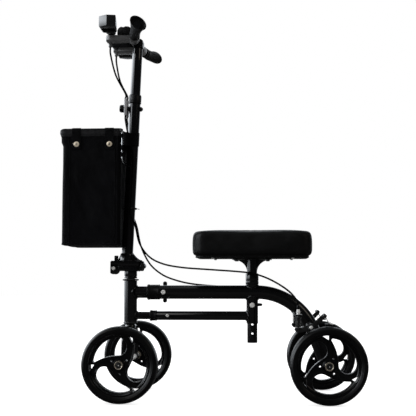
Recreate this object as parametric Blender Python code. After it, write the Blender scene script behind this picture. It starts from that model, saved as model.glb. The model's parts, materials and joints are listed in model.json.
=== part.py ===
"""Four wheeled steerable knee walker with a folding column, modelled at rest in metres.

+X points to the rear, +Z up, the near (left hand) side is at -Y. The floor is z = 0 and the
origin lies under the middle of the walker.
"""

import math

import bmesh
import bpy
from mathutils import Matrix, Vector

# Fits
GAP = 0.0003

# Sides of the polygons that stand for round shapes
LARGE_ROUND = 16
SMALL_ROUND = 12
TINY_ROUND = 8

# Wheels
WHEEL_RADIUS = 0.100
TYRE_WIDTH = 0.045
RIM_RADIUS = 0.081
RIM_WIDTH = 0.038
RIM_LIP = 0.0085
WEB_THICKNESS = 0.018
HUB_RADIUS = 0.0150
HUB_WIDTH = 0.040
WHEEL_TRACK = 0.330
WHEELBASE = 0.540
TYRE_SEGMENTS = 28
RIM_SEGMENTS = 24
OPENING_FAT_RADIUS = 0.0235
OPENING_FAT_CENTRE = 0.0475
OPENING_TIP_RADIUS = 0.0040
OPENING_SWEEP = math.radians(76)
OPENING_BOW = 0.004
WINDOW_RADIUS = 0.0655
WINDOW_LEAD = math.radians(11)
WEB_HOLE_RADIUS = 0.0028
WEB_HOLE_CENTRE = 0.023
WHEEL_PHASES = {"front_left": 51, "front_right": 77, "rear_left": 81, "rear_right": 103}

# Axles
AXLE_RADIUS = 0.006
AXLE_SHOULDER_RADIUS = 0.0075
AXLE_FLANGE_RADIUS = 0.011
AXLE_FLANGE = 0.0025
REAR_AXLE_TUBE_RADIUS = 0.015

# Bag, which sets the front end of the walker
BAG_REACH = 0.170
BAG_BACK = -0.010
BAG_HALF_WIDTH = 0.110
BAG_BOTTOM = 0.408
BAG_TOP = 0.7260
BAG_WALL = 0.002
BAG_CORNER = 0.018
BAG_NOTCH = 0.020
BAG_NOTCH_HALF_WIDTH = 0.045
WIRE_RADIUS = 0.002
WIRE_DROP = 0.640

# Fore and aft places, counted from the front axle
HALF_LENGTH = (BAG_REACH + GAP + WIRE_RADIUS + WHEELBASE + WHEEL_RADIUS) / 2
FRONT_X = HALF_LENGTH - WHEELBASE - WHEEL_RADIUS
REAR_X = FRONT_X + WHEELBASE
HEAD_X = FRONT_X + 0.002
SEAT_X = FRONT_X + 0.342

# Frame tubes
MAIN_Z = 0.286
MAIN_RADIUS = 0.019
MAIN_WALL = 0.0017
MAIN_BEND_RADIUS = 0.165
MAIN_BEND_START = FRONT_X + 0.3556
STUB_WALL = 0.002
JOINT_COLLAR_WALL = 0.0022
JOINT_COLLAR_FRONT = FRONT_X + 0.050
JOINT_COLLAR_LENGTH = 0.034
JOINT_BOLT_X = FRONT_X + 0.096
JOINT_HANDLE_SPAN = 0.060
LOWER_Z = 0.221
LOWER_RADIUS = 0.0125
LOWER_WALL = 0.0015
LOWER_COLLAR_FRONT = FRONT_X + 0.0575
LOWER_COLLAR_LENGTH = 0.0185
LOWER_BOLT_X = FRONT_X + 0.107
BOLT_RADIUS = 0.003
BOLT_HEAD_RADIUS = 0.0072
BOLT_HEAD = 0.0042
STUB_OVERRUN = 0.018

# Head tube and steering stem
HEAD_RADIUS = 0.018
HEAD_BORE = 0.0145
HEAD_BOTTOM = 0.2035
HEAD_TOP = 0.3175
HEADSET_RADIUS = 0.0235
HEADSET_HEIGHT = 0.0055
STEM_RADIUS = 0.0125
STEM_WALL = 0.002
CROWN_Z = 0.186
FORK_RADIUS = 0.008
FORK_LEG_Y = 0.100
FORK_BEND = 0.030

# Fold joint
FOLD_Z = 0.359
FOLD_PIN_X = HEAD_X + 0.034
LOCK_BOLT_X = HEAD_X - 0.046
LOCK_BOLT_Z = 0.352
BLOCK_FRONT_X = HEAD_X - 0.055
BLOCK_HALF_WIDTH = 0.020
BLOCK_THICKNESS = 0.0140
KNUCKLE_RADIUS = 0.0078
KNUCKLE_HALF_WIDTH = 0.010
CHEEK_THICKNESS = 0.005
CHEEK_RADIUS = 0.0125
FOLD_LEVER_LENGTH = 0.037
FOLD_CAM_RADIUS = 0.0052

# Column
LEAN = math.radians(2.45)
COLUMN_FOOT_X = HEAD_X - 0.0115
COLUMN_RADIUS = 0.016
COLUMN_WALL = 0.0014
COLUMN_TOP = 0.8195
COLLAR_RADIUS = 0.0178
COLLAR_HEIGHT = 0.026
SOCKET_RADIUS = 0.0195
SOCKET_HEIGHT = 0.024
GUSSET_HEIGHT = 0.020
GUSSET_THICKNESS = 0.004
KNOB_DROP = 0.0145
KNOB_Z = COLUMN_TOP - KNOB_DROP
KNOB_RADIUS = 0.011
KNOB_LENGTH = 0.018
BOSS_RADIUS = 0.0068
BOSS_REACH = 0.0060
GUIDE_THICKNESS = 0.003
GUIDE_TUBE_RADIUS = 0.0045
CLIP_Z = 0.520
CLIP_HEIGHT = 0.006

# Handlebar
INNER_RADIUS = 0.0143
INNER_WALL = 0.0015
INNER_BOTTOM = 0.700
BAR_X = FRONT_X + 0.010
BAR_Z = 0.992
BAR_RADIUS = 0.011
BAR_CLEAR = 0.0015
INNER_TOP = BAR_Z - BAR_RADIUS - BAR_CLEAR
BAR_WALL = 0.0015
BAR_SWEEP = math.radians(12)
BAR_RISE = math.radians(1.8)
BAR_STRAIGHT = 0.034
CLAMP_FRONT = FRONT_X - 0.057
CLAMP_BACK = FRONT_X + 0.034
CLAMP_HALF_WIDTH = 0.016
CLAMP_WALL = 0.002
CLAMP_TOP = BAR_Z + BAR_RADIUS + CLAMP_WALL
GRIP_INNER_Y = 0.088
GRIP_LENGTH = 0.098
GRIP_RADIUS = 0.0140
GRIP_FLARE_RADIUS = 0.0215
GRIP_END_WALL = 0.004
PERCH_Y = 0.064
PERCH_FRONT = FRONT_X - 0.062
PERCH_LOW = BAR_Z - 0.008
PERCH_HIGH = BAR_Z + 0.0075
PERCH_RING_RADIUS = 0.0155
LEVER_PIVOT_X = FRONT_X - 0.046
LEVER_PIVOT_Y = 0.070
LEVER_PIN_RADIUS = 0.004
LEVER_ROOT_THICKNESS = 0.010
LEVER_BLOCK_INNER = 0.100
LEVER_BLOCK_OUTER = 0.182
LEVER_BLOCK_FRONT = FRONT_X - 0.064
LEVER_BLOCK_BACK = FRONT_X - 0.016
LEVER_BLOCK_LOW = BAR_Z + 0.004
LEVER_BLOCK_HIGH = BAR_Z + 0.034
CABLE_EXIT_X = FRONT_X - 0.053
CABLE_EXIT_Y = 0.050
CABLE_EXIT_Z = BAR_Z - 0.020

# Seat
POST_RADIUS = 0.014
POST_WALL = 0.0018
POST_BOTTOM = 0.147
POST_HOLE_RADIUS = 0.0034
POST_HOLE_PITCH = 0.025
POST_HOLES = 2
SLEEVE_WALL = 0.0017
SLEEVE_BOTTOM = 0.200
SLEEVE_TOP = 0.338
SLEEVE_COLLAR_HEIGHT = 0.029
SLEEVE_COLLAR_RADIUS = 0.018
SEAT_BOLT_Z = 0.2505
SEAT_LEVER_LENGTH = 0.029
SEAT_PLATE_Z = 0.3760
SEAT_PLATE_THICKNESS = 0.003
SEAT_PLATE_HALF = 0.055
GUSSET_RADIUS = 0.034
BOARD_THICKNESS = 0.007
BOARD_INSET = 0.012
CUSHION_CENTRE = FRONT_X + 0.343
CUSHION_LENGTH = 0.330
CUSHION_WIDTH = 0.190
CUSHION_HEIGHT = 0.0690
CUSHION_CORNER = 0.032
CUSHION_CROWN = 0.006
CUSHION_DRAW_IN = 0.003

# Rear brakes
BRAKE_Y = 0.130
BRAKE_PIVOT_X = FRONT_X + 0.497
BRAKE_PIVOT_Z = 0.1965
BRAKE_SHAFT_RADIUS = 0.005
BRAKE_SPACER_RADIUS = 0.0085
ROCKER_BOSS_RADIUS = 0.0095
ROCKER_HALF_WIDTH = 0.003
ROCKER_BOSS_HALF_WIDTH = 0.006
BARREL_X = FRONT_X + 0.464
BARREL_RADIUS = 0.0052
BARREL_BORE = 0.0026
BARREL_BOTTOM = 0.2225
BARREL_TOP = 0.2430
BARREL_PLATE_Z = 0.2265
BARREL_PLATE_THICKNESS = 0.003
SPRING_SEAT_Z = 0.1960
SPRING_RADIUS = 0.0062
SPRING_WIRE_RADIUS = 0.0009
SPRING_TURNS = 5
SPRING_POINTS = 8
SHOE_X = FRONT_X + 0.543
SHOE_GAP = 0.0030
SHOE_THICKNESS = 0.004
SHOE_WIDTH = 0.026
SHOE_LENGTH = 0.024
ARM_END_X = FRONT_X + 0.530
ARM_END_Z = 0.2275

# Brake cables
CABLE_RADIUS = 0.0023
CABLE_STEP = 0.014
CABLE_SIDE_Y = 0.0215

NEAR, FAR = -1, 1
SIDES = {"left": NEAR, "right": FAR}


def clear_scene():
    """Remove every object that the scene starts with."""
    for found in list(bpy.data.objects):
        bpy.data.objects.remove(found)


def paint(name, colour, roughness, metallic=0.0):
    """A Principled material of one colour."""
    made = bpy.data.materials.new(name)
    made.use_nodes = True
    shader = made.node_tree.nodes["Principled BSDF"]
    shader.inputs["Base Color"].default_value = (*colour, 1.0)
    shader.inputs["Roughness"].default_value = roughness
    shader.inputs["Metallic"].default_value = metallic
    return made


def pivot(name, where):
    """An empty on a joint's axis, which carries the pieces of one moving body."""
    empty = bpy.data.objects.new(name, None)
    empty.empty_display_size = 0.02
    empty.location = where
    bpy.context.scene.collection.objects.link(empty)
    return empty


def place(name, mesh, material, carrier, at, turn=None):
    """Link a mesh as one named object, at a world place under its carrier."""
    made = bpy.data.objects.new(name, mesh)
    bpy.context.scene.collection.objects.link(made)
    made.parent = carrier
    made.location = Vector(at) - carrier.location
    if turn is not None:
        made.rotation_euler = turn
    if material is not None and not mesh.materials:
        mesh.materials.append(material)
    mesh.shade_smooth()
    mesh.set_sharp_from_angle(angle=math.radians(35))
    return made


def mesh_from(shape, name):
    """Close a bmesh, turn its faces outwards and keep it as a mesh."""
    bmesh.ops.remove_doubles(shape, verts=shape.verts, dist=1e-6)
    bmesh.ops.recalc_face_normals(shape, faces=shape.faces)
    mesh = bpy.data.meshes.new(name)
    shape.to_mesh(mesh)
    shape.free()
    return mesh


def turned(name, profile, segments=LARGE_ROUND, steps_on=0.0):
    """A mesh turned about its Z axis from a closed profile of (radius, height) points."""
    shape = bmesh.new()
    ring = [shape.verts.new((radius, 0.0, height)) for radius, height in profile]
    edges = [shape.edges.new((ring[i - 1], ring[i])) for i in range(len(ring))
             if profile[i - 1][0] or profile[i][0]]
    bmesh.ops.spin(shape, geom=ring + edges, cent=(0, 0, 0), axis=(0, 0, 1),
                   angle=math.tau, steps=segments, use_merge=True)
    bmesh.ops.rotate(shape, verts=shape.verts, cent=(0, 0, 0),
                     matrix=Matrix.Rotation(math.tau * steps_on / segments, 3, "Z"))
    return mesh_from(shape, name)


def rod_profile(radius, low, high):
    """The profile of a solid round bar."""
    return [(0, low), (radius, low), (radius, high), (0, high)]


def tube_profile(outer, inner, low, high):
    """The profile of a round tube."""
    return [(inner, low), (outer, low), (outer, high), (inner, high)]


def flat(name, outline, low, high, normal="Y"):
    """A plate cut to an outline, between two heights along its normal.

    The outline holds (x, z) for a Y normal, (x, y) for a Z normal and (y, z) for an X normal.
    """
    corners = {
        "X": lambda u, v, w: (w, u, v),
        "Y": lambda u, v, w: (u, w, v),
        "Z": lambda u, v, w: (u, v, w),
    }[normal]
    shape = bmesh.new()
    face = shape.faces.new([shape.verts.new(corners(u, v, low)) for u, v in outline])
    grown = bmesh.ops.extrude_face_region(shape, geom=[face])
    moved = [item for item in grown["geom"] if isinstance(item, bmesh.types.BMVert)]
    bmesh.ops.translate(shape, verts=moved, vec=Vector(corners(0, 0, high - low)))
    return mesh_from(shape, name)


def arc(centre, radius, start, end, count):
    """Points on an arc in the plane, from one angle to another in radians."""
    steps = [start + (end - start) * i / count for i in range(count + 1)]
    return [(centre[0] + radius * math.cos(a), centre[1] + radius * math.sin(a)) for a in steps]


def rounded_box(low, high, radius, count=3):
    """The outline of a rectangle with round corners."""
    corners = ((high[0], high[1], 0), (low[0], high[1], 90), (low[0], low[1], 180),
               (high[0], low[1], 270))
    outline = []
    for x, z, start in corners:
        centre = (x - math.copysign(radius, x - (low[0] + high[0]) / 2),
                  z - math.copysign(radius, z - (low[1] + high[1]) / 2))
        outline += arc(centre, radius, math.radians(start), math.radians(start + 90), count)
    return outline


def smooth_route(points, step):
    """A smooth line through a route's own points, with about one point each step."""
    path = [Vector(p) for p in points]
    path = [path[0] * 2 - path[1]] + path + [path[-1] * 2 - path[-2]]
    line = []
    for before, start, end, after in zip(path, path[1:], path[2:], path[3:]):
        count = max(1, round((end - start).length / step))
        for i in range(count):
            t = i / count
            line.append(0.5 * (2 * start + (end - before) * t
                               + (2 * before - 5 * start + 4 * end - after) * t * t
                               + (3 * start - before - 3 * end + after) * t ** 3))
    return line + [path[-2]]


def swept(name, points, radius, bevel_resolution=2):
    """A mesh tube along points, closed at both ends."""
    curve = bpy.data.curves.new(name, "CURVE")
    curve.dimensions = "3D"
    curve.bevel_depth = radius
    curve.bevel_resolution = bevel_resolution
    curve.use_fill_caps = True
    spline = curve.splines.new("POLY")
    spline.points.add(len(points) - 1)
    for knot, point in zip(spline.points, points):
        knot.co = (*point, 1.0)
    holder = bpy.data.objects.new(name + "_line", curve)
    bpy.context.scene.collection.objects.link(holder)
    graph = bpy.context.evaluated_depsgraph_get()
    raw = bpy.data.meshes.new_from_object(holder.evaluated_get(graph))
    bpy.data.objects.remove(holder)
    shape = bmesh.new()
    shape.from_mesh(raw)
    return mesh_from(shape, name)


def helper(mesh, at=(0, 0, 0), turn=(0, 0, 0)):
    """A mesh that only cuts or joins, never shown."""
    made = bpy.data.objects.new(mesh.name + "_helper", mesh)
    made.location = at
    made.rotation_euler = turn
    made.hide_render = True
    made.display_type = "WIRE"
    bpy.context.scene.collection.objects.link(made)
    return made


def combine(target, operation, *others):
    """Cut helpers out of a piece, or join them to it."""
    for other in others:
        step = target.modifiers.new(operation.lower() + "_" + other.name, "BOOLEAN")
        step.operation = operation
        step.solver = "EXACT"
        step.object = other


def cut(target, *others):
    combine(target, "DIFFERENCE", *others)


def join(target, *others):
    combine(target, "UNION", *others)


def hole(radius, segments):
    """The corner radius of a polygonal hole that clears a round bar of this radius."""
    return (radius + GAP) / math.cos(math.pi / segments)


def drill(radius, low, high, at, turn=(0, 0, 0), segments=TINY_ROUND):
    """A cutter for a hole that clears a round bar of this radius."""
    return helper(turned("drill", rod_profile(hole(radius, segments), low, high), segments, 0.3),
                  at, turn)


def peg(radius, low, high, at, turn=(0, 0, 0), segments=SMALL_ROUND):
    """A round bar that is joined to a piece."""
    return helper(turned("peg", rod_profile(radius, low, high), segments), at, turn)


def plug(radius, segments):
    """The radius of a round bar that fits in a polygonal bore of this corner radius."""
    return radius * math.cos(math.pi / segments) - GAP


ALONG_Y = (math.radians(-90), 0, 0)
ALONG_X = (0, math.radians(90), 0)
ACROSS_COLUMN = (0, math.radians(90) + LEAN, 0)


def build_wheels(carriers, finish):
    """Four alike wheels: a tyre on a rim with three curved openings."""
    step = math.pi / TYRE_SEGMENTS
    crown = WHEEL_RADIUS / math.cos(step)
    seat = (RIM_RADIUS + GAP) / math.cos(step)
    half = TYRE_WIDTH / 2
    side = [(seat, 0.87), (crown - 0.0105, 1.0), (crown - 0.0034, 0.80), (crown, 0.30)]
    tyre = turned("tyre", [(r, -half * w) for r, w in side]
                  + [(r, half * w) for r, w in reversed(side)], TYRE_SEGMENTS, 0.5)
    rim = rim_mesh()
    for corner, carrier in carriers.items():
        upright = math.radians(90)
        place(corner + "_tyre", tyre, finish["rubber"], carrier, carrier.location, (upright, 0, 0))
        place(corner + "_rim", rim, finish["plastic"], carrier, carrier.location,
              (upright, -math.radians(WHEEL_PHASES[corner]), 0))


def turned_loop(loop, turn):
    """A loop of points turned about the wheel's axis."""
    return [(x * math.cos(turn) - y * math.sin(turn), x * math.sin(turn) + y * math.cos(turn))
            for x, y in loop]


def bridge(shape, first, second):
    """Faces between two rings of the same number of corners."""
    for i in range(len(first)):
        shape.faces.new((first[i - 1], first[i], second[i], second[i - 1]))


def rim_mesh():
    """A rim about its Z axis: a pierced web between a bored hub and the ring for the tyre."""
    lip = RIM_RADIUS - RIM_LIP
    web, edge, hub = WEB_THICKNESS / 2, RIM_WIDTH / 2, HUB_WIDTH / 2
    bore = hole(AXLE_RADIUS, SMALL_ROUND)
    loops = [arc((0, 0), lip, 0, math.tau, RIM_SEGMENTS)[:-1],
             arc((0, 0), HUB_RADIUS, 0, math.tau, SMALL_ROUND)[:-1]]
    for third in range(3):
        loops += [turned_loop(loop, math.radians(120 * third))
                  for loop in (opening(), window(), web_hole())]
    shape = bmesh.new()
    sides = []
    for height in (-web, web):
        rings = [[shape.verts.new((x, y, height)) for x, y in loop] for loop in loops]
        edges = [shape.edges.new((ring[i - 1], ring[i])) for ring in rings
                 for i in range(len(ring))]
        bmesh.ops.triangle_fill(shape, use_beauty=True, edges=edges)
        sides.append(rings)
    for lower, upper in zip(sides[0][2:], sides[1][2:]):
        bridge(shape, lower, upper)
    outside = [(lip + 0.004, -edge), (RIM_RADIUS, -edge), (RIM_RADIUS, edge), (lip + 0.004, edge)]
    inside = [(HUB_RADIUS, -hub), (bore, -hub), (bore, hub), (HUB_RADIUS, hub)]
    for which, profile in enumerate((outside, inside)):
        last = sides[0][which]
        for radius, height in profile:
            scale = radius / math.hypot(last[0].co.x, last[0].co.y)
            ring = [shape.verts.new((v.co.x * scale, v.co.y * scale, height)) for v in last]
            bridge(shape, last, ring)
            last = ring
        bridge(shape, last, sides[1][which])
    return mesh_from(shape, "rim")


def opening():
    """One teardrop opening: a fat round end, an arc along the rim and a bowed inner edge.

    Angles count from the opening's tip, so a wheel's phase is the angle of its first tip.
    """
    fat_angle = -OPENING_SWEEP
    outer = OPENING_FAT_CENTRE + OPENING_FAT_RADIUS
    tip = (outer - OPENING_TIP_RADIUS, 0.0)
    fat = (OPENING_FAT_CENTRE * math.cos(fat_angle), OPENING_FAT_CENTRE * math.sin(fat_angle))
    rim_side = arc((0, 0), outer, fat_angle, 0, 6)
    tip_end = arc(tip, OPENING_TIP_RADIUS, 0, math.radians(150), 3)
    fat_end = arc(fat, OPENING_FAT_RADIUS, fat_angle - math.radians(188), fat_angle, 7)
    start, end = Vector(tip_end[-1]), Vector(fat_end[0])
    along = end - start
    bow = Vector((-along.y, along.x)).normalized() * OPENING_BOW
    inner = [start + along * t + bow * math.sin(math.pi * t) for t in (0.33, 0.67)]
    return rim_side[:-1] + tip_end + [tuple(p) for p in inner] + fat_end[:-1]


def window():
    """The small three sided window just past an opening's tip."""
    outer = OPENING_FAT_CENTRE + OPENING_FAT_RADIUS
    corners = ((outer, WINDOW_LEAD - 0.075), (outer, WINDOW_LEAD + 0.140),
               (WINDOW_RADIUS, WINDOW_LEAD - 0.055))
    return [(r * math.cos(a), r * math.sin(a)) for r, a in corners]


def web_hole():
    """The small round hole in the web between two openings."""
    angle = math.radians(-17.6)
    centre = (WEB_HOLE_CENTRE * math.cos(angle), WEB_HOLE_CENTRE * math.sin(angle))
    return arc(centre, WEB_HOLE_RADIUS, 0, math.tau, 6)[:-1]


def axle(name, shoulder, carrier, where, finish):
    """A steel axle with a shoulder between the hubs and a round head outside each one."""
    inner = WHEEL_TRACK / 2 - HUB_WIDTH / 2 - GAP
    outer = WHEEL_TRACK / 2 + HUB_WIDTH / 2 + GAP
    half = [(shoulder, inner), (AXLE_RADIUS, inner), (AXLE_RADIUS, outer),
            (AXLE_FLANGE_RADIUS, outer), (AXLE_FLANGE_RADIUS, outer + AXLE_FLANGE),
            (0, outer + AXLE_FLANGE)]
    profile = [(r, -y) for r, y in reversed(half)] + half
    place(name, turned(name, profile, SMALL_ROUND), finish["zinc"], carrier, where, ALONG_Y)


def main_line(start_x):
    """The main tube's centre line, from its front end to the rear axle."""
    centre = Vector((MAIN_BEND_START, MAIN_Z - MAIN_BEND_RADIUS))
    to_axle = Vector((REAR_X, WHEEL_RADIUS)) - centre
    tangent = math.atan2(to_axle.y, to_axle.x) + math.acos(MAIN_BEND_RADIUS / to_axle.length)
    bend = arc(centre, MAIN_BEND_RADIUS, math.radians(90), tangent, 8)
    return [(x, 0.0, z) for x, z in [(start_x, MAIN_Z)] + bend + [(REAR_X, WHEEL_RADIUS)]]


def build_frame(base, finish):
    """Everything welded or bolted to the main tube."""
    black = finish["black"]
    main_front = JOINT_COLLAR_FRONT + GAP
    main = place("main_tube", swept("main_tube", main_line(main_front), MAIN_RADIUS, 4), black,
                 base, (0, 0, 0))
    lengthened = [(main_front - 0.01, 0.0, MAIN_Z)] + main_line(main_front)[1:]
    bore = helper(swept("main_bore", lengthened, MAIN_RADIUS - MAIN_WALL, 4))
    sleeve_outer = POST_RADIUS + GAP + SLEEVE_WALL
    sleeve_space = drill(sleeve_outer, -0.1, 0.1, (SEAT_X, 0, MAIN_Z), segments=SMALL_ROUND)
    axle_space = drill(REAR_AXLE_TUBE_RADIUS, -0.05, 0.05, (REAR_X, 0, WHEEL_RADIUS), ALONG_Y,
                       SMALL_ROUND)
    bolt_space = drill(BOLT_RADIUS, -0.05, 0.05, (JOINT_BOLT_X, 0, MAIN_Z), ALONG_Y)
    shaft_space = drill(BRAKE_SHAFT_RADIUS, -0.05, 0.05, (BRAKE_PIVOT_X, 0, BRAKE_PIVOT_Z),
                        ALONG_Y, SMALL_ROUND)
    cut(main, bore, sleeve_space, axle_space, bolt_space, shaft_space)

    lower_start = LOWER_COLLAR_FRONT + GAP
    lower = place("lower_tube", turned("lower_tube", tube_profile(
        LOWER_RADIUS, LOWER_RADIUS - LOWER_WALL, 0, SEAT_X - lower_start), LARGE_ROUND),
        black, base, (lower_start, 0, LOWER_Z), ALONG_X)
    low_space = drill(sleeve_outer, -0.1, 0.1, (SEAT_X, 0, LOWER_Z), segments=SMALL_ROUND)
    lower_bolt_space = drill(BOLT_RADIUS, -0.05, 0.05, (LOWER_BOLT_X, 0, LOWER_Z), ALONG_Y)
    cut(lower, low_space, lower_bolt_space)

    collar_base = SLEEVE_TOP - SLEEVE_COLLAR_HEIGHT
    bore_radius = POST_RADIUS + GAP
    sleeve = place("seat_sleeve", turned("seat_sleeve", [
        (bore_radius, SLEEVE_BOTTOM), (sleeve_outer, SLEEVE_BOTTOM),
        (sleeve_outer, collar_base), (SLEEVE_COLLAR_RADIUS, collar_base),
        (SLEEVE_COLLAR_RADIUS, SLEEVE_TOP), (bore_radius, SLEEVE_TOP)]),
        black, base, (SEAT_X, 0, 0))
    seat_bolt_space = drill(BOLT_RADIUS, -0.05, 0.05, (SEAT_X, 0, SEAT_BOLT_Z), ALONG_Y)
    cut(sleeve, seat_bolt_space)

    build_head(base, finish, bolt_space, lower_bolt_space)
    outer = MAIN_RADIUS + GAP
    place("upper_joint_collar", turned("upper_joint_collar", tube_profile(
        outer + JOINT_COLLAR_WALL, hole(MAIN_RADIUS, LARGE_ROUND), 0, JOINT_COLLAR_LENGTH)),
        finish["plastic"], base, (JOINT_COLLAR_FRONT, 0, MAIN_Z), ALONG_X)
    outer = LOWER_RADIUS + GAP
    place("lower_joint_collar", turned("lower_joint_collar", tube_profile(
        outer + JOINT_COLLAR_WALL, hole(LOWER_RADIUS, LARGE_ROUND), 0, LOWER_COLLAR_LENGTH),
        LARGE_ROUND),
        finish["plastic"], base, (LOWER_COLLAR_FRONT, 0, LOWER_Z), ALONG_X)
    through_bolt("upper_joint_bolt", (JOINT_BOLT_X, MAIN_Z), MAIN_RADIUS, MAIN_RADIUS, base, finish)
    through_bolt("lower_joint_bolt", (LOWER_BOLT_X, LOWER_Z), LOWER_RADIUS, LOWER_RADIUS - 0.004,
                 base, finish, BOLT_HEAD_RADIUS * 0.6)
    through_bolt("seat_bolt", (SEAT_X, SEAT_BOLT_Z), sleeve_outer, -POST_RADIUS - GAP * 2, base,
                 finish)

    inner = WHEEL_TRACK / 2 - HUB_WIDTH / 2 - GAP * 2
    place("rear_axle_tube", turned("rear_axle_tube", tube_profile(
        REAR_AXLE_TUBE_RADIUS, hole(AXLE_SHOULDER_RADIUS, LARGE_ROUND), -inner, inner)),
        black, base, (REAR_X, 0, WHEEL_RADIUS), ALONG_Y)
    axle("rear_axle", AXLE_SHOULDER_RADIUS, base, (REAR_X, 0, WHEEL_RADIUS), finish)


def through_bolt(name, place_xz, near_radius, far_reach, carrier, finish, head=BOLT_HEAD_RADIUS):
    """A hexagon bolt along Y, its head on the near side of a tube."""
    seat = -near_radius - GAP
    profile = [(0, seat - BOLT_HEAD), (head, seat - BOLT_HEAD), (head, seat), (BOLT_RADIUS, seat),
               (BOLT_RADIUS, far_reach), (0, far_reach)]
    place(name, turned(name, profile, 6), finish["zinc"], carrier,
          (place_xz[0], 0, place_xz[1]), ALONG_Y)


def build_head(base, finish, bolt_space, lower_bolt_space):
    """The head tube, with the two stubs that plug into the frame tubes, and its top ring."""
    head = place("head_tube", turned("head_tube", rod_profile(HEAD_RADIUS, HEAD_BOTTOM, HEAD_TOP)),
                 finish["black"], base, (HEAD_X, 0, 0))
    upper_radius = plug(MAIN_RADIUS - MAIN_WALL, SMALL_ROUND)
    lower_radius = plug(LOWER_RADIUS - LOWER_WALL, LARGE_ROUND)
    stubs = []
    for radius, height, bolt_x in ((upper_radius, MAIN_Z, JOINT_BOLT_X),
                                   (lower_radius, LOWER_Z, LOWER_BOLT_X)):
        root, end = HEAD_RADIUS + 0.001, bolt_x - HEAD_X + STUB_OVERRUN
        stubs.append(helper(turned("stub", [
            (0, 0.003), (radius, 0.003), (radius, end), (radius - STUB_WALL, end),
            (radius - STUB_WALL, root), (0, root)], LARGE_ROUND), (HEAD_X, 0, height), ALONG_X))
    steer_bore = drill(HEAD_BORE, 0, 1, (HEAD_X, 0, 0), segments=LARGE_ROUND)
    join(head, *stubs)
    cut(head, steer_bore, bolt_space, lower_bolt_space)
    place("headset_ring", turned("headset_ring", [
        (hole(STEM_RADIUS, LARGE_ROUND), 0), (HEAD_RADIUS, 0), (HEADSET_RADIUS, HEADSET_HEIGHT * 0.35),
        (HEADSET_RADIUS, HEADSET_HEIGHT * 0.65), (HEAD_RADIUS, HEADSET_HEIGHT),
        (hole(STEM_RADIUS, LARGE_ROUND), HEADSET_HEIGHT)], LARGE_ROUND), finish["steel"], base,
        (HEAD_X, 0, HEAD_TOP + GAP))


def build_brakes(base, rockers, finish):
    """The cross shaft, and for each side its rocker, spring, barrel adjuster and bracket."""
    nut = BRAKE_Y + ROCKER_BOSS_HALF_WIDTH + GAP
    spacer = BRAKE_Y - ROCKER_BOSS_HALF_WIDTH - GAP
    tube_side = MAIN_RADIUS + GAP
    half = [(BRAKE_SHAFT_RADIUS, tube_side), (BRAKE_SPACER_RADIUS, tube_side),
            (BRAKE_SPACER_RADIUS, spacer), (BRAKE_SHAFT_RADIUS, spacer),
            (BRAKE_SHAFT_RADIUS, nut), (BRAKE_SHAFT_RADIUS + 0.003, nut),
            (BRAKE_SHAFT_RADIUS + 0.003, nut + 0.004), (0, nut + 0.004)]
    place("brake_shaft", turned("brake_shaft", [(r, -y) for r, y in reversed(half)] + half, SMALL_ROUND),
          finish["steel"], base, (BRAKE_PIVOT_X, 0, BRAKE_PIVOT_Z), ALONG_Y)
    keep_out = helper(swept("main_keep_out", main_line(JOINT_COLLAR_FRONT),
                            hole(MAIN_RADIUS, SMALL_ROUND), 4))
    for side, sign in SIDES.items():
        y = sign * BRAKE_Y
        outline = rounded_box((BARREL_X - 0.011, 0.0), (BARREL_X + 0.011, BRAKE_Y + 0.011), 0.005)
        bracket = place("brake_bracket_" + side, flat("brake_bracket", [
            (x - BARREL_X, sign * depth) for x, depth in outline], 0, BARREL_PLATE_THICKNESS, "Z"),
            finish["black"], base, (BARREL_X, 0, BARREL_PLATE_Z))
        barrel_space = drill(BARREL_RADIUS - 0.0015, -0.02, 0.02, (BARREL_X, y, BARREL_PLATE_Z))
        cut(bracket, keep_out, barrel_space)
        plate_top = BARREL_PLATE_Z + BARREL_PLATE_THICKNESS + GAP
        place("barrel_adjuster_" + side, turned("barrel", [
            (BARREL_BORE, BARREL_BOTTOM), (BARREL_RADIUS - 0.0015, BARREL_BOTTOM),
            (BARREL_RADIUS - 0.0015, plate_top), (BARREL_RADIUS, plate_top),
            (BARREL_RADIUS, BARREL_TOP), (BARREL_BORE, BARREL_TOP)], TINY_ROUND),
            finish["zinc"], base, (BARREL_X, y, 0))
        place("brake_spring_" + side, coil_spring(), finish["steel"], rockers[side],
              (BARREL_X, y, SPRING_SEAT_Z))
        build_rocker(side, sign, rockers[side], finish)


def coil_spring():
    """The return spring between a bracket and its rocker arm, as one unbroken wire."""
    bottom = SPRING_WIRE_RADIUS + GAP
    height = BARREL_PLATE_Z - SPRING_SEAT_Z - 2 * bottom
    count = SPRING_TURNS * SPRING_POINTS
    line = []
    for i in range(count + 1):
        angle = math.tau * i / SPRING_POINTS
        line.append(Vector((SPRING_RADIUS * math.cos(angle), SPRING_RADIUS * math.sin(angle),
                            bottom + height * i / count)))
    least = min((a - b).length for i, a in enumerate(line) for b in line[i + 4:])
    print(f"spring: least gap between curls {(least - 2 * SPRING_WIRE_RADIUS) * 1000:.2f} mm")
    return swept("brake_spring", line, SPRING_WIRE_RADIUS, 1)


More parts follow.
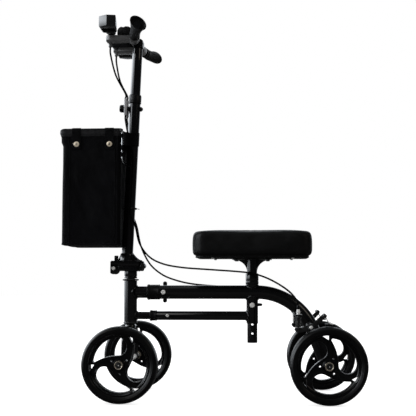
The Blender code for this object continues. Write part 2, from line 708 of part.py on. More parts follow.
def build_rocker(side, sign, carrier, finish):
    """A rocker: the cable pulls its front arm up, and its rear arm presses the shoe down."""
    arm_top = SPRING_SEAT_Z
    outline = [(BARREL_X - 0.011, arm_top - 0.006), (BARREL_X - 0.004, arm_top - 0.014),
               (BRAKE_PIVOT_X - 0.004, BRAKE_PIVOT_Z - ROCKER_BOSS_RADIUS),
               (BRAKE_PIVOT_X + 0.007, BRAKE_PIVOT_Z - 0.006),
               (ARM_END_X + 0.004, ARM_END_Z - 0.006), (ARM_END_X + 0.006, ARM_END_Z + 0.002),
               (ARM_END_X + 0.001, ARM_END_Z + 0.006),
               (BRAKE_PIVOT_X - 0.002, BRAKE_PIVOT_Z + ROCKER_BOSS_RADIUS),
               (BARREL_X + 0.008, arm_top), (BARREL_X - 0.008, arm_top)]
    origin = carrier.location
    local = [(x - origin.x, z - origin.z) for x, z in outline]
    arm = place("brake_rocker_" + side, flat("rocker", local, -ROCKER_HALF_WIDTH,
                                             ROCKER_HALF_WIDTH), finish["steel"], carrier, origin)
    boss = peg(ROCKER_BOSS_RADIUS, -ROCKER_BOSS_HALF_WIDTH, ROCKER_BOSS_HALF_WIDTH, origin,
               ALONG_Y)
    seat = helper(flat("spring_seat", rounded_box(
        (-0.009, -0.009), (0.009, 0.009), 0.004, 2), -0.0035, -0.0002, "Z"),
        at=(BARREL_X, origin.y, arm_top))
    reach = WHEEL_TRACK / 2 - BRAKE_Y + SHOE_WIDTH / 2
    low, high = sorted((-sign * 0.001, sign * reach))
    cross = peg(0.0045, low, high, (ARM_END_X, origin.y, ARM_END_Z), ALONG_Y, 8)
    shoe_y = sign * (WHEEL_TRACK / 2)
    foot = WHEEL_RADIUS * 2 + SHOE_GAP
    strip_outline = [(ARM_END_X - 0.003, ARM_END_Z - 0.001), (SHOE_X - 0.006, foot + 0.008),
                     (SHOE_X - SHOE_LENGTH / 2, foot + SHOE_THICKNESS),
                     (SHOE_X - SHOE_LENGTH / 2, foot), (SHOE_X + SHOE_LENGTH / 2, foot),
                     (SHOE_X + SHOE_LENGTH / 2, foot + SHOE_THICKNESS),
                     (SHOE_X + 0.001, foot + 0.009), (ARM_END_X + 0.004, ARM_END_Z + 0.001)]
    strip = helper(flat("rocker_strip", strip_outline, shoe_y - SHOE_WIDTH / 2,
                        shoe_y + SHOE_WIDTH / 2))
    shaft_space = drill(BRAKE_SHAFT_RADIUS, -0.02, 0.02, origin, ALONG_Y, SMALL_ROUND)
    join(arm, boss, seat, cross, strip)
    cut(arm, shaft_space)


def build_steerer(carrier, finish):
    """The stem, the lower fold block, the fork and the front axle, which steer together."""
    black = finish["black"]
    block_low = FOLD_Z - GAP - BLOCK_THICKNESS
    cover_low = HEAD_TOP + GAP * 2 + HEADSET_HEIGHT
    stem = place("steering_stem", turned("steering_stem", [
        (STEM_RADIUS - STEM_WALL, CROWN_Z), (STEM_RADIUS, CROWN_Z), (STEM_RADIUS, cover_low),
        (HEAD_RADIUS, cover_low), (HEAD_RADIUS, block_low + 0.004),
        (STEM_RADIUS - STEM_WALL, block_low + 0.004)]), black, carrier, (HEAD_X, 0, 0))
    block = helper(flat("lower_block", [
        (BLOCK_FRONT_X, block_low + 0.003), (BLOCK_FRONT_X + 0.006, block_low),
        (FOLD_PIN_X - KNUCKLE_RADIUS - GAP * 2, block_low),
        (FOLD_PIN_X - KNUCKLE_RADIUS - GAP * 2, FOLD_Z - GAP), (BLOCK_FRONT_X, FOLD_Z - GAP)],
        -BLOCK_HALF_WIDTH, BLOCK_HALF_WIDTH))
    ears, ear_bores = [], []
    ear_outline = [(FOLD_PIN_X - KNUCKLE_RADIUS - 0.004, block_low),
                   (FOLD_PIN_X, block_low)] + arc((FOLD_PIN_X, FOLD_Z), KNUCKLE_RADIUS - 0.0006,
                                                  math.radians(-70), math.radians(125), 7) + [
                   (FOLD_PIN_X - KNUCKLE_RADIUS * 0.8, FOLD_Z - GAP),
                   (FOLD_PIN_X - KNUCKLE_RADIUS - 0.004, FOLD_Z - GAP)]
    for sign in (NEAR, FAR):
        low, high = sorted((sign * (KNUCKLE_HALF_WIDTH + GAP), sign * BLOCK_HALF_WIDTH))
        ears.append(helper(flat("fold_ear", ear_outline, low, high)))
    pin_space = drill(BOLT_RADIUS, -0.05, 0.05, (FOLD_PIN_X, 0, FOLD_Z), ALONG_Y)
    tongue_slot = helper(flat("tongue_slot", [
        (LOCK_BOLT_X - BOLT_RADIUS - 0.0035, LOCK_BOLT_Z - BOLT_RADIUS - 0.0008),
        (LOCK_BOLT_X + BOLT_RADIUS + 0.0008, LOCK_BOLT_Z - BOLT_RADIUS - 0.0008),
        (LOCK_BOLT_X + BOLT_RADIUS + 0.0008, FOLD_Z + 0.01),
        (LOCK_BOLT_X - BOLT_RADIUS - 0.0035, FOLD_Z + 0.01)], -0.05, 0.05))
    cheek_room = []
    for sign in (NEAR, FAR):
        inner = BLOCK_HALF_WIDTH - CHEEK_THICKNESS - GAP
        low, high = sorted((sign * inner, sign * (BLOCK_HALF_WIDTH + 0.01)))
        cheek_room.append(helper(flat("cheek_room", [
            (BLOCK_FRONT_X - 0.01, block_low - 0.01), (LOCK_BOLT_X + CHEEK_RADIUS + 0.001,
                                                       block_low - 0.01),
            (LOCK_BOLT_X + CHEEK_RADIUS + 0.001, FOLD_Z + 0.01),
            (BLOCK_FRONT_X - 0.01, FOLD_Z + 0.01)], low, high)))
    fork_space = drill(FORK_RADIUS, -0.05, 0.05, (HEAD_X, 0, CROWN_Z), ALONG_Y, LARGE_ROUND)
    join(stem, block, *ears)
    cut(stem, *cheek_room, tongue_slot, pin_space, fork_space)

    place("fold_pin", turned("fold_pin", rod_profile(
        BOLT_RADIUS, -BLOCK_HALF_WIDTH - 0.002, BLOCK_HALF_WIDTH + 0.002), 12),
        finish["steel"], carrier, (FOLD_PIN_X, 0, FOLD_Z), ALONG_Y)
    fork_path = fork_line(WHEEL_RADIUS)
    fork = place("front_fork", swept("front_fork", fork_path, FORK_RADIUS, 4), black, carrier,
                 (0, 0, 0))
    axle_space = drill(AXLE_SHOULDER_RADIUS, -0.2, 0.2, (FRONT_X, 0, WHEEL_RADIUS), ALONG_Y,
                       LARGE_ROUND)
    cut(fork, axle_space)
    axle("front_axle", AXLE_SHOULDER_RADIUS, carrier, (FRONT_X, 0, WHEEL_RADIUS), finish)


def fork_line(bottom):
    """The fork's bent tube, up one leg, across the crown and down the other."""
    corner_y = FORK_LEG_Y - FORK_BEND
    corner_z = CROWN_Z - FORK_BEND
    bend = arc((corner_y, corner_z), FORK_BEND, 0, math.radians(90), 4)
    far = [(FORK_LEG_Y, bottom)] + bend
    line = far + [(-y, z) for y, z in reversed(far)]
    top = CROWN_Z - bottom
    return [(FRONT_X + (HEAD_X - FRONT_X) * (z - bottom) / top, y, z) for y, z in line]


def column_x(height):
    """The column's axis at a height: it leans back from the fold block."""
    return COLUMN_FOOT_X + (height - FOLD_Z) * math.tan(LEAN)


def on_column(height):
    return (column_x(height), 0, height)


def column_length(low, high):
    """The length along the leaning axis between two heights."""
    return (high - low) / math.cos(LEAN)


def build_column(carrier, finish):
    """The outer column tube on its fold block, with its collar, cable guide, clip and bag."""
    black = finish["black"]
    top_z = FOLD_Z + GAP + BLOCK_THICKNESS
    bore = hole(INNER_RADIUS, LARGE_ROUND)
    lean = (0, LEAN, 0)
    foot = on_column(top_z - 0.004)
    column = place("column_tube", turned("column_tube", [
        (0, 0), (SOCKET_RADIUS, 0), (SOCKET_RADIUS, SOCKET_HEIGHT - 0.003),
        (COLUMN_RADIUS + 0.001, SOCKET_HEIGHT), (COLUMN_RADIUS, SOCKET_HEIGHT),
        (COLUMN_RADIUS, column_length(top_z - 0.004, COLUMN_TOP)),
        (0, column_length(top_z - 0.004, COLUMN_TOP))]), black, carrier, foot, lean)
    plate = helper(flat("upper_block", [
        (BLOCK_FRONT_X, FOLD_Z + GAP), (FOLD_PIN_X - KNUCKLE_RADIUS - GAP * 2, FOLD_Z + GAP),
        (FOLD_PIN_X - KNUCKLE_RADIUS - GAP * 2, top_z), (BLOCK_FRONT_X, top_z)],
        -BLOCK_HALF_WIDTH, BLOCK_HALF_WIDTH))
    knuckle_outline = arc((FOLD_PIN_X, FOLD_Z), KNUCKLE_RADIUS, math.radians(-177),
                          math.radians(60), 7) + [(FOLD_PIN_X + 0.002, top_z),
                                                   (FOLD_PIN_X - KNUCKLE_RADIUS - 0.004, top_z),
                                                   (FOLD_PIN_X - KNUCKLE_RADIUS - 0.004,
                                                    FOLD_Z + GAP)]
    knuckle = helper(flat("fold_knuckle", knuckle_outline, -KNUCKLE_HALF_WIDTH,
                          KNUCKLE_HALF_WIDTH))
    cheeks = []
    cheek_outline = [(BLOCK_FRONT_X, FOLD_Z + 0.004)] + [
        (BLOCK_FRONT_X, LOCK_BOLT_Z)] + arc((LOCK_BOLT_X, LOCK_BOLT_Z - 0.004), CHEEK_RADIUS,
                                            math.radians(-160), math.radians(-20), 6) + [
        (LOCK_BOLT_X + CHEEK_RADIUS, LOCK_BOLT_Z), (LOCK_BOLT_X + CHEEK_RADIUS, FOLD_Z + 0.004)]
    for sign in (NEAR, FAR):
        low, high = sorted((sign * (BLOCK_HALF_WIDTH - CHEEK_THICKNESS), sign * BLOCK_HALF_WIDTH))
        cheeks.append(helper(flat("cheek", cheek_outline, low, high)))
    front = column_x(top_z) - SOCKET_RADIUS + 0.003
    back = column_x(top_z) + SOCKET_RADIUS - 0.003
    gussets = [helper(flat("front_gusset", [
        (BLOCK_FRONT_X + 0.018, top_z - 0.002), (front, top_z - 0.002),
        (front, top_z + GUSSET_HEIGHT)], -GUSSET_THICKNESS / 2, GUSSET_THICKNESS / 2))]
    gussets.append(helper(flat("rear_gusset", [
        (back, top_z - 0.002), (FOLD_PIN_X - 0.002, top_z - 0.002), (back, top_z + GUSSET_HEIGHT)],
        -GUSSET_THICKNESS / 2, GUSSET_THICKNESS / 2)))
    knob_at = on_column(KNOB_Z)
    boss = peg(BOSS_RADIUS, -COLUMN_RADIUS - BOSS_REACH, 0, knob_at, ACROSS_COLUMN)
    tail = helper(turned("knob_tail", [
        (0, 0), (BOSS_RADIUS, 0), (BOSS_RADIUS, COLUMN_RADIUS + 0.004),
        (0.003, COLUMN_RADIUS + 0.008), (0, COLUMN_RADIUS + 0.008)], SMALL_ROUND),
        at=knob_at, turn=ACROSS_COLUMN)
    screw_space = drill(BOLT_RADIUS, -0.04, 0, knob_at, ACROSS_COLUMN)
    lock_space = drill(BOLT_RADIUS, -0.05, 0.05, (LOCK_BOLT_X, 0, LOCK_BOLT_Z), ALONG_Y)
    pin_space = drill(BOLT_RADIUS, -0.05, 0.05, (FOLD_PIN_X, 0, FOLD_Z), ALONG_Y)
    inside = drill(INNER_RADIUS, 0.004, column_length(top_z - 0.004, COLUMN_TOP) + 0.01,
                   foot, lean, LARGE_ROUND)
    join(column, plate, knuckle, *cheeks, *gussets, boss, tail)
    cut(column, inside, screw_space, lock_space, pin_space)

    through_bolt("fold_lock_bolt", (LOCK_BOLT_X, LOCK_BOLT_Z), BLOCK_HALF_WIDTH,
                 BLOCK_HALF_WIDTH - 0.0005, carrier, finish)
    place("column_collar", turned("column_collar", [
        (bore, 0), (COLLAR_RADIUS, 0), (COLLAR_RADIUS, COLLAR_HEIGHT * 0.85),
        (COLLAR_RADIUS - 0.001, COLLAR_HEIGHT), (bore, COLLAR_HEIGHT)]), finish["plastic"],
        carrier, on_column(COLUMN_TOP + GAP * 1.5), lean)
    build_cable_guide(carrier, finish)
    build_clip(carrier, finish)
    build_bag(carrier, finish)


def guide_y(side):
    """Where a cable runs through the guide."""
    return side * 0.016


def guide_place():
    """The middle of the cable guide, on the knob's own axis in front of the column."""
    reach = COLUMN_RADIUS + BOSS_REACH + GAP + GUIDE_THICKNESS / 2
    return (column_x(KNOB_Z) - reach * math.cos(LEAN), 0, KNOB_Z + reach * math.sin(LEAN))


def build_cable_guide(carrier, finish):
    """A plate clamped behind the knob, with a short tube for each cable at its ends."""
    half = GUIDE_THICKNESS / 2
    guide = place("cable_guide", flat("cable_guide", rounded_box(
        (-0.0145, -0.008), (0.0145, 0.008), 0.003, 2), -half, half, "X"), finish["steel"], carrier,
        guide_place(), (0, LEAN, 0))
    tubes, bores = [], []
    for sign in (NEAR, FAR):
        where = (guide_place()[0], guide_y(sign), KNOB_Z)
        tubes.append(peg(GUIDE_TUBE_RADIUS, -0.020, 0.028, where, segments=TINY_ROUND))
        bores.append(drill(CABLE_RADIUS, -0.1, 0.1, where))
    screw = drill(BOLT_RADIUS, -0.02, 0.02, guide_place(), ACROSS_COLUMN)
    join(guide, *tubes)
    cut(guide, *bores, screw)


def build_clip(carrier, finish):
    """The band that holds both cables to the column, with its trimmed tail to the rear."""
    centre = on_column(CLIP_Z)
    clip = place("cable_clip", turned("cable_clip", rod_profile(
        hole(COLUMN_RADIUS, LARGE_ROUND) + 0.0016, -CLIP_HEIGHT / 2, CLIP_HEIGHT / 2)),
        finish["plastic"], carrier, centre, (0, LEAN, 0))
    loops, bores = [], []
    for sign in (NEAR, FAR):
        where = (centre[0] + 0.006, sign * CABLE_SIDE_Y, CLIP_Z)
        loops.append(peg(0.0046, -CLIP_HEIGHT * 0.45, CLIP_HEIGHT * 0.45, where,
                         segments=TINY_ROUND))
        bores.append(drill(CABLE_RADIUS, -0.1, 0.1, where))
    tail = helper(flat("clip_tail", [(0.0160, -0.002), (0.0280, -0.003), (0.0280, 0.000),
                                     (0.0160, 0.002)], -0.0022, 0.0022), centre)
    keep = drill(COLUMN_RADIUS, -0.05, 0.05, centre, (0, LEAN, 0), LARGE_ROUND)
    join(clip, *loops, tail)
    cut(clip, keep, *bores)


def bag_outline(inset):
    """The bag's footprint as (x, y): round front corners and a notch behind for the column."""
    front, back = FRONT_X - BAG_REACH + inset, FRONT_X + BAG_BACK - inset
    half = BAG_HALF_WIDTH - inset
    corner = BAG_CORNER - inset
    notch = FRONT_X + BAG_BACK - BAG_NOTCH - inset
    right = [(notch, BAG_NOTCH_HALF_WIDTH - 0.017 - inset), (notch + 0.004, BAG_NOTCH_HALF_WIDTH),
             (back - 0.002, half - 0.020)]
    right += arc((back - 0.008, half - 0.008), 0.008, 0, math.radians(90), 2)
    right += arc((front + corner, half - corner), corner, math.radians(90), math.radians(180), 4)
    return right + [(x, -y) for x, y in reversed(right)]


def build_bag(carrier, finish):
    """The open topped fabric bag and the wire that it hangs on."""
    bag = place("bag", flat("bag", bag_outline(0.0), BAG_BOTTOM, BAG_TOP, "Z"), finish["fabric"],
                carrier, (0, 0, 0))
    inside = helper(flat("bag_inside", bag_outline(BAG_WALL), BAG_BOTTOM + BAG_WALL,
                         BAG_TOP + 0.05, "Z"))
    cut(bag, inside)
    wire_z = BAG_TOP + GAP + WIRE_RADIUS
    side = BAG_HALF_WIDTH + 0.0005
    front = FRONT_X - BAG_REACH - GAP - WIRE_RADIUS + 0.002
    back = FRONT_X + BAG_BACK + WIRE_RADIUS + GAP
    off_axis = abs(back - column_x(WIRE_DROP)) - WIRE_RADIUS
    tube_y = math.sqrt((COLUMN_RADIUS + GAP * 2) ** 2 - off_axis ** 2)
    half = [(back, tube_y, WIRE_DROP), (back, side - 0.010, WIRE_DROP),
            (back, side - 0.002, WIRE_DROP + 0.003), (back, side, WIRE_DROP + 0.012),
            (back, side, wire_z - 0.010), (back - 0.003, side, wire_z - 0.002),
            (back - 0.012, side, wire_z)]
    half += [(x, y, wire_z) for x, y in arc((front + 0.016, side - 0.016), 0.016,
                                            math.radians(90), math.radians(180), 4)]
    line = half + [(x, -y, z) for x, y, z in reversed(half)]
    place("bag_hanger", swept("bag_hanger", line, WIRE_RADIUS, 1), finish["zinc"], carrier,
          (0, 0, 0))


def build_handles(carriers, finish):
    """The hand turned parts: joint handle, fold lever, seat lever and column knob."""
    carrier = carriers["joint_handle"]
    hub_low = MAIN_RADIUS + GAP * 2
    handle = place("upper_joint_handle", turned("joint_handle_hub", rod_profile(
        0.0085, 0, 0.009), SMALL_ROUND), finish["plastic"], carrier,
        (JOINT_BOLT_X, hub_low, MAIN_Z), ALONG_Y)
    half = JOINT_HANDLE_SPAN / 2
    wings = helper(flat("joint_wings", rounded_box((-0.0060, -half), (0.0060, half), 0.0055),
                        0.0030, 0.0090), (JOINT_BOLT_X, hub_low, MAIN_Z))
    through = drill(BOLT_RADIUS, -0.02, 0.004, (JOINT_BOLT_X, hub_low, MAIN_Z), ALONG_Y)
    join(handle, wings)
    cut(handle, through)

    carrier = carriers["fold_lever"]
    lever = place("fold_lever", turned("fold_lever_cam", rod_profile(FOLD_CAM_RADIUS, -0.006, 0.006), 12),
                  finish["plastic"], carrier, carrier.location, ALONG_X)
    arm_outline = [(-0.0045, 0.0), (0.0035, 0.0), (0.0060, FOLD_LEVER_LENGTH * 0.5),
                   (0.0050, FOLD_LEVER_LENGTH), (0.0005, FOLD_LEVER_LENGTH),
                   (-0.0008, FOLD_LEVER_LENGTH * 0.4)]
    arm = helper(flat("fold_lever_arm", arm_outline, -0.0060, 0.0060, "X"), carrier.location)
    join(lever, arm)

    carrier = carriers["seat_lever"]
    sleeve_outer = POST_RADIUS + GAP + SLEEVE_WALL
    inner_end = POST_RADIUS + GAP * 2
    lever = place("seat_lever", turned("seat_lever_hub", [
        (0, inner_end), (BOLT_RADIUS, inner_end), (BOLT_RADIUS, sleeve_outer + GAP * 2),
        (0.0075, sleeve_outer + GAP * 2), (0.0075, sleeve_outer + 0.009),
        (0, sleeve_outer + 0.009)], 12), finish["plastic"], carrier, (SEAT_X, 0, SEAT_BOLT_Z),
        ALONG_Y)
    arm = helper(flat("seat_lever_arm", [
        (-0.002, -0.0048), (SEAT_LEVER_LENGTH - 0.003, -0.0032), (SEAT_LEVER_LENGTH, 0.0005),
        (SEAT_LEVER_LENGTH - 0.003, 0.0040), (-0.002, 0.0056)], sleeve_outer + 0.0035,
        sleeve_outer + 0.0085), (SEAT_X, 0, SEAT_BOLT_Z))
    join(lever, arm)

    carrier = carriers["column_knob"]
    reach = COLUMN_RADIUS + BOSS_REACH + GUIDE_THICKNESS + GAP * 3
    place("column_knob", turned("column_knob", [
        (0, -INNER_RADIUS - GAP * 2), (BOLT_RADIUS, -INNER_RADIUS - GAP * 2),
        (BOLT_RADIUS, -reach), (KNOB_RADIUS * 0.8, -reach), (KNOB_RADIUS, -reach - 0.003),
        (KNOB_RADIUS, -reach - KNOB_LENGTH + 0.003), (KNOB_RADIUS * 0.75, -reach - KNOB_LENGTH),
        (0, -reach - KNOB_LENGTH)], 12), finish["plastic"], carrier,
        on_column(KNOB_Z), ACROSS_COLUMN)


def arm_point(sign, along):
    """A point on the swept back handlebar arm, counted outwards from the bend."""
    flat_run = along * math.cos(BAR_RISE)
    return Vector((BAR_X + flat_run * math.sin(BAR_SWEEP),
                   sign * (BAR_STRAIGHT + flat_run * math.cos(BAR_SWEEP)),
                   BAR_Z + along * math.sin(BAR_RISE)))


def arm_turn(sign):
    """The rotation that carries +Z onto the outward direction of a handlebar arm."""
    outward = (arm_point(sign, 1.0) - arm_point(sign, 0.0)).normalized()
    return outward.to_track_quat("Z", "X").to_euler()


def bar_line(end):
    """The handlebar's centre line from its near end to its far end."""
    far = [Vector((BAR_X, BAR_STRAIGHT - 0.012, BAR_Z)), arm_point(FAR, 0.0).lerp(
        Vector((BAR_X, BAR_STRAIGHT, BAR_Z)), 0.5), arm_point(FAR, 0.012), arm_point(FAR, end)]
    near = [Vector((p.x, -p.y, p.z)) for p in reversed(far)]
    return near + far


def build_handlebar(carrier, finish):
    """The sliding tube with the clamp, bar, grips and lever perches on its top."""
    lean = (0, LEAN, 0)
    place("inner_tube", turned("inner_tube", tube_profile(
        INNER_RADIUS, INNER_RADIUS - INNER_WALL, 0, column_length(INNER_BOTTOM, INNER_TOP))),
        finish["black"], carrier, on_column(INNER_BOTTOM), lean)
    grip_start = (GRIP_INNER_Y - BAR_STRAIGHT) / math.cos(BAR_SWEEP)
    bar_end = grip_start + GRIP_LENGTH - GRIP_END_WALL - GAP * 2
    bar = place("handlebar", swept("handlebar", bar_line(bar_end), BAR_RADIUS, 3),
                finish["black"], carrier, (0, 0, 0))
    bar_bore = helper(swept("bar_bore", bar_line(bar_end + 0.01), BAR_RADIUS - BAR_WALL, 3))
    cut(bar, bar_bore)
    bar_space = helper(swept("bar_space", bar_line(bar_end + 0.02), hole(BAR_RADIUS, 10), 3))
    low = INNER_TOP + GAP * 3
    clamp = place("bar_clamp", flat("bar_clamp", [
        (CLAMP_FRONT, low + 0.004), (CLAMP_FRONT + 0.005, low), (CLAMP_BACK, low),
        (CLAMP_BACK, CLAMP_TOP - 0.004), (CLAMP_BACK - 0.005, CLAMP_TOP),
        (BAR_X - 0.014, CLAMP_TOP), (CLAMP_FRONT + 0.006, CLAMP_TOP - 0.002),
        (CLAMP_FRONT, CLAMP_TOP - 0.007)], -CLAMP_HALF_WIDTH, CLAMP_HALF_WIDTH),
        finish["black"], carrier, (0, 0, 0))
    cut(clamp, bar_space)
    for side, sign in SIDES.items():
        grip_profile = [(hole(BAR_RADIUS, LARGE_ROUND), 0), (GRIP_RADIUS, 0),
                        (GRIP_RADIUS - 0.0005, GRIP_LENGTH * 0.15),
                        (GRIP_RADIUS, GRIP_LENGTH * 0.55), (GRIP_RADIUS + 0.0015,
                                                            GRIP_LENGTH * 0.74),
                        (GRIP_RADIUS + 0.0045, GRIP_LENGTH * 0.88),
                        (GRIP_FLARE_RADIUS, GRIP_LENGTH - 0.0035),
                        (GRIP_FLARE_RADIUS - 0.0012, GRIP_LENGTH), (0, GRIP_LENGTH),
                        (0, GRIP_LENGTH - GRIP_END_WALL),
                        (hole(BAR_RADIUS, LARGE_ROUND), GRIP_LENGTH - GRIP_END_WALL)]
        place("grip_" + side, turned("grip", grip_profile, LARGE_ROUND), finish["rubber"], carrier,
              arm_point(sign, grip_start), arm_turn(sign))
        build_perch(side, sign, carrier, finish, bar_space)


def build_perch(side, sign, carrier, finish, bar_space):
    """A perch: a ring on the bar, a flat arm forward, the lever's pin and the cable's exit."""
    body_outline = [(PERCH_FRONT, CABLE_EXIT_Y - 0.007), (BAR_X, CABLE_EXIT_Y - 0.001),
                    (BAR_X, PERCH_Y + 0.014), (LEVER_PIVOT_X + 0.008, LEVER_PIVOT_Y + 0.010),
                    (PERCH_FRONT, LEVER_PIVOT_Y + 0.008)]
    perch = place("perch_" + side, flat("perch", [(x, sign * y) for x, y in body_outline],
                                        PERCH_LOW, PERCH_HIGH, "Z"), finish["plastic"], carrier,
                  (0, 0, 0))
    ring_at = arm_point(sign, (PERCH_Y - BAR_STRAIGHT) / math.cos(BAR_SWEEP))
    ring = peg(PERCH_RING_RADIUS, -0.012, 0.014, ring_at, arm_turn(sign), LARGE_ROUND)
    pin = peg(LEVER_PIN_RADIUS, PERCH_LOW + 0.002, PERCH_HIGH + LEVER_ROOT_THICKNESS + 0.001,
              (LEVER_PIVOT_X, sign * LEVER_PIVOT_Y, 0))
    exit_tube = peg(0.0050, CABLE_EXIT_Z, PERCH_LOW + 0.004,
                    (CABLE_EXIT_X, sign * CABLE_EXIT_Y, 0), segments=8)
    join(perch, ring, pin, exit_tube)
    cut(perch, bar_space)


def build_lever(side, sign, carrier, finish):
    """A brake lever: a flat root on the perch's pin and a deep handle block."""
    low = PERCH_HIGH + GAP
    high = low + LEVER_ROOT_THICKNESS
    at = Vector((LEVER_PIVOT_X, sign * LEVER_PIVOT_Y, 0))
    root_outline = arc((0, 0), 0.0095, math.radians(150), math.radians(360), 6)
    root_outline += [(0.022, LEVER_BLOCK_INNER + 0.010 - LEVER_PIVOT_Y),
                     (-0.012, LEVER_BLOCK_INNER + 0.010 - LEVER_PIVOT_Y)]
    lever = place("brake_lever_" + side, flat("lever_root", [
        (x, sign * y) for x, y in root_outline], low, high, "Z"), finish["plastic"], carrier, at)
    y_low, y_high = sorted((sign * LEVER_BLOCK_INNER, sign * LEVER_BLOCK_OUTER))
    block = helper(flat("lever_block", rounded_box(
        (LEVER_BLOCK_FRONT, LEVER_BLOCK_LOW), (LEVER_BLOCK_BACK, LEVER_BLOCK_HIGH), 0.007, 3),
        y_low, y_high))
    bore = drill(LEVER_PIN_RADIUS, low - 0.01, high + 0.01, at, segments=SMALL_ROUND)
    join(lever, block)
    cut(lever, bore)


def build_seat(carrier, finish):
    """The sliding post with its plate and gussets, the seat board and the cushion."""
    post = place("seat_post", turned("seat_post", tube_profile(
        POST_RADIUS, POST_RADIUS - POST_WALL, POST_BOTTOM, SEAT_PLATE_Z - GAP)), finish["black"],
        carrier, (SEAT_X, 0, 0))
    cut(post, *[drill(POST_HOLE_RADIUS, -0.03, 0.03,
                      (SEAT_X, 0, POST_BOTTOM + POST_HOLE_PITCH * row), ALONG_Y, 8)
                for row in range(1, POST_HOLES + 1)])

    plate_top = SEAT_PLATE_Z + SEAT_PLATE_THICKNESS
    plate = place("seat_bracket", flat("seat_bracket", rounded_box(
        (-SEAT_PLATE_HALF, -SEAT_PLATE_HALF), (SEAT_PLATE_HALF, SEAT_PLATE_HALF), 0.008, 2),
        SEAT_PLATE_Z, plate_top, "Z"), finish["black"], carrier, (SEAT_X, 0, 0))
    gussets = []
    for sign in (-1, 1):
        edge = POST_RADIUS + GAP
        corner = (edge + GUSSET_RADIUS + 0.003, SEAT_PLATE_Z - GUSSET_RADIUS)
        curve = arc(corner, GUSSET_RADIUS, math.radians(90), math.radians(180), 7)
        outline = [(edge, SEAT_PLATE_Z + 0.001), (corner[0] + 0.004, SEAT_PLATE_Z + 0.001),
                   (corner[0] + 0.004, SEAT_PLATE_Z)] + curve + [(edge, corner[1])]
        gussets.append(helper(flat("seat_gusset", [(sign * x, z) for x, z in outline],
                                   -GUSSET_THICKNESS / 2, GUSSET_THICKNESS / 2),
                              (SEAT_X, 0, 0)))
    join(plate, *gussets)

    board_low = plate_top + GAP
    half_length = CUSHION_LENGTH / 2 - BOARD_INSET
    half_width = CUSHION_WIDTH / 2 - BOARD_INSET
    place("seat_board", flat("seat_board", rounded_box(
        (-half_length, -half_width), (half_length, half_width), CUSHION_CORNER - BOARD_INSET, 3),
        board_low, board_low + BOARD_THICKNESS, "Z"), finish["board"], carrier,
        (CUSHION_CENTRE, 0, 0))
    place("cushion", cushion_mesh(board_low + BOARD_THICKNESS + GAP), finish["vinyl"], carrier,
          (CUSHION_CENTRE, 0, 0))


def cushion_mesh(low):
    """A crowned block with round corners, its sides drawn in towards the board."""
    shape = bmesh.new()
    layers = ((0.00, 0.006), (0.05, 0.0015), (0.20, 0.0), (0.75, 0.0), (0.92, 0.0025),
              (0.985, 0.008))
    rings = []
    outline = rounded_box((-CUSHION_LENGTH / 2, -CUSHION_WIDTH / 2),
                          (CUSHION_LENGTH / 2, CUSHION_WIDTH / 2), CUSHION_CORNER, 4)
    dense = []
    for start, end in zip(outline, outline[1:] + outline[:1]):
        parts = max(1, round(math.dist(start, end) / 0.04))
        dense += [(start[0] + (end[0] - start[0]) * i / parts,
                   start[1] + (end[1] - start[1]) * i / parts) for i in range(parts)]
    for share, inset in layers:
        ring = []
        for x, y in dense:
            waist = CUSHION_DRAW_IN * (math.cos(math.pi * x / CUSHION_LENGTH)
                                       * math.cos(math.pi * y / CUSHION_WIDTH))
            shrink = inset + waist * (1 - share)
            ring.append(shape.verts.new((x * (1 - 2 * shrink / CUSHION_LENGTH),
                                         y * (1 - 2 * shrink / CUSHION_WIDTH),
                                         low + CUSHION_HEIGHT * share
                                         - CUSHION_CROWN * share * crown_fall(x, y))))
        rings.append(ring)
    for share in (0.86, 0.55, 0.22):
        rings.append([shape.verts.new((x * share, y * share, low + CUSHION_HEIGHT
                                       - CUSHION_CROWN * crown_fall(x * share, y * share)))
                      for x, y in dense])
    count = len(dense)
    for lower, upper in zip(rings, rings[1:]):
        for i in range(count):
            shape.faces.new((lower[i - 1], lower[i], upper[i], upper[i - 1]))
    shape.faces.new(list(reversed(rings[0])))
    top = shape.verts.new((0, 0, low + CUSHION_HEIGHT))
    for i in range(count):
        shape.faces.new((rings[-1][i - 1], rings[-1][i], top))
    return mesh_from(shape, "cushion")


def crown_fall(x, y):
    """How far the crown has fallen at a place on the cushion, from 0 at its middle to 1."""
    return min(1.0, max(abs(2 * x / CUSHION_LENGTH) ** 3, abs(2 * y / CUSHION_WIDTH) ** 3))


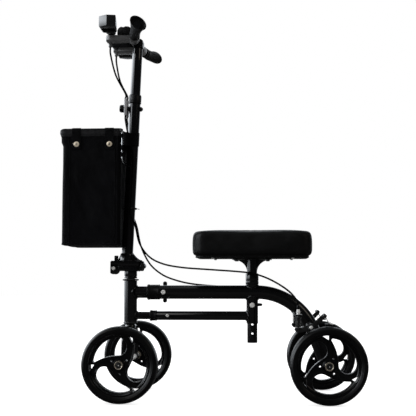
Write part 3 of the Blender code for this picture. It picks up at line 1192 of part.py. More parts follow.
def cable_route(side):
    """The route of one brake cable, from its lever's perch to its barrel adjuster."""
    outer = side * CABLE_SIDE_Y
    guide = guide_place()[0]
    near = side == NEAR
    route = [(CABLE_EXIT_X, side * CABLE_EXIT_Y, CABLE_EXIT_Z - GAP),
             (CABLE_EXIT_X + 0.001, side * (CABLE_EXIT_Y - 0.001), 0.950),
             (CABLE_EXIT_X + 0.014, side * 0.036, 0.895),
             (guide, guide_y(side), 0.846), (guide, guide_y(side), 0.834),
             (guide, guide_y(side), 0.784), (guide, guide_y(side), 0.772),
             (column_x(0.73) - 0.012, side * 0.0208, 0.730),
             (column_x(0.68) + 0.003, outer, 0.680), (column_x(0.64) + 0.006, outer, 0.640),
             (column_x(0.58) + 0.006, outer, 0.580),
             (column_x(CLIP_Z) + 0.006, outer, CLIP_Z + 0.016),
             (column_x(CLIP_Z) + 0.006, outer, CLIP_Z + 0.004),
             (column_x(CLIP_Z) + 0.006, outer, CLIP_Z - 0.004),
             (column_x(CLIP_Z) + 0.006, outer, CLIP_Z - 0.016)]
    if near:
        route += [(FRONT_X + 0.017, outer, 0.470), (FRONT_X + 0.029, outer, 0.422),
                  (FRONT_X + 0.056, side * 0.025, 0.385), (FRONT_X + 0.095, side * 0.028, 0.3645),
                  (FRONT_X + 0.150, side * 0.028, 0.3540), (FRONT_X + 0.230, side * 0.027, 0.3480),
                  (FRONT_X + 0.300, side * 0.026, 0.3430), (FRONT_X + 0.345, side * 0.0265, 0.3375),
                  (FRONT_X + 0.385, side * 0.036, 0.3240), (FRONT_X + 0.420, side * 0.064, 0.3050),
                  (FRONT_X + 0.445, side * 0.098, 0.2860)]
    else:
        route += [(FRONT_X + 0.015, outer, 0.470), (FRONT_X + 0.027, outer, 0.416),
                  (FRONT_X + 0.052, side * 0.024, 0.366), (FRONT_X + 0.086, side * 0.0265, 0.336),
                  (FRONT_X + 0.125, side * 0.0265, 0.3195),
                  (FRONT_X + 0.175, side * 0.0240, 0.3085),
                  (FRONT_X + 0.250, side * 0.0235, 0.3020), (FRONT_X + 0.330, side * 0.0245, 0.2985),
                  (FRONT_X + 0.372, side * 0.034, 0.2960), (FRONT_X + 0.410, side * 0.062, 0.2900),
                  (FRONT_X + 0.442, side * 0.098, 0.2790)]
    end_z = BARREL_TOP + GAP
    return route + [(BARREL_X - 0.003, side * (BRAKE_Y - 0.004), end_z + 0.022),
                    (BARREL_X, side * BRAKE_Y, end_z + 0.006), (BARREL_X, side * BRAKE_Y, end_z)]


def build_cables(carrier, finish):
    """One sheathed cable from each lever to its rear brake."""
    for side, sign in SIDES.items():
        line = smooth_route(cable_route(sign), CABLE_STEP)
        place("brake_cable_" + side, swept("brake_cable", line, CABLE_RADIUS, 2),
              finish["rubber"], carrier, (0, 0, 0))


def main():
    clear_scene()
    finish = {
        "black": paint("black_paint", (0.012, 0.012, 0.013), 0.22),
        "plastic": paint("black_plastic", (0.016, 0.016, 0.017), 0.42),
        "rubber": paint("black_rubber", (0.014, 0.014, 0.014), 0.55),
        "vinyl": paint("black_vinyl", (0.015, 0.015, 0.015), 0.48),
        "fabric": paint("black_fabric", (0.018, 0.019, 0.024), 0.80),
        "zinc": paint("zinc_plate", (0.62, 0.62, 0.60), 0.30, 1.0),
        "steel": paint("dark_steel", (0.05, 0.05, 0.05), 0.35, 1.0),
        "board": paint("seat_board_plastic", (0.02, 0.02, 0.02), 0.60),
    }
    base = pivot("frame", (0, 0, 0))
    steerer = pivot("steerer", (HEAD_X, 0, 0))
    column = pivot("column", (FOLD_PIN_X, 0, FOLD_Z))
    handlebar = pivot("handlebar_slide", on_column(INNER_TOP))
    seat = pivot("seat", (SEAT_X, 0, SEAT_PLATE_Z))
    hubs = {
        "front_left": (FRONT_X, NEAR), "front_right": (FRONT_X, FAR),
        "rear_left": (REAR_X, NEAR), "rear_right": (REAR_X, FAR),
    }
    wheels = {corner: pivot(corner + "_wheel", (x, side * WHEEL_TRACK / 2, WHEEL_RADIUS))
              for corner, (x, side) in hubs.items()}
    rockers = {side: pivot("rocker_" + side, (BRAKE_PIVOT_X, sign * BRAKE_Y, BRAKE_PIVOT_Z))
               for side, sign in SIDES.items()}
    levers = {side: pivot("lever_" + side, (LEVER_PIVOT_X, sign * LEVER_PIVOT_Y, PERCH_HIGH))
              for side, sign in SIDES.items()}
    handles = {
        "joint_handle": pivot("joint_handle", (JOINT_BOLT_X, MAIN_RADIUS, MAIN_Z)),
        "fold_lever": pivot("fold_lever_pivot", (
            LOCK_BOLT_X, BLOCK_HALF_WIDTH + FOLD_CAM_RADIUS + GAP, LOCK_BOLT_Z)),
        "seat_lever": pivot("seat_lever_pivot", (SEAT_X, POST_RADIUS, SEAT_BOLT_Z)),
        "column_knob": pivot("column_knob_pivot", on_column(KNOB_Z)),
    }
    build_frame(base, finish)
    build_wheels(wheels, finish)
    build_brakes(base, rockers, finish)
    build_steerer(steerer, finish)
    build_column(column, finish)
    build_handlebar(handlebar, finish)
    for side, sign in SIDES.items():
        build_lever(side, sign, levers[side], finish)
    build_seat(seat, finish)
    build_handles(handles, finish)
    build_cables(column, finish)


main()
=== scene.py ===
"""Looks of a steerable knee walker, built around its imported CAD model.

The walker stands at rest with its front towards -X and its left hand side towards the
camera. Every length is in metres and in the frame of the CAD model.
"""

import json
import logging
import math
from collections.abc import Callable, Sequence
from dataclasses import dataclass, field
from enum import Enum

import bpy
from mathutils import Matrix, Quaternion, Vector, noise

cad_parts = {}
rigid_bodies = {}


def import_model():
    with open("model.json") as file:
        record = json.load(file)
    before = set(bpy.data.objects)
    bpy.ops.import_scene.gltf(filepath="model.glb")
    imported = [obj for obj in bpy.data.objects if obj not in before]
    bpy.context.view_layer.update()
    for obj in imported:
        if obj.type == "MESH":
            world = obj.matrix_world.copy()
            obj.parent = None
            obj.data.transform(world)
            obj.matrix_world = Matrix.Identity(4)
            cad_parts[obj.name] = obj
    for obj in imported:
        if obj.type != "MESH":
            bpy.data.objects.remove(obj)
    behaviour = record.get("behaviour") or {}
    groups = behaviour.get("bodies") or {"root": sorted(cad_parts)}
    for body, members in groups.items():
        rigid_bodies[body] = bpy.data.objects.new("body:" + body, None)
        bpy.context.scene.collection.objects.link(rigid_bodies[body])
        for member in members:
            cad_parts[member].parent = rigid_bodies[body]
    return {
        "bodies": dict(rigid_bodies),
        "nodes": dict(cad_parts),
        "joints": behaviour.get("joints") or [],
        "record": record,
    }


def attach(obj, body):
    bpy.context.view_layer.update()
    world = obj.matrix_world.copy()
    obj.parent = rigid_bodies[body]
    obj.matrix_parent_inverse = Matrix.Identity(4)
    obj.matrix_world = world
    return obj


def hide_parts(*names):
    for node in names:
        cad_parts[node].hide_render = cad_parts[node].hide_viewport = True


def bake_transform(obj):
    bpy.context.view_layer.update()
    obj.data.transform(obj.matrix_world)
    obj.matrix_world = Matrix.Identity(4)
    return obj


LOG = logging.getLogger("knee_walker")

Point = tuple[float, float, float]
Flat = tuple[float, float]
Colour = tuple[float, float, float]
Piece = bpy.types.Object
Tree = bpy.types.NodeTree
Socket = bpy.types.NodeSocket

EPSILON = 1e-09
MERGE_DISTANCE = 1e-06
WASHER_HEIGHT = 0.0009
WHITE = 1.0, 1.0, 1.0
COOL_WHITE = 0.9, 0.95, 1.0
UPRIGHT = Vector((0, 0, 1))
PLAIN_TURN = Quaternion()
ALONG_X = UPRIGHT.rotation_difference(Vector((1, 0, 0)))
ALONG_Y = UPRIGHT.rotation_difference(Vector((0, 1, 0)))


class Side(Enum):
    """The walker's two sides, each with the sign of its Y."""

    LEFT = -1
    RIGHT = 1

    @property
    def word(self) -> str:
        """The side's name as CAD nodes end with it."""
        return self.name.lower()

    @property
    def outward(self) -> Quaternion:
        """The turn from upright to this side's outward direction."""
        return UPRIGHT.rotation_difference(Vector((0, self.value, 0)))

    def span(self, inner: float, outer: float) -> list[float]:
        """Two distances from the middle as places on this side, the lower one first."""
        return sorted((self.value * inner, self.value * outer))


class Body(Enum):
    """The CAD bodies that pieces ride on."""

    FRAME = "frame"
    STEERER = "steerer"
    COLUMN = "column"
    HANDLEBAR = "handlebar_group"
    SEAT = "seat"
    SEAT_LEVER = "seat_clamp_lever"
    JOINT_HANDLE = "joint_handle"
    FOLD_LEVER = "fold_cam_lever"
    KNOB = "clamp_knob"
    LEFT_LEVER = "left_brake_lever"
    RIGHT_LEVER = "right_brake_lever"
    LEFT_ROCKER = "left_rocker"
    RIGHT_ROCKER = "right_rocker"
    FRONT_LEFT_WHEEL = "front_left_wheel"
    FRONT_RIGHT_WHEEL = "front_right_wheel"
    REAR_LEFT_WHEEL = "rear_left_wheel"
    REAR_RIGHT_WHEEL = "rear_right_wheel"


class Slot(Enum):
    """The record's material slots."""

    PAINT = "black_paint"
    PLASTIC = "black_plastic"
    GRIP = "grip_rubber"
    TYRE = "tyre_rubber"
    VINYL = "cushion_vinyl"
    FABRIC = "bag_fabric"
    ZINC = "zinc_plate"
    STEEL = "dark_steel"
    BOARD = "board_plastic"


@dataclass(frozen=True)
class Layout:
    """Places that several sub-assemblies share, as in the CAD model."""

    front_x: float = -0.23385
    rear_x: float = 0.30615
    head_x: float = -0.23185
    seat_x: float = 0.10815
    wheel_radius: float = 0.1
    track_half: float = 0.165
    main_z: float = 0.286
    main_radius: float = 0.019
    lower_z: float = 0.221
    lower_radius: float = 0.0125
    fold_pin_x: float = -0.19785
    fold_z: float = 0.359
    lock_bolt_x: float = -0.27785
    lock_bolt_z: float = 0.352
    lean: float = math.radians(2.45)
    column_foot_x: float = -0.24335
    column_radius: float = 0.016

    def column_x(self, height: float) -> float:
        """The column axis's X at a height."""
        return self.column_foot_x + (height - self.fold_z) * math.tan(self.lean)

    def on_column(self, height: float) -> Vector:
        """The column axis's point at a height."""
        return Vector((self.column_x(height), 0.0, height))

    def length(self, low: float, high: float) -> float:
        """The length along the column's axis between two heights."""
        return (high - low) / math.cos(self.lean)

    @property
    def column_turn(self) -> Quaternion:
        """The turn from upright to the column's lean."""
        return Quaternion((0, 1, 0), self.lean)


LAYOUT = Layout()


class Bench:
    """A modelling bench that shapes pieces with Blender's own operators."""

    @staticmethod
    def clear() -> None:
        """Leave edit mode and deselect everything."""
        if bpy.context.object and bpy.context.object.mode != "OBJECT":
            bpy.ops.object.mode_set(mode="OBJECT")
        bpy.ops.object.select_all(action="DESELECT")

    @staticmethod
    def take(*pieces: Piece) -> None:
        """Select only these pieces, the first one active.

        Args:
            pieces: The pieces to select.
        """
        Bench.clear()
        for piece in pieces:
            piece.select_set(True)
        bpy.context.view_layer.objects.active = pieces[0]

    @staticmethod
    def named(name: str) -> Piece:
        """The piece that an operator has just made, under its name.

        Args:
            name: The piece's name.

        Returns:
            The piece.
        """
        made = bpy.context.object
        made.name = name
        return made

    @staticmethod
    def circle(name: str, count: int, radius: float = 1.0, filled: bool = True) -> Piece:
        """A flat ring of corners, the start of most pieces.

        Args:
            name: The piece's name.
            count: How many points it gets.
            radius: The radius.
            filled: False for a ring without a face.

        Returns:
            The ring.
        """
        Bench.clear()
        bpy.ops.mesh.primitive_circle_add(vertices=count, radius=radius, fill_type="NGON" if filled
            else "NOTHING")
        return Bench.named(name)

    @staticmethod
    def modify(piece: Piece, kind: str, **settings: object) -> None:
        """Add a modifier to the piece in hand and apply it.

        Args:
            piece: The piece, already taken.
            kind: The modifier's type.
            settings: The modifier's own settings.
        """
        bpy.ops.object.modifier_add(type=kind)
        step = piece.modifiers[-1]
        for name, setting in settings.items():
            setattr(step, name, setting)
        bpy.ops.object.modifier_apply(modifier=step.name)

    @staticmethod
    def smooth(piece: Piece, angle: float) -> Piece:
        """Shade the piece in hand smooth up to an angle in degrees."""
        bpy.ops.object.shade_smooth_by_angle(angle=math.radians(angle))
        return piece

    @staticmethod
    def face_outwards(piece: Piece) -> None:
        """Turn all faces of a piece outwards.

        Args:
            piece: The piece.
        """
        Bench.edit(piece)
        bpy.ops.mesh.normals_make_consistent(inside=False)
        bpy.ops.object.mode_set(mode="OBJECT")

    @staticmethod
    def edit(piece: Piece) -> None:
        """Open a piece in edit mode with all of it selected.

        Args:
            piece: The piece.
        """
        Bench.take(piece)
        bpy.ops.object.mode_set(mode="EDIT")
        bpy.ops.mesh.select_all(action="SELECT")

    @staticmethod
    def close(outwards: bool = True) -> None:
        """Merge doubles, turn the faces outwards where asked and leave edit mode.

        Args:
            outwards: True to turn the faces outwards too.
        """
        bpy.ops.mesh.select_all(action="SELECT")
        bpy.ops.mesh.remove_doubles(threshold=MERGE_DISTANCE)
        if outwards:
            bpy.ops.mesh.normals_make_consistent(inside=False)
        bpy.ops.object.mode_set(mode="OBJECT")

    @staticmethod
    def settle(piece: Piece, at: Sequence[float] = (0, 0, 0),
            turn: Quaternion = PLAIN_TURN) -> Piece:
        """Put a piece in its place and bake the place into its mesh.

        Args:
            piece: The piece, made about the origin.
            at: Where its origin goes.
            turn: How it is turned first.

        Returns:
            The piece, its object at the origin and unturned.
        """
        Bench.take(piece)
        piece.rotation_mode = "QUATERNION"
        piece.rotation_quaternion = turn
        piece.location = at
        bpy.ops.object.transform_apply(location=True, rotation=True, scale=True)
        piece.rotation_mode = "XYZ"
        return piece

    @staticmethod
    def soften(piece: Piece, width: float, segments: int = 2, angle: float = 30.0,
            smooth: float = 40.0) -> Piece:
        """Round a piece's sharp edges and shade it smooth.

        Args:
            piece: The piece.
            width: The bevel's width, or 0 for none.
            segments: The bevel's steps.
            angle: The least angle that is bevelled, in degrees.
            smooth: The angle up to which faces shade as one, in degrees.

        Returns:
            The piece.
        """
        Bench.take(piece)
        if width > 0:
            Bench.modify(piece, "BEVEL", width=width, segments=segments, limit_method="ANGLE",
                angle_limit=math.radians(angle), harden_normals=False)
        return Bench.smooth(piece, smooth)

    @staticmethod
    def lathe(name: str, profile: Sequence[Flat], segments: int = 48, hollow: bool = False,
            bevel: float = 0.0, smooth: float = 35.0, at: Sequence[float] | None = None,
            turn: Quaternion = PLAIN_TURN) -> Piece:
        """Raise a turned piece about Z, ring by ring.

        Args:
            name: The piece's name.
            profile: (radius, height) of each ring, every radius above 0.
            segments: The sides of each ring.
            hollow: True where the profile closes on itself, as a tube's does.
            bevel: The width of the rounding on sharp edges.
            smooth: The angle up to which faces shade as one, in degrees.
            at: Where its origin goes, or None to leave it about the origin.
            turn: How it is turned before it goes there.

        Returns:
            The piece.
        """
        radius, height = profile[0]
        piece = Bench.circle(name, segments, radius, not hollow)
        Bench.edit(piece)
        bpy.ops.transform.translate(value=(0, 0, height))
        for (radius, height), (wider, higher) in zip(profile, profile[1:]):
            rise = {"value": (0, 0, higher - height)}
            if hollow:
                bpy.ops.mesh.extrude_edges_move(TRANSFORM_OT_translate=rise)
            else:
                bpy.ops.mesh.extrude_region_move(TRANSFORM_OT_translate=rise)
            grow = wider / radius
            bpy.ops.transform.resize(value=(grow, grow, 1), center_override=(0, 0, higher))
        if hollow:
            bpy.ops.mesh.select_all(action="DESELECT")
            bpy.ops.mesh.select_non_manifold()
            bpy.ops.mesh.bridge_edge_loops()
        Bench.close()
        Bench.soften(piece, bevel, smooth=smooth)
        return piece if at is None else Bench.settle(piece, at, turn)

    @staticmethod
    def plate(name: str, outline: Sequence[Flat], low: float, high: float, normal: str = "Y",
            bevel: float = 0.0008, segments: int = 2) -> Piece:
        """Cut a plate to an outline and extrude it to its thickness.

        Args:
            name: The piece's name.
            outline: (x, z) for a Y normal, (x, y) for a Z normal, (y, z) for an X normal.
            low: The lower face's place along the normal.
            high: The upper face's place along the normal.
            normal: The axis that the plate faces.
            bevel: The width of the rounding on its edges.
            segments: The rounding's steps.

        Returns:
            The plate, where its outline says.
        """
        lay: Callable[[float, float, float], Point] = {"X": lambda u, v, w: (w, u, v),
            "Y": lambda u, v, w: (u, w, v), "Z": lambda u, v, w: (u, v, w)}[normal]
        piece = Bench.circle(name, len(outline))
        for corner, (u, v) in zip(piece.data.vertices, outline):
            corner.co = lay(u, v, low)
        Bench.edit(piece)
        bpy.ops.mesh.extrude_region_move(TRANSFORM_OT_translate={"value": lay(0, 0, high - low)})
        Bench.close()
        return Bench.soften(piece, bevel, segments)

    @staticmethod
    def block(name: str, low: Sequence[float], high: Sequence[float], bevel: float = 0.001,
            segments: int = 3) -> Piece:
        """A box between two corners with rounded edges.

        Args:
            name: The piece's name.
            low: Its lowest corner.
            high: Its highest corner.
            bevel: The width of the rounding on its edges.
            segments: The rounding's steps.

        Returns:
            The box, where its corners say.
        """
        centre = [(a + b) / 2 for a, b in zip(low, high)]
        Bench.clear()
        bpy.ops.mesh.primitive_cube_add(size=1, location=centre, scale=[b - a for a,
            b in zip(low, high)])
        piece = Bench.named(name)
        bpy.ops.object.transform_apply(location=True, rotation=True, scale=True)
        return Bench.soften(piece, bevel, segments)

    @staticmethod
    def loft(name: str, rings: Sequence[Sequence[Sequence[float]]]) -> Piece:
        """A closed piece through rings of points, its two ends filled.

        Args:
            name: The piece's name.
            rings: The rings in order, every one with as many points.

        Returns:
            The piece, where its rings are.
        """
        piece = Bench.circle(name, len(rings[0]))
        places = {(round(c.co.x, 4), round(c.co.y, 4)): c.index for c in piece.data.vertices}
        Bench.edit(piece)
        for _ in rings[1:]:
            bpy.ops.mesh.extrude_region_move(TRANSFORM_OT_translate={"value": (0, 0, 1)})
        bpy.ops.object.mode_set(mode="OBJECT")
        for corner in piece.data.vertices:
            index = places[round(corner.co.x, 4), round(corner.co.y, 4)]
            corner.co = rings[round(corner.co.z)][index]
        Bench.edit(piece)
        Bench.close()
        return piece

    @staticmethod
    def sweep(name: str, line: Sequence[Sequence[float]], radius: float, sides: int = 16,
            closed: bool = False, swell: Callable[[int], float] | None = None,
            smooth: float = 60.0) -> Piece:
        """Draw a round wire or tube along a line.

        Args:
            name: The piece's name.
            line: The points of its middle.
            radius: Its radius.
            sides: About how many sides it is round with.
            closed: True where the line joins up with its start.
            swell: The share of the radius at each point, or None for an even one.
            smooth: The angle up to which faces shade as one, in degrees.

        Returns:
            The wire as a closed mesh.
        """
        curve = bpy.data.curves.new(name, "CURVE")
        curve.dimensions = "3D"
        curve.bevel_depth = radius
        curve.bevel_resolution = max(1, sides // 4 - 1)
        curve.use_fill_caps = not closed
        spline = curve.splines.new("POLY")
        spline.points.add(len(line) - 1)
        spline.use_cyclic_u = closed
        for index, (knot, point) in enumerate(zip(spline.points, line)):
            knot.co = (*point, 1.0)
            knot.radius = swell(index) if swell else 1.0
        piece = bpy.data.objects.new(name, curve)
        bpy.context.scene.collection.objects.link(piece)
        Bench.take(piece)
        bpy.ops.object.convert(target="MESH")
        piece = bpy.context.object
        Bench.edit(piece)
        Bench.close()
        return Bench.soften(piece, 0.0, smooth=smooth)

    @staticmethod
    def carve(target: Piece, *cutters: Piece) -> Piece:
        """Cut other pieces out of a piece and drop them.

        Args:
            target: The piece that stays.
            cutters: The pieces that are used up.

        Returns:
            The piece that stays.
        """
        for cutter in cutters:
            Bench.take(target)
            Bench.modify(target, "BOOLEAN", operation="DIFFERENCE", solver="EXACT", object=cutter)
            bpy.data.objects.remove(cutter)
        return target

    @staticmethod
    def group(name: str, *pieces: Piece) -> Piece:
        """Join pieces of one material into one object.

        Args:
            name: The object's name.
            pieces: The pieces, each of which stays a closed shell of its own.

        Returns:
            The object.
        """
        Bench.take(*pieces)
        if len(pieces) > 1:
            bpy.ops.object.join()
        return Bench.named(name)

    @staticmethod
    def twin(piece: Piece, name: str) -> Piece:
        """A copy of a piece with a mesh of its own.

        Args:
            piece: The piece.
            name: The piece's name.

        Returns:
            The copy.
        """
        Bench.take(piece)
        bpy.ops.object.duplicate(linked=False)
        return Bench.named(name)


def mm(*numbers: float, x: float = 0.0, y: float = 0.0) -> list[Flat]:
    """Flat points from pairs of millimetres, moved by x and y metres."""
    return [(x + u / 1000, y + v / 1000) for u, v in zip(numbers[::2], numbers[1::2])]


def round_points(centre: Sequence[float], radius: float, count: int) -> list[Point]:
    """The points of a level circle round a place.

    Args:
        centre: The circle's centre.
        radius: The radius.
        count: The number of points.

    Returns:
        The circle's points.
    """
    x, y, z = centre
    return [(x + radius * math.cos(a), y + radius * math.sin(a), z) for a in (math.tau * i / count
        for i in range(count))]


def corner_curve(start: Vector, corner: Vector, end: Vector, count: int) -> list[Vector]:
    """The points of a curve that leaves its start and reaches its end as a corner would.

    Args:
        start: Where it starts.
        corner: The corner that it rounds off.
        end: Where it ends.
        count: The number of steps.

    Returns:
        count + 1 points.
    """
    return [start * (1 - t) ** 2 + corner * 2 * t * (1 - t) + end * t * t for t in (i / count
        for i in range(count + 1))]


def arc(centre: Flat, radius: float, start: float, end: float, count: int) -> list[Flat]:
    """Points on an arc between two angles.

    Args:
        centre: The arc's centre.
        radius: Its radius.
        start: The first angle in degrees.
        end: The last angle in degrees.
        count: The number of steps between them.

    Returns:
        count + 1 points.
    """
    turns = [math.radians(start + (end - start) * i / count) for i in range(count + 1)]
    return [(centre[0] + radius * math.cos(a), centre[1] + radius * math.sin(a)) for a in turns]


def rounded_box(low: Flat, high: Flat, radius: float, count: int = 5) -> list[Flat]:
    """The outline of a rectangle with round corners.

    Args:
        low: The rectangle's lowest corner.
        high: Its highest corner.
        radius: The radius of its corners.
        count: The steps of each corner.

    Returns:
        The outline's points.
    """
    outline: list[Flat] = []
    for x, z, start in ((high[0], high[1], 0), (low[0], high[1], 90), (low[0], low[1], 180),
            (high[0], low[1], 270)):
        centre = (x - math.copysign(radius, x - (low[0] + high[0]) / 2), z - math.copysign(radius,
            z - (low[1] + high[1]) / 2))
        outline += arc(centre, radius, start, start + 90, count)
    return outline


def turned_flat(outline: Sequence[Flat], turn: float) -> list[Flat]:
    """An outline turned about the origin by an angle in radians."""
    c, s = math.cos(turn), math.sin(turn)
    return [(x * c - y * s, x * s + y * c) for x, y in outline]


def outset(outline: Sequence[Flat], distance: float) -> list[Flat]:
    """An outline moved outwards along its own normals.

    Args:
        outline: The closed outline.
        distance: How far, inwards where it is below 0.

    Returns:
        The moved outline.
    """
    if not distance:
        return list(outline)
    points = [Vector(p) for p in outline]
    area = sum((p.x * q.y - q.x * p.y for p, q in zip(points, points[1:] + points[:1])))
    made = []
    for before, point, after in zip(points[-1:] + points[:-1], points, points[1:] + points[:1]):
        along = ((point - before).normalized() + (after - point).normalized()).normalized()
        out = Vector((along.y, -along.x)) * math.copysign(distance, area)
        made.append((point.x + out.x, point.y + out.y))
    return made


def round_corners(outline: Sequence[Flat], cut: float, count: int = 4) -> list[Flat]:
    """An outline with each corner rounded.

    Args:
        outline: The closed outline's corners.
        cut: How far from each corner its rounding starts.
        count: The steps of each rounding.

    Returns:
        The rounded outline.
    """
    points = [Vector(p) for p in outline]
    made = []
    for before, point, after in zip(points[-1:] + points[:-1], points, points[1:] + points[:1]):
        start, end = (point + way.normalized() * min(cut, way.length / 2.1)
            for way in (before - point, after - point))
        made += [(p.x, p.y) for p in corner_curve(start, point, end, count)]
    return made


def smooth_line(points: Sequence[Sequence[float]], step: float) -> list[Vector]:
    """A smooth line through points of its own.

    Args:
        points: The points that it passes through.
        step: About how far apart its points are.

    Returns:
        The line's points, its own ones among them.
    """
    path = [Vector(p) for p in points]
    path = [path[0] * 2 - path[1], *path, path[-1] * 2 - path[-2]]
    line: list[Vector] = []
    for before, start, end, after in zip(path, path[1:], path[2:], path[3:]):
        count = max(1, round((end - start).length / step))
        for i in range(count):
            t = i / count
            line.append(0.5 * (2 * start + (end - before) * t + (2 * before - 5 * start + 4 * end
                - after) * t * t + (3 * start - before - 3 * end + after) * t ** 3))
    return [*line, path[-2]]


class Hardware:
    """Fasteners that several sub-assemblies use."""

    @staticmethod
    def hex_head(radius: float, height: float, socket: float = 0.0) -> Piece:
        """A hexagon head about Z with a chamfered top.

        Args:
            radius: Its radius over the corners.
            height: Its height.
            socket: The radius of a socket in it, or 0 for none.

        Returns:
            The head, standing on the origin.
        """
        half = radius * math.cos(math.pi / 6)
        head = Bench.lathe("hex_head", [(radius, 0), (radius, height)], 6, bevel=0.0)
        Bench.carve(head, Bench.lathe("chamfer", [(radius * 1.02, -0.001),
            (radius * 1.02, height * 0.7), (half * 0.96, height), (half * 0.96, height + 0.001),
            (radius * 2, height + 0.001), (radius * 2, -0.001)], 36, hollow=True))
        if socket:
            Bench.carve(head, Bench.lathe("socket", [(socket, height * 0.4), (socket, height * 2)],
                6))
        return Bench.soften(head, 0.00025, 1, smooth=30)

    @staticmethod
    def bolt(name: str, head_at: Sequence[float], outward: Sequence[float], radius: float,
            height: float, length: float, shank: float = 0.003, socket: float = 0.0) -> Piece:
        """A bolt with a washer under its head.

        Args:
            name: The piece's name.
            head_at: The middle of the face that the washer sits on.
            outward: The direction from that face out through the head.
            radius: The head's corner radius.
            height: The head's height.
            length: The shank's length below the washer.
            shank: The shank's radius.
            socket: The radius of a socket in the head, or 0.

        Returns:
            The bolt in its place.
        """
        washer = Bench.lathe("washer", [(radius * 1.12, 0), (radius * 1.12, WASHER_HEIGHT)], 36,
            bevel=0.0002)
        head = Bench.settle(Hardware.hex_head(radius, height, socket), (0, 0, WASHER_HEIGHT))
        stem = Bench.lathe("shank", [(shank, -length), (shank, 0.0004)], 20)
        return Bench.settle(Bench.group(name, head, washer, stem), head_at,
            UPRIGHT.rotation_difference(Vector(outward)))

    @staticmethod
    def weld(name: str, line: Sequence[Sequence[float]], radius: float = 0.0018,
            closed: bool = True) -> Piece:
        """A rippled weld bead along a seam."""
        return Bench.sweep(name, line, radius, 8, closed, lambda i: 1.0 + 0.13 * math.sin(i * 2.1)
            + 0.05 * math.sin(i * 0.73))

    @staticmethod
    def saddle(centre: Sequence[float], along: Vector, radius: float, onto: Vector,
            onto_radius: float, count: int = 72) -> list[Vector]:
        """The seam where a round tube meets the side of another at right angles.

        Args:
            centre: Where the two axes meet.
            along: The direction of the tube that ends, away from the other.
            radius: Its radius.
            onto: The direction of the tube that runs through.
            onto_radius: The radius of that tube.
            count: The number of points.

        Returns:
            The closed seam's points.
        """
        along, onto = along.normalized(), onto.normalized()
        across = along.cross(onto).normalized()
        line = []
        for i in range(count):
            turn = math.tau * i / count
            off = radius * math.cos(turn)
            reach = math.sqrt(max(0.0, onto_radius ** 2 - off ** 2))
            line.append(Vector(centre) + across * off + onto * radius * math.sin(turn) + along
                * reach)
        return line


class Pattern(Enum):
    """The surface patterns that a finish can have."""

    ORANGE_PEEL = "orange_peel"
    MOULDED = "moulded"
    PEBBLED = "pebbled"
    WOVEN = "woven"
    RIBBED_WEB = "ribbed_web"
    BRUSHED = "brushed"


@dataclass(frozen=True)
class Wiring:
    """A node tree with short ways to add nodes and to feed their inputs."""

    tree: Tree

    def feed(self, node: bpy.types.Node, feeds: dict[str | int, object]) -> bpy.types.Node:
        """Link or set a node's inputs.

        Args:
            node: The node.
            feeds: For each input, by its name or number, a socket or a value.

        Returns:
            The node.
        """
        for place, value in feeds.items():
            if isinstance(value, bpy.types.NodeSocket):
                self.tree.links.new(value, node.inputs[place])
            else:
                node.inputs[place].default_value = value
        return node

    def add(self, kind: str, feeds: dict[str | int, object] | None = None,
            **settings: object) -> bpy.types.Node:
        """Add a shader node.

        Args:
            kind: Its type, without the word ShaderNode.
            feeds: What its inputs get.
            settings: Its own settings.

        Returns:
            The node.
        """
        node = self.tree.nodes.new("ShaderNode" + kind)
        for name, setting in settings.items():
            setattr(node, name, setting)
        return self.feed(node, feeds or {})

    def group(self, group: Tree, place: Socket, **feeds: object) -> Socket:
        """The output of a group that is placed in the tree with its own values."""
        return self.add("Group", {"Vector": place, **feeds}, node_tree=group).outputs[0]

    def maths(self, operation: str, *values: object) -> Socket:
        """A Math node's output from sockets or numbers in order."""
        return self.add("Math", dict(enumerate(values)), operation=operation).outputs[0]

    def noise(self, vector: Socket, scale: object, detail: float,
            roughness: float = 0.5) -> Socket:
        """A Noise node's value."""
        return self.add("TexNoise", {"Vector": vector, "Scale": scale, "Detail": detail,
            "Roughness": roughness}).outputs["Fac"]

    def spread(self, value: Socket, source: Sequence[object], goal: Sequence[object],
            **settings: object) -> Socket:
        """A value's range spread over another one.

        Args:
            value: The value.
            source: The range that it comes from.
            goal: The place.
            settings: The node's own settings.

        Returns:
            The spread value.
        """
        labels = "Value", "From Min", "From Max", "To Min", "To Max"
        return self.add("MapRange", dict(zip(labels, (value, *source, *goal))),
            **settings).outputs["Result"]


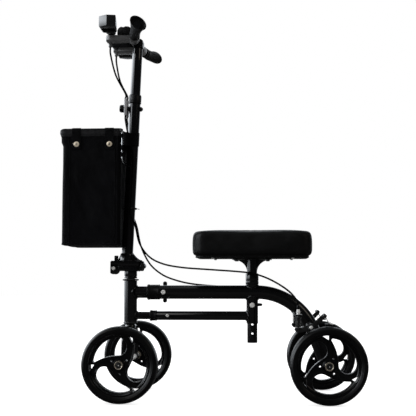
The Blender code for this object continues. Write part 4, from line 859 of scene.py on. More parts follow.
class Patterns:
    """The node groups that several finishes share, each built once."""

    @staticmethod
    def _shared(name: str, output: str, draw: Callable[..., Socket], **inputs: float) -> Tree:
        """A group with a vector, some numbers and one output, made at its first use.

        Args:
            name: The group's name.
            output: Its output's name.
            draw: What makes its value from its wiring and its inputs.
            inputs: The numbers that go in, with their defaults.

        Returns:
            The group.
        """
        found = bpy.data.node_groups.get(name)
        if found:
            return found
        tree = bpy.data.node_groups.new(name, "ShaderNodeTree")
        tree.interface.new_socket(name="Vector", in_out="INPUT", socket_type="NodeSocketVector")
        for label, default in inputs.items():
            socket = tree.interface.new_socket(name=label, in_out="INPUT",
                socket_type="NodeSocketFloat")
            socket.default_value = default
        tree.interface.new_socket(name=output, in_out="OUTPUT", socket_type="NodeSocketFloat")
        ends = tree.nodes.new("NodeGroupInput").outputs[:len(inputs) + 1]
        value = draw(Wiring(tree), *ends)
        tree.links.new(value, tree.nodes.new("NodeGroupOutput").inputs[0])
        return tree

    @classmethod
    def height(cls, pattern: Pattern) -> Tree:
        """The group that gives a pattern's height over the surface, from 0 to 1.

        Args:
            pattern: The pattern.

        Returns:
            The group.
        """
        draw = {Pattern.ORANGE_PEEL: cls._peel, Pattern.MOULDED: cls._moulded,
            Pattern.PEBBLED: cls._pebbles, Pattern.WOVEN: cls._weave,
            Pattern.RIBBED_WEB: cls._ribs, Pattern.BRUSHED: cls._brushed}[pattern]
        return cls._shared(pattern.value + "_height", "Height", draw, Scale=100.0)

    @classmethod
    def cloud(cls) -> Tree:
        """The group for slow changes over a surface: tone and sheen from place to place."""
        return cls._shared("cloud", "Value", cls._cloud, Scale=9.0, Low=0.0, High=1.0)

    @classmethod
    def wear(cls) -> Tree:
        """The group for wear: edges that have gone paler, broken up by fine scuffs."""
        return cls._shared("edge_wear", "Mask", cls._wear, Pointiness=0.5, Amount=0.2)

    @staticmethod
    def _peel(wire: Wiring, vector: Socket, scale: Socket) -> Socket:
        """The slight waves of sprayed paint."""
        return wire.noise(vector, scale, 1.0, 0.3)

    @staticmethod
    def _moulded(wire: Wiring, vector: Socket, scale: Socket) -> Socket:
        """The fine grain of a moulding."""
        return wire.maths("POWER", wire.noise(vector, scale, 4.0, 0.7), 1.6)

    @staticmethod
    def _brushed(wire: Wiring, vector: Socket, scale: Socket) -> Socket:
        """Fine lines along X."""
        drawn = wire.add("VectorMath", {0: vector, 1: (0.12, 1.0, 1.0)}, operation="MULTIPLY")
        return wire.noise(drawn.outputs[0], scale, 3.0, 0.6)

    @staticmethod
    def _pebbles(wire: Wiring, vector: Socket, scale: Socket) -> Socket:
        """Leather grain: rounded cells with creases between them.

        Args:
            wire: The tree that it goes in.
            vector: The place on the surface.
            scale: The pattern's scale.

        Returns:
            The grain's height.
        """
        reach, crease_width = 0.0016, 0.22
        warp = wire.add("TexNoise", {"Vector": vector, "Scale": 130.0})
        shift = wire.add("VectorMath", {0: warp.outputs["Color"], 1: (reach, reach, reach),
            2: vector}, operation="MULTIPLY_ADD")
        cells = wire.add("TexVoronoi", {"Vector": shift.outputs[0], "Scale": scale},
            feature="DISTANCE_TO_EDGE")
        crease = wire.maths("MINIMUM", cells.outputs["Distance"], crease_width)
        return wire.maths("MULTIPLY_ADD", wire.noise(vector, 2600.0, 2.0), 0.25,
            wire.maths("DIVIDE", crease, crease_width))

    @staticmethod
    def _threads(wire: Wiring, vector: Socket, scale: Socket) -> list[Socket]:
        """The waves of the threads round a piece and of those along Z.

        Args:
            wire: The tree that it goes in.
            vector: The place on the surface.
            scale: The pattern's scale.

        Returns:
            The two waves.
        """
        x, y, z = wire.add("SeparateXYZ", {0: vector}).outputs
        return [wire.maths("SINE", wire.maths("MULTIPLY_ADD", wire.maths("MULTIPLY", along, scale),
            math.tau, push)) for along, push in ((wire.maths("ADD", x, y), 0.0), (z, math.pi / 2))]

    @classmethod
    def _weave(cls, wire: Wiring, vector: Socket, scale: Socket) -> Socket:
        """Plain weave with thicker places in its threads.

        Args:
            wire: The tree that it goes in.
            vector: The place on the surface.
            scale: The pattern's scale.

        Returns:
            The weave's height.
        """
        crossing = wire.maths("MULTIPLY", *cls._threads(wire, vector, scale))
        return wire.maths("MULTIPLY_ADD", wire.noise(vector, 420.0, 3.0), 0.35,
            wire.maths("MULTIPLY_ADD", crossing, 0.5, 0.5))

    @classmethod
    def _ribs(cls, wire: Wiring, vector: Socket, scale: Socket) -> Socket:
        """Ribbed webbing.

        Args:
            wire: The tree that it goes in.
            vector: The place on the surface.
            scale: The pattern's scale.

        Returns:
            The ribs' height.
        """
        around, upright = cls._threads(wire, vector, scale)
        return wire.maths("MULTIPLY_ADD", upright, 0.5, wire.maths("MULTIPLY_ADD", around, 0.12,
            0.5))

    @staticmethod
    def _cloud(wire: Wiring, vector: Socket, scale: Socket, low: Socket, high: Socket) -> Socket:
        """Soft patches between a low and a high value."""
        return wire.spread(wire.noise(vector, scale, 4.0, 0.55), (0.32, 0.68), (low, high))

    @staticmethod
    def _wear(wire: Wiring, vector: Socket, point: Socket, amount: Socket) -> Socket:
        """The mask of rubbed edges and scuffs.

        Args:
            wire: The tree that it goes in.
            vector: The place on the surface.
            point: How convex the surface is.
            amount: How strong the wear is.

        Returns:
            The mask.
        """
        rubbed = wire.maths("MULTIPLY", wire.spread(point, (0.53, 0.66), (0.0, 1.0)),
            wire.noise(vector, 210.0, 5.0, 0.65))
        scuff = wire.maths("SUBTRACT", wire.noise(vector, 55.0, 8.0, 0.75), 0.66)
        scuff = wire.maths("MAXIMUM", wire.maths("MULTIPLY", scuff, 2.0), 0.0)
        return wire.maths("MULTIPLY", wire.maths("ADD", rubbed, scuff), amount)


@dataclass(frozen=True)
class Finish:
    """One surface finish: the shader's own values and the patterns that vary it.

    Attributes:
        name: The material's name.
        slot: The record's slot.
        colour: The base colour, linear.
        pale: The colour that worn edges and scuffs go towards.
        roughness: The least and greatest roughness over the surface.
        pattern: The relief.
        scale: The relief's scale.
        relief: The relief's depth in metres.
        metallic: 1 for bare metal.
        specular: The specular level.
        coat: The weight of a clear gloss coat.
        coat_roughness: That coat's roughness.
        sheen: The weight of a fabric's sheen.
        tone: How far the colour drifts from place to place.
        wear: How worn its edges are.
    """

    name: str
    slot: Slot
    colour: Colour
    pale: Colour
    roughness: tuple[float, float]
    pattern: Pattern
    scale: float
    relief: float
    metallic: float = 0.0
    specular: float = 0.5
    coat: float = 0.0
    coat_roughness: float = 0.08
    sheen: float = 0.0
    tone: float = 0.25
    wear: float = 0.15

    def material(self) -> bpy.types.Material:
        """The finish as a material, made at its first use."""
        found = bpy.data.materials.get(self.name)
        return found if found else self._make()

    def _make(self) -> bpy.types.Material:
        """Build the material's nodes.

        Returns:
            The material.
        """
        made = bpy.data.materials.new(self.name)
        made.use_nodes = True
        made.diffuse_color = (*self.colour, 1.0)
        wire = Wiring(made.node_tree)
        place = wire.add("TexCoord").outputs["Object"]
        edges = wire.add("NewGeometry").outputs["Pointiness"]
        tone = wire.group(Patterns.cloud(), place, Scale=14.0, Low=1.0 - self.tone, High=1.0
            + self.tone)
        shade = wire.add("Mix", {"Factor": 1.0, "A": (*self.colour, 1.0), "B": tone},
            data_type="RGBA", blend_type="MULTIPLY")
        worn = wire.group(Patterns.wear(), place, Pointiness=edges, Amount=self.wear)
        colour = wire.add("Mix", {"Factor": worn, "A": shade.outputs["Result"],
            "B": (*self.pale, 1.0)}, data_type="RGBA")
        least, most = self.roughness
        rough = wire.group(Patterns.cloud(), place, Scale=31.0, Low=least, High=most)
        relief = wire.group(Patterns.height(self.pattern), place, Scale=self.scale)
        bump = wire.add("Bump", {"Distance": self.relief, "Height": relief})
        wire.feed(made.node_tree.nodes["Principled BSDF"], {"Base Color": colour.outputs["Result"],
            "Roughness": rough, "Normal": bump.outputs["Normal"], "Metallic": self.metallic,
            "Specular IOR Level": self.specular, "Coat Weight": self.coat,
            "Coat Roughness": self.coat_roughness, "Sheen Weight": self.sheen})
        return made


GLOSS_PAINT = Finish("gloss_black_paint", Slot.PAINT, (0.002, 0.002, 0.0023), (0.05, 0.05, 0.052),
    (0.11, 0.18), Pattern.ORANGE_PEEL, 900.0, 3e-05, specular=0.48, tone=0.2, wear=0.08)
INNER_PAINT = Finish("inner_tube_paint", Slot.PAINT, (0.0018, 0.0018, 0.0021), (0.08, 0.08, 0.08),
    (0.05, 0.1), Pattern.ORANGE_PEEL, 500.0, 2e-05, specular=0.5, tone=0.15, wear=0.1)
FITTING_PLASTIC = Finish("fitting_plastic", Slot.PLASTIC, (0.0021, 0.0021, 0.0023),
    (0.04, 0.04, 0.042), (0.34, 0.48), Pattern.MOULDED, 1400.0, 5e-05, specular=0.22, tone=0.2,
    wear=0.12)
LEVER_PLASTIC = Finish("lever_plastic", Slot.PLASTIC, (0.0036, 0.0036, 0.004), (0.05, 0.05, 0.052),
    (0.2, 0.3), Pattern.MOULDED, 1600.0, 2e-05, specular=0.8, tone=0.2, wear=0.12)
RIM_PLASTIC = Finish("rim_plastic", Slot.PLASTIC, (0.0014, 0.0014, 0.0016), (0.03, 0.03, 0.032),
    (0.16, 0.28), Pattern.MOULDED, 1200.0, 2e-05, specular=0.26, tone=0.2, wear=0.1)
GRIP_RUBBER = Finish("grip_foam_rubber", Slot.GRIP, (0.0032, 0.0032, 0.0034), (0.03, 0.03, 0.03),
    (0.48, 0.62), Pattern.MOULDED, 2200.0, 6e-05, specular=0.25, tone=0.25, wear=0.1)
SHEATH = Finish("cable_sheath", Slot.GRIP, (0.0012, 0.0012, 0.0014), (0.01, 0.01, 0.01),
    (0.7, 0.85), Pattern.MOULDED, 2600.0, 2e-05, specular=0.07, tone=0.2, wear=0.05)
TYRE_RUBBER = Finish("solid_tyre_rubber", Slot.TYRE, (0.0015, 0.0015, 0.0017),
    (0.035, 0.034, 0.032), (0.26, 0.4), Pattern.MOULDED, 1500.0, 4e-05, specular=0.24, tone=0.25,
    wear=0.1)
VINYL = Finish("grained_vinyl", Slot.VINYL, (0.0026, 0.0026, 0.0028), (0.03, 0.03, 0.03),
    (0.36, 0.46), Pattern.PEBBLED, 620.0, 9e-05, specular=0.2, tone=0.18, wear=0.05)
BAG_CLOTH = Finish("bag_cloth", Slot.FABRIC, (0.0008, 0.0008, 0.0015), (0.02, 0.02, 0.024),
    (0.6, 0.76), Pattern.WOVEN, 1100.0, 0.00016, specular=0.07, sheen=0.008, tone=0.3, wear=0.05)
# The binding's colour is lighter than the bag's cloth: it paints in the sheen along the mouth's
# band.
SHEEN_PAINTED_BAND_CLOTH = Finish("bag_band_painted_sheen_cloth", Slot.FABRIC, (0.006, 0.0061, 0.0074), (0.03, 0.03, 0.034),
    (0.55, 0.7), Pattern.WOVEN, 1100.0, 0.00014, specular=0.22, sheen=0.04, tone=0.3, wear=0.05)
WEBBING = Finish("bag_webbing", Slot.FABRIC, (0.001, 0.001, 0.0016), (0.02, 0.02, 0.02),
    (0.6, 0.75), Pattern.RIBBED_WEB, 800.0, 0.0003, specular=0.08, sheen=0.008, tone=0.25,
    wear=0.06)
STITCH = Finish("bag_thread", Slot.FABRIC, (0.0075, 0.0075, 0.009), (0.03, 0.03, 0.03),
    (0.55, 0.7), Pattern.WOVEN, 2500.0, 0.0001, specular=0.25, tone=0.2, wear=0.0)
ZINC = Finish("bright_zinc", Slot.ZINC, (0.88, 0.88, 0.86), (0.92, 0.92, 0.9), (0.24, 0.38),
    Pattern.BRUSHED, 1500.0, 3e-05, metallic=0.3, tone=0.08, wear=0.3)
CHROME = Finish("chrome_wire", Slot.ZINC, (0.66, 0.67, 0.68), (0.8, 0.8, 0.8), (0.08, 0.16),
    Pattern.BRUSHED, 1500.0, 1e-05, metallic=1.0, tone=0.05, wear=0.1)
BRASS_SNAP = Finish("snap_nickel", Slot.ZINC, (0.82, 0.72, 0.56), (0.9, 0.85, 0.75), (0.22, 0.34),
    Pattern.BRUSHED, 1800.0, 2e-05, metallic=0.45, tone=0.12, wear=0.3)
PALE_FERRULE = Finish("cable_ferrule", Slot.STEEL, (0.3, 0.3, 0.31), (0.5, 0.5, 0.5), (0.3, 0.42),
    Pattern.MOULDED, 1300.0, 2e-05, specular=0.5, tone=0.15, wear=0.2)
HUB_METAL = Finish("hub_ring_plate", Slot.ZINC, (0.56, 0.5, 0.41), (0.75, 0.7, 0.6), (0.18, 0.3),
    Pattern.BRUSHED, 1500.0, 2e-05, metallic=0.8, tone=0.15, wear=0.3)
DARK_STEEL = Finish("oiled_steel", Slot.STEEL, (0.008, 0.008, 0.0086), (0.12, 0.12, 0.12),
    (0.3, 0.46), Pattern.MOULDED, 1300.0, 3e-05, metallic=0.0, specular=0.45, tone=0.3, wear=0.3)
CAST_GREY = Finish("perch_casting", Slot.PLASTIC, (0.11, 0.11, 0.112), (0.14, 0.14, 0.14),
    (0.24, 0.36), Pattern.MOULDED, 1400.0, 3e-05, specular=0.6, tone=0.25, wear=0.25)
SPRING_STEEL = Finish("spring_steel", Slot.STEEL, (0.007, 0.007, 0.0075), (0.1, 0.1, 0.1),
    (0.26, 0.4), Pattern.BRUSHED, 1800.0, 2e-05, metallic=0.1, tone=0.2, wear=0.3)
BOARD_PLASTIC = Finish("board_moulding", Slot.BOARD, (0.004, 0.004, 0.004), (0.04, 0.04, 0.04),
    (0.5, 0.7), Pattern.MOULDED, 900.0, 0.0001, specular=0.22, tone=0.25, wear=0.15)


class Fit:
    """Dresses finished pieces and fixes them to the CAD model."""

    @staticmethod
    def dress(piece: Piece, finish: Finish, nodes: Sequence[str]) -> None:
        """Give a piece its finish and let it stand for CAD nodes, if any.

        Args:
            piece: The piece.
            finish: The finish.
            nodes: The CAD nodes that it replaces.
        """
        piece.data.materials.clear()
        piece.data.materials.append(finish.material())
        if nodes:
            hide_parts(*nodes)

    @staticmethod
    def stand(piece: Piece, finish: Finish, body: Body, *nodes: str) -> Piece:
        """Dress a piece and ride it on its body.

        Args:
            piece: The finished piece, in its place.
            finish: Its finish.
            body: The CAD body that it moves with.
            nodes: The CAD nodes that it replaces, if any.

        Returns:
            The piece.
        """
        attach(piece, body.value)
        Fit.dress(piece, finish, nodes)
        LOG.info("%s rides on %s", piece.name, body.value)
        return piece

    @staticmethod
    def bend(piece: Piece, finish: Finish, bodies: tuple[Body, Body], start: Sequence[float],
            end: Sequence[float], *nodes: str) -> Piece:
        """Dress a piece and bake its place into its mesh, without a body to ride on.

        Args:
            piece: The finished piece, in its place.
            finish: Its finish.
            bodies: The body at its start and the body at its end; not used.
            start: Where it still follows the first body; not used.
            end: Where it follows the second body; not used.
            nodes: The CAD nodes that it replaces, if any.

        Returns:
            The piece.
        """
        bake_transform(piece)
        Fit.dress(piece, finish, nodes)
        return piece


@dataclass
class FrameTubes:
    """The main tube, the lower tube, the seat sleeve, the head tube and their joints."""

    bend_radius: float = 0.165
    bend_start: float = 0.12175
    joint_front: float = -0.18355
    collar_length: float = 0.034
    collar_wall: float = 0.0025
    joint_bolt_x: float = -0.13785
    lower_front: float = -0.17605
    lower_collar_length: float = 0.0185
    lower_bolt_x: float = -0.12685
    sleeve_radius: float = 0.016
    sleeve_low: float = 0.2
    sleeve_top: float = 0.338
    sleeve_collar: float = 0.029
    post_radius: float = 0.0141
    seat_bolt_z: float = 0.2505
    head_radius: float = 0.018
    head_low: float = 0.2035
    head_top: float = 0.3175
    axle_tube_radius: float = 0.015
    axle_tube_half: float = 0.1442

    def build(self) -> None:
        """Make every piece that is welded or bolted to the main tube."""
        self.main_tube()
        self.lower_tube()
        self.seat_sleeve()
        self.head_tube()
        self.joints()
        self.rear_end()

    def main_line(self, step: float = 2.5) -> list[Vector]:
        """The main tube's middle, from its front end down to the rear axle.

        Args:
            step: Degrees between the bend's points.

        Returns:
            The line's points.
        """
        centre = Vector((self.bend_start, LAYOUT.main_z - self.bend_radius))
        to_axle = Vector((LAYOUT.rear_x, LAYOUT.wheel_radius)) - centre
        last = math.degrees(math.atan2(to_axle.y, to_axle.x) + math.acos(self.bend_radius
            / to_axle.length))
        bend = arc((centre.x, centre.y), self.bend_radius, 90, last, round((90 - last) / step))
        flat = [(self.joint_front + 0.001, LAYOUT.main_z), *bend,
            (LAYOUT.rear_x, LAYOUT.wheel_radius)]
        return [Vector((x, 0.0, z)) for x, z in flat]

    def main_tube(self) -> None:
        """The bent main tube with the welds of what meets it."""
        Fit.stand(Bench.sweep("main_tube_skin", self.main_line(), LAYOUT.main_radius, 48),
            GLOSS_PAINT, Body.FRAME, "main_tube")
        seams = []
        for way in 1, -1:
            seams.append(Hardware.weld("seam", Hardware.saddle((LAYOUT.seat_x, 0, LAYOUT.main_z),
                Vector((0, 0, way)), self.sleeve_radius, Vector((1, 0, 0)), LAYOUT.main_radius),
                0.0026))
        line = self.main_line()
        fall = (line[-2] - line[-1]).normalized()
        seams.append(Hardware.weld("seam", [p + fall * 0.0006 for p in Hardware.saddle(line[-1],
            fall, LAYOUT.main_radius * 0.78, Vector((0, 1, 0)), self.axle_tube_radius)], 0.003))
        Fit.stand(Bench.group("main_tube_welds", *seams), GLOSS_PAINT, Body.FRAME)

    def lower_tube(self) -> None:
        """The straight lower tube, welded to the seat sleeve."""
        length = LAYOUT.seat_x - self.lower_front - 0.012
        Fit.stand(Bench.lathe("lower_tube_skin",
            [*mm(-1.5, 0.5, -0.5, 0, 0, 0.8, x=LAYOUT.lower_radius), (LAYOUT.lower_radius,
            length)], 48, at=(self.lower_front, 0, LAYOUT.lower_z), turn=ALONG_X), GLOSS_PAINT,
            Body.FRAME, "lower_tube")
        Fit.stand(Hardware.weld("lower_tube_weld",
            Hardware.saddle((LAYOUT.seat_x, 0, LAYOUT.lower_z), Vector((-1, 0, 0)),
            LAYOUT.lower_radius, UPRIGHT, self.sleeve_radius), 0.0024), GLOSS_PAINT, Body.FRAME)

    def seat_sleeve(self) -> None:
        """The sleeve that the seat post slides in, with its thicker top and its bolt."""
        base = self.sleeve_top - self.sleeve_collar
        wide = self.sleeve_radius + 0.002
        sleeve = Bench.lathe("seat_sleeve_skin", [(self.post_radius + 0.0002, self.sleeve_low),
            (self.sleeve_radius, self.sleeve_low), (self.sleeve_radius, base - 0.0015),
            *mm(-0.4, 0, 0, 1.2, 0, 7, -0.6, 7.8, -0.6, 9, 0, 9.8, x=wide, y=base),
            *mm(0, -2.2, -0.8, -0.6, -1.8, 0, x=wide, y=self.sleeve_top),
            (self.post_radius + 0.0002, self.sleeve_top)], 48, hollow=True, bevel=0.0003,
            at=(LAYOUT.seat_x, 0, 0))
        boss = Bench.lathe("boss", mm(8.8, -4, 8.8, 0.4, y=self.sleeve_radius), 32, bevel=0.0003,
            at=(LAYOUT.seat_x, 0, self.seat_bolt_z), turn=Side.LEFT.outward)
        Fit.stand(Bench.group("seat_sleeve_skin", sleeve, boss), GLOSS_PAINT, Body.FRAME,
            "seat_sleeve")
        Fit.stand(Hardware.bolt("seat_bolt_head", (LAYOUT.seat_x, -self.sleeve_radius - 0.0004,
            self.seat_bolt_z), (0, -1, 0), 0.0062, 0.0036, 0.0015), ZINC, Body.FRAME, "seat_bolt")

    def head_tube(self) -> None:
        """The head tube, its two stubs, their welds and the headset rings."""
        height = self.head_low, self.head_top
        lip = self.head_radius
        tube = Bench.lathe("tube", [(0.015, height[0]), (lip - 0.0008, height[0]),
            (lip, height[0] + 0.0008), (lip, height[1] - 0.0008), (lip - 0.0008, height[1]),
            (0.015, height[1])], 56, hollow=True, at=(LAYOUT.head_x, 0, 0))
        parts, seams = [tube], []
        for radius, stub_z, reach in ((0.0164, LAYOUT.main_z, 0.06), (0.0105, LAYOUT.lower_z,
                0.064)):
            parts.append(Bench.lathe("stub", [(radius, 0.0155), (radius, reach)], 40,
                at=(LAYOUT.head_x, 0, stub_z), turn=ALONG_X))
            seams.append(Hardware.weld("seam", Hardware.saddle((LAYOUT.head_x, 0, stub_z),
                Vector((1, 0, 0)), radius, UPRIGHT, self.head_radius), 0.0026))
        Fit.stand(Bench.group("head_tube_skin", *parts), GLOSS_PAINT, Body.FRAME, "head_tube")
        Fit.stand(Bench.group("head_tube_welds", *seams), GLOSS_PAINT, Body.FRAME)
        Fit.stand(Bench.lathe("headset_ring_cup", mm(13.3, 0.2, 18, 0.2, 20.5, 0.6, 22.9, 1.8,
            23.4, 2.8, 22.9, 3.8, 20.5, 4.8, 18, 5.3, 13.3, 5.3), 56, hollow=True, smooth=50,
            at=(LAYOUT.head_x, 0, self.head_top)), DARK_STEEL, Body.FRAME, "headset_ring")
        Fit.stand(Bench.lathe("lower_headset_cup", mm(15, -4.5, 18.6, -4.5, 19.6, -3, 19.6, -0.8,
            18.6, 0.4, 15, 0.4), 56, hollow=True, bevel=0.0003, at=(LAYOUT.head_x, 0,
            self.head_low)), DARK_STEEL, Body.FRAME)

    def joints(self) -> None:
        """The plastic collars over the plug joints and the bolts through them."""
        for name, radius, front, length, height in (("upper_joint_collar", LAYOUT.main_radius,
                self.joint_front - 0.0003, self.collar_length, LAYOUT.main_z),
                ("lower_joint_collar", LAYOUT.lower_radius, self.lower_front - 0.0003,
                self.lower_collar_length, LAYOUT.lower_z)):
            wide = radius + self.collar_wall
            bore = radius * 0.86
            Fit.stand(Bench.lathe(name + "_sleeve", [(bore, 0.0), *mm(-0.8, 0, 0, 0.9, 0, 5.2,
                -0.8, 6.2, x=wide), *mm(-0.8, -3, -0.4, -2.2, -0.4, -0.6, -1.2, 0, x=wide,
                y=length), (radius + 0.0002, length), (radius + 0.0002, 0.003), (bore, 0.003)], 48,
                hollow=True, bevel=0.0002, at=(front, 0, height), turn=ALONG_X), FITTING_PLASTIC,
                Body.FRAME, name)
        for name, bolt_x, height, radius, head, socket in (("upper_joint_bolt", self.joint_bolt_x,
                LAYOUT.main_z, LAYOUT.main_radius, 0.0057, 0.0018), ("lower_joint_bolt",
                self.lower_bolt_x, LAYOUT.lower_z, LAYOUT.lower_radius, 0.0037, 0.0019)):
            Fit.stand(Hardware.bolt(name + "_head", (bolt_x, -radius - 0.0001, height), (0, -1, 0),
                head, 0.0036, radius * 2, socket=socket), ZINC, Body.FRAME, name)
        Fit.stand(Hardware.bolt("lower_joint_nut", (self.lower_bolt_x, LAYOUT.lower_radius
            + 0.0001, LAYOUT.lower_z), (0, 1, 0), 0.0046, 0.003, 0.002), ZINC, Body.FRAME)

    def rear_end(self) -> None:
        """The rear axle tube with its end bushes and the axle's capped ends."""
        half, radius = self.axle_tube_half, self.axle_tube_radius
        Fit.stand(Bench.lathe("rear_axle_tube_skin", [(0.008, -half), (radius - 0.0008, -half),
            (radius, -half + 0.0008), (radius, half - 0.0008), (radius - 0.0008, half),
            (0.008, half)], 48, hollow=True, at=(LAYOUT.rear_x, 0, LAYOUT.wheel_radius),
            turn=ALONG_Y), GLOSS_PAINT, Body.FRAME, "rear_axle_tube")
        Axle("rear_axle", LAYOUT.rear_x, Body.FRAME).build()


@dataclass
class Axle:
    """A steel axle across the walker, with a bolt head and a washer outside each hub."""

    name: str
    x: float
    body: Body
    shoulder: float = 0.0073
    radius: float = 0.0058
    inner: float = 0.1447
    outer: float = 0.1853

    def build(self) -> None:
        """Make the axle, and at each end its ring and the sunk head in it."""
        Fit.stand(Bench.lathe(self.name + "_steel", [(self.radius, -self.outer),
            (self.radius, -self.inner), (self.shoulder, -self.inner), (self.shoulder, self.inner),
            (self.radius, self.inner), (self.radius, self.outer)], 32,
            at=(self.x, 0, LAYOUT.wheel_radius), turn=ALONG_Y), ZINC, self.body, self.name)
        for side in Side:
            ring = Bench.lathe(f"{self.name}_ring_{side.word}", mm(8, 0.1, 10.4, 0.1, 10.8, 0.7,
                10.7, 1.7, 10.3, 2.4, 9.4, 2.5, 8.6, 1.9, 8, 0.8), 48, hollow=True, smooth=50)
            head = Bench.lathe(f"{self.name}_head_{side.word}", mm(8.2, 0, 8.2, 0.6, 5.8, 0.8, 5.5,
                1.4, 4.4, 1.8), 36, smooth=40)
            Bench.carve(head, Bench.lathe("socket", mm(2.6, 0.3, 2.6, 4), 6))
            stud = Bench.lathe(f"{self.name}_stud_{side.word}", mm(1.1, 0.2, 1.1, 1, 0.7, 1.3), 16)
            at = self.x, side.value * self.outer, LAYOUT.wheel_radius
            for piece, finish in (ring, HUB_METAL), (head, DARK_STEEL), (stud, ZINC):
                Fit.stand(Bench.settle(piece, at, side.outward), finish, self.body)


@dataclass
class RearBrakes:
    """For each side the bracket, the barrel adjuster, the rocker, its spring and its shoe."""

    line: float = 0.13
    pivot_x: float = 0.26315
    pivot_z: float = 0.1965
    barrel_x: float = 0.23015
    plate_z: float = 0.2265
    plate_thickness: float = 0.003
    seat_z: float = 0.196
    shoe_x: float = 0.30915
    arm_end: Flat = (0.29615, 0.2275)
    spring_radius: float = 0.0062
    wire: float = 0.0013
    turns: int = 8

    def build(self) -> None:
        """Make the cross shaft and both brakes."""
        self.shaft()
        for side in Side:
            self.bracket(side)
            self.barrel(side)
            self.rocker(side)
            self.spring(side)

    def shaft(self) -> None:
        """The shaft through the main tube, with its spacers and end nuts."""
        parts = []
        for side in Side:
            rod = Bench.lathe("rod", mm(8.8, 18.6, 8.8, 21.5, 7.8, 22.2, 7.8, 121.5, 8.4, 122.2,
                8.4, 123.6, 4.9, 123.7, 4.9, 136.6), 32, bevel=0.0002)
            nut = Bench.settle(Hardware.hex_head(0.0078, 0.004), (0, 0, 0.1363))
            tip = Bench.lathe("tip", mm(3.4, 139, 3.4, 140.4), 20, bevel=0.0004)
            parts.append(Bench.settle(Bench.group("half", rod, nut, tip),
                (self.pivot_x, 0, self.pivot_z), side.outward))
        Fit.stand(Bench.group("brake_shaft_steel", *parts), DARK_STEEL, Body.FRAME, "brake_shaft")
        for side in Side:
            Fit.stand(Bench.lathe(f"brake_shaft_nut_{side.word}", mm(4.6, 0, 4.6, 1.2, 3.6, 2.4,
                1.8, 3), 28, at=(self.pivot_x, side.value * 0.1396, self.pivot_z),
                turn=side.outward), ZINC, Body.FRAME)

    def bracket(self, side: Side) -> None:
        """The plate that reaches from the main tube to the cable's end.

        Args:
            side: The walker's side.
        """
        low, high = self.barrel_x - 0.011, self.barrel_x + 0.011
        outline = [(low + 0.001, 0.017), (high - 0.001, 0.017), (high, 0.03),
            (high, self.line + 0.004), *arc((high - 0.007, self.line + 0.004), 0.007, 0, 90, 5),
            *arc((low + 0.007, self.line + 0.004), 0.007, 90, 180, 5), (low, 0.03)]
        outline = [(x, side.value * y) for x, y in outline]
        plate = Bench.plate("plate", outline, self.plate_z, self.plate_z + self.plate_thickness,
            "Z", 0.0006)
        rib_low, rib_high = side.span(0.018, 0.128)
        rib = Bench.block("rib", (low + 0.0006, rib_low, self.plate_z + 0.002),
            (low + 0.0032, rib_high, self.plate_z + 0.0075), 0.0008)
        Fit.stand(Bench.group(f"brake_bracket_{side.word}_plate", plate, rib), GLOSS_PAINT,
            Body.FRAME, f"brake_bracket_{side.word}")

    def barrel(self, side: Side) -> None:
        """The knurled barrel adjuster with its lock nut.

        Args:
            side: The walker's side.
        """
        top = self.plate_z + self.plate_thickness
        stem = Bench.lathe("stem", [(0.0027, 0.2226), (0.0036, 0.2226), (0.0036, top + 0.0004),
            (0.0027, top + 0.0004)], 28, hollow=True)
        nut = Bench.settle(Hardware.hex_head(0.0051, 0.0026), (0, 0, top + 0.0003))
        knurl = Bench.lathe("knurl", [(0.0046, top + 0.0032), (0.0051, top + 0.0038),
            *mm(5.1, 238.4, 4.6, 239, 4, 239.4, 4, 242.6, 3.6, 242.9)], 48)
        for corner in knurl.data.vertices:
            if top + 0.0035 < corner.co.z < 0.2386:
                turn = math.atan2(corner.co.y, corner.co.x)
                corner.co.xy *= 1.0 - 0.05 * (round(turn / math.tau * 48) % 2)
        made = Bench.group(f"barrel_adjuster_{side.word}_steel", stem, nut, knurl)
        Bench.settle(made, (self.barrel_x, side.value * self.line, 0))
        Fit.stand(made, ZINC, Body.FRAME, f"barrel_adjuster_{side.word}")

    def rocker(self, side: Side) -> None:
        """The pressed rocker arm, its boss, the cross pin and the shoe over the tyre.

        Args:
            side: The walker's side.
        """
        body = Body(f"{side.word}_rocker")
        x, z, y = self.pivot_x, self.pivot_z, side.value * self.line
        end_x, end_z = self.arm_end
        outline = [*mm(-10.5, -6.6, -4, -13.5, 10, -12.5, x=self.barrel_x, y=self.seat_z),
            *arc((x, z), 0.0093, 250, 320, 5), (end_x + 0.0035, end_z - 0.0066),
            *arc((end_x + 0.0008, end_z), 0.0052, -30, 110, 6), *arc((x, z), 0.0093, 70, 130, 5),
            (self.barrel_x + 0.012, self.seat_z - 0.001), (self.barrel_x - 0.0085, self.seat_z
            - 0.0006)]
        plates = [Bench.plate("arm", outline, y + offset, y + offset + 0.0018, "Y", 0.0004)
            for offset in (-0.003, 0.0012)]
        plates.append(Bench.lathe("boss", mm(9.2, -5.8, 9.2, 5.8), 40, bevel=0.0006, at=(x, y, z),
            turn=ALONG_Y))
        plates.append(Bench.lathe("seat", mm(8.5, -3.4, 8.8, -1.2, 7.8, -0.2, 4.6, 0, 4.6, 2.6,
            3.4, 3.2), 36, at=(self.barrel_x, y, self.seat_z)))
        reach = side.value * (LAYOUT.track_half - self.line + 0.0125)
        plates.append(Bench.lathe("pin", [(0.004, -0.0005), (0.0044, 0.0),
            (0.0044, abs(reach) - 0.001), (0.0036, abs(reach) + 0.0004)], 28, at=(end_x, y, end_z),
            turn=side.outward))
        Fit.stand(Bench.group(f"brake_rocker_{side.word}_steel", *plates), DARK_STEEL, body,
            f"brake_rocker_{side.word}")
        self.shoe(side, body)

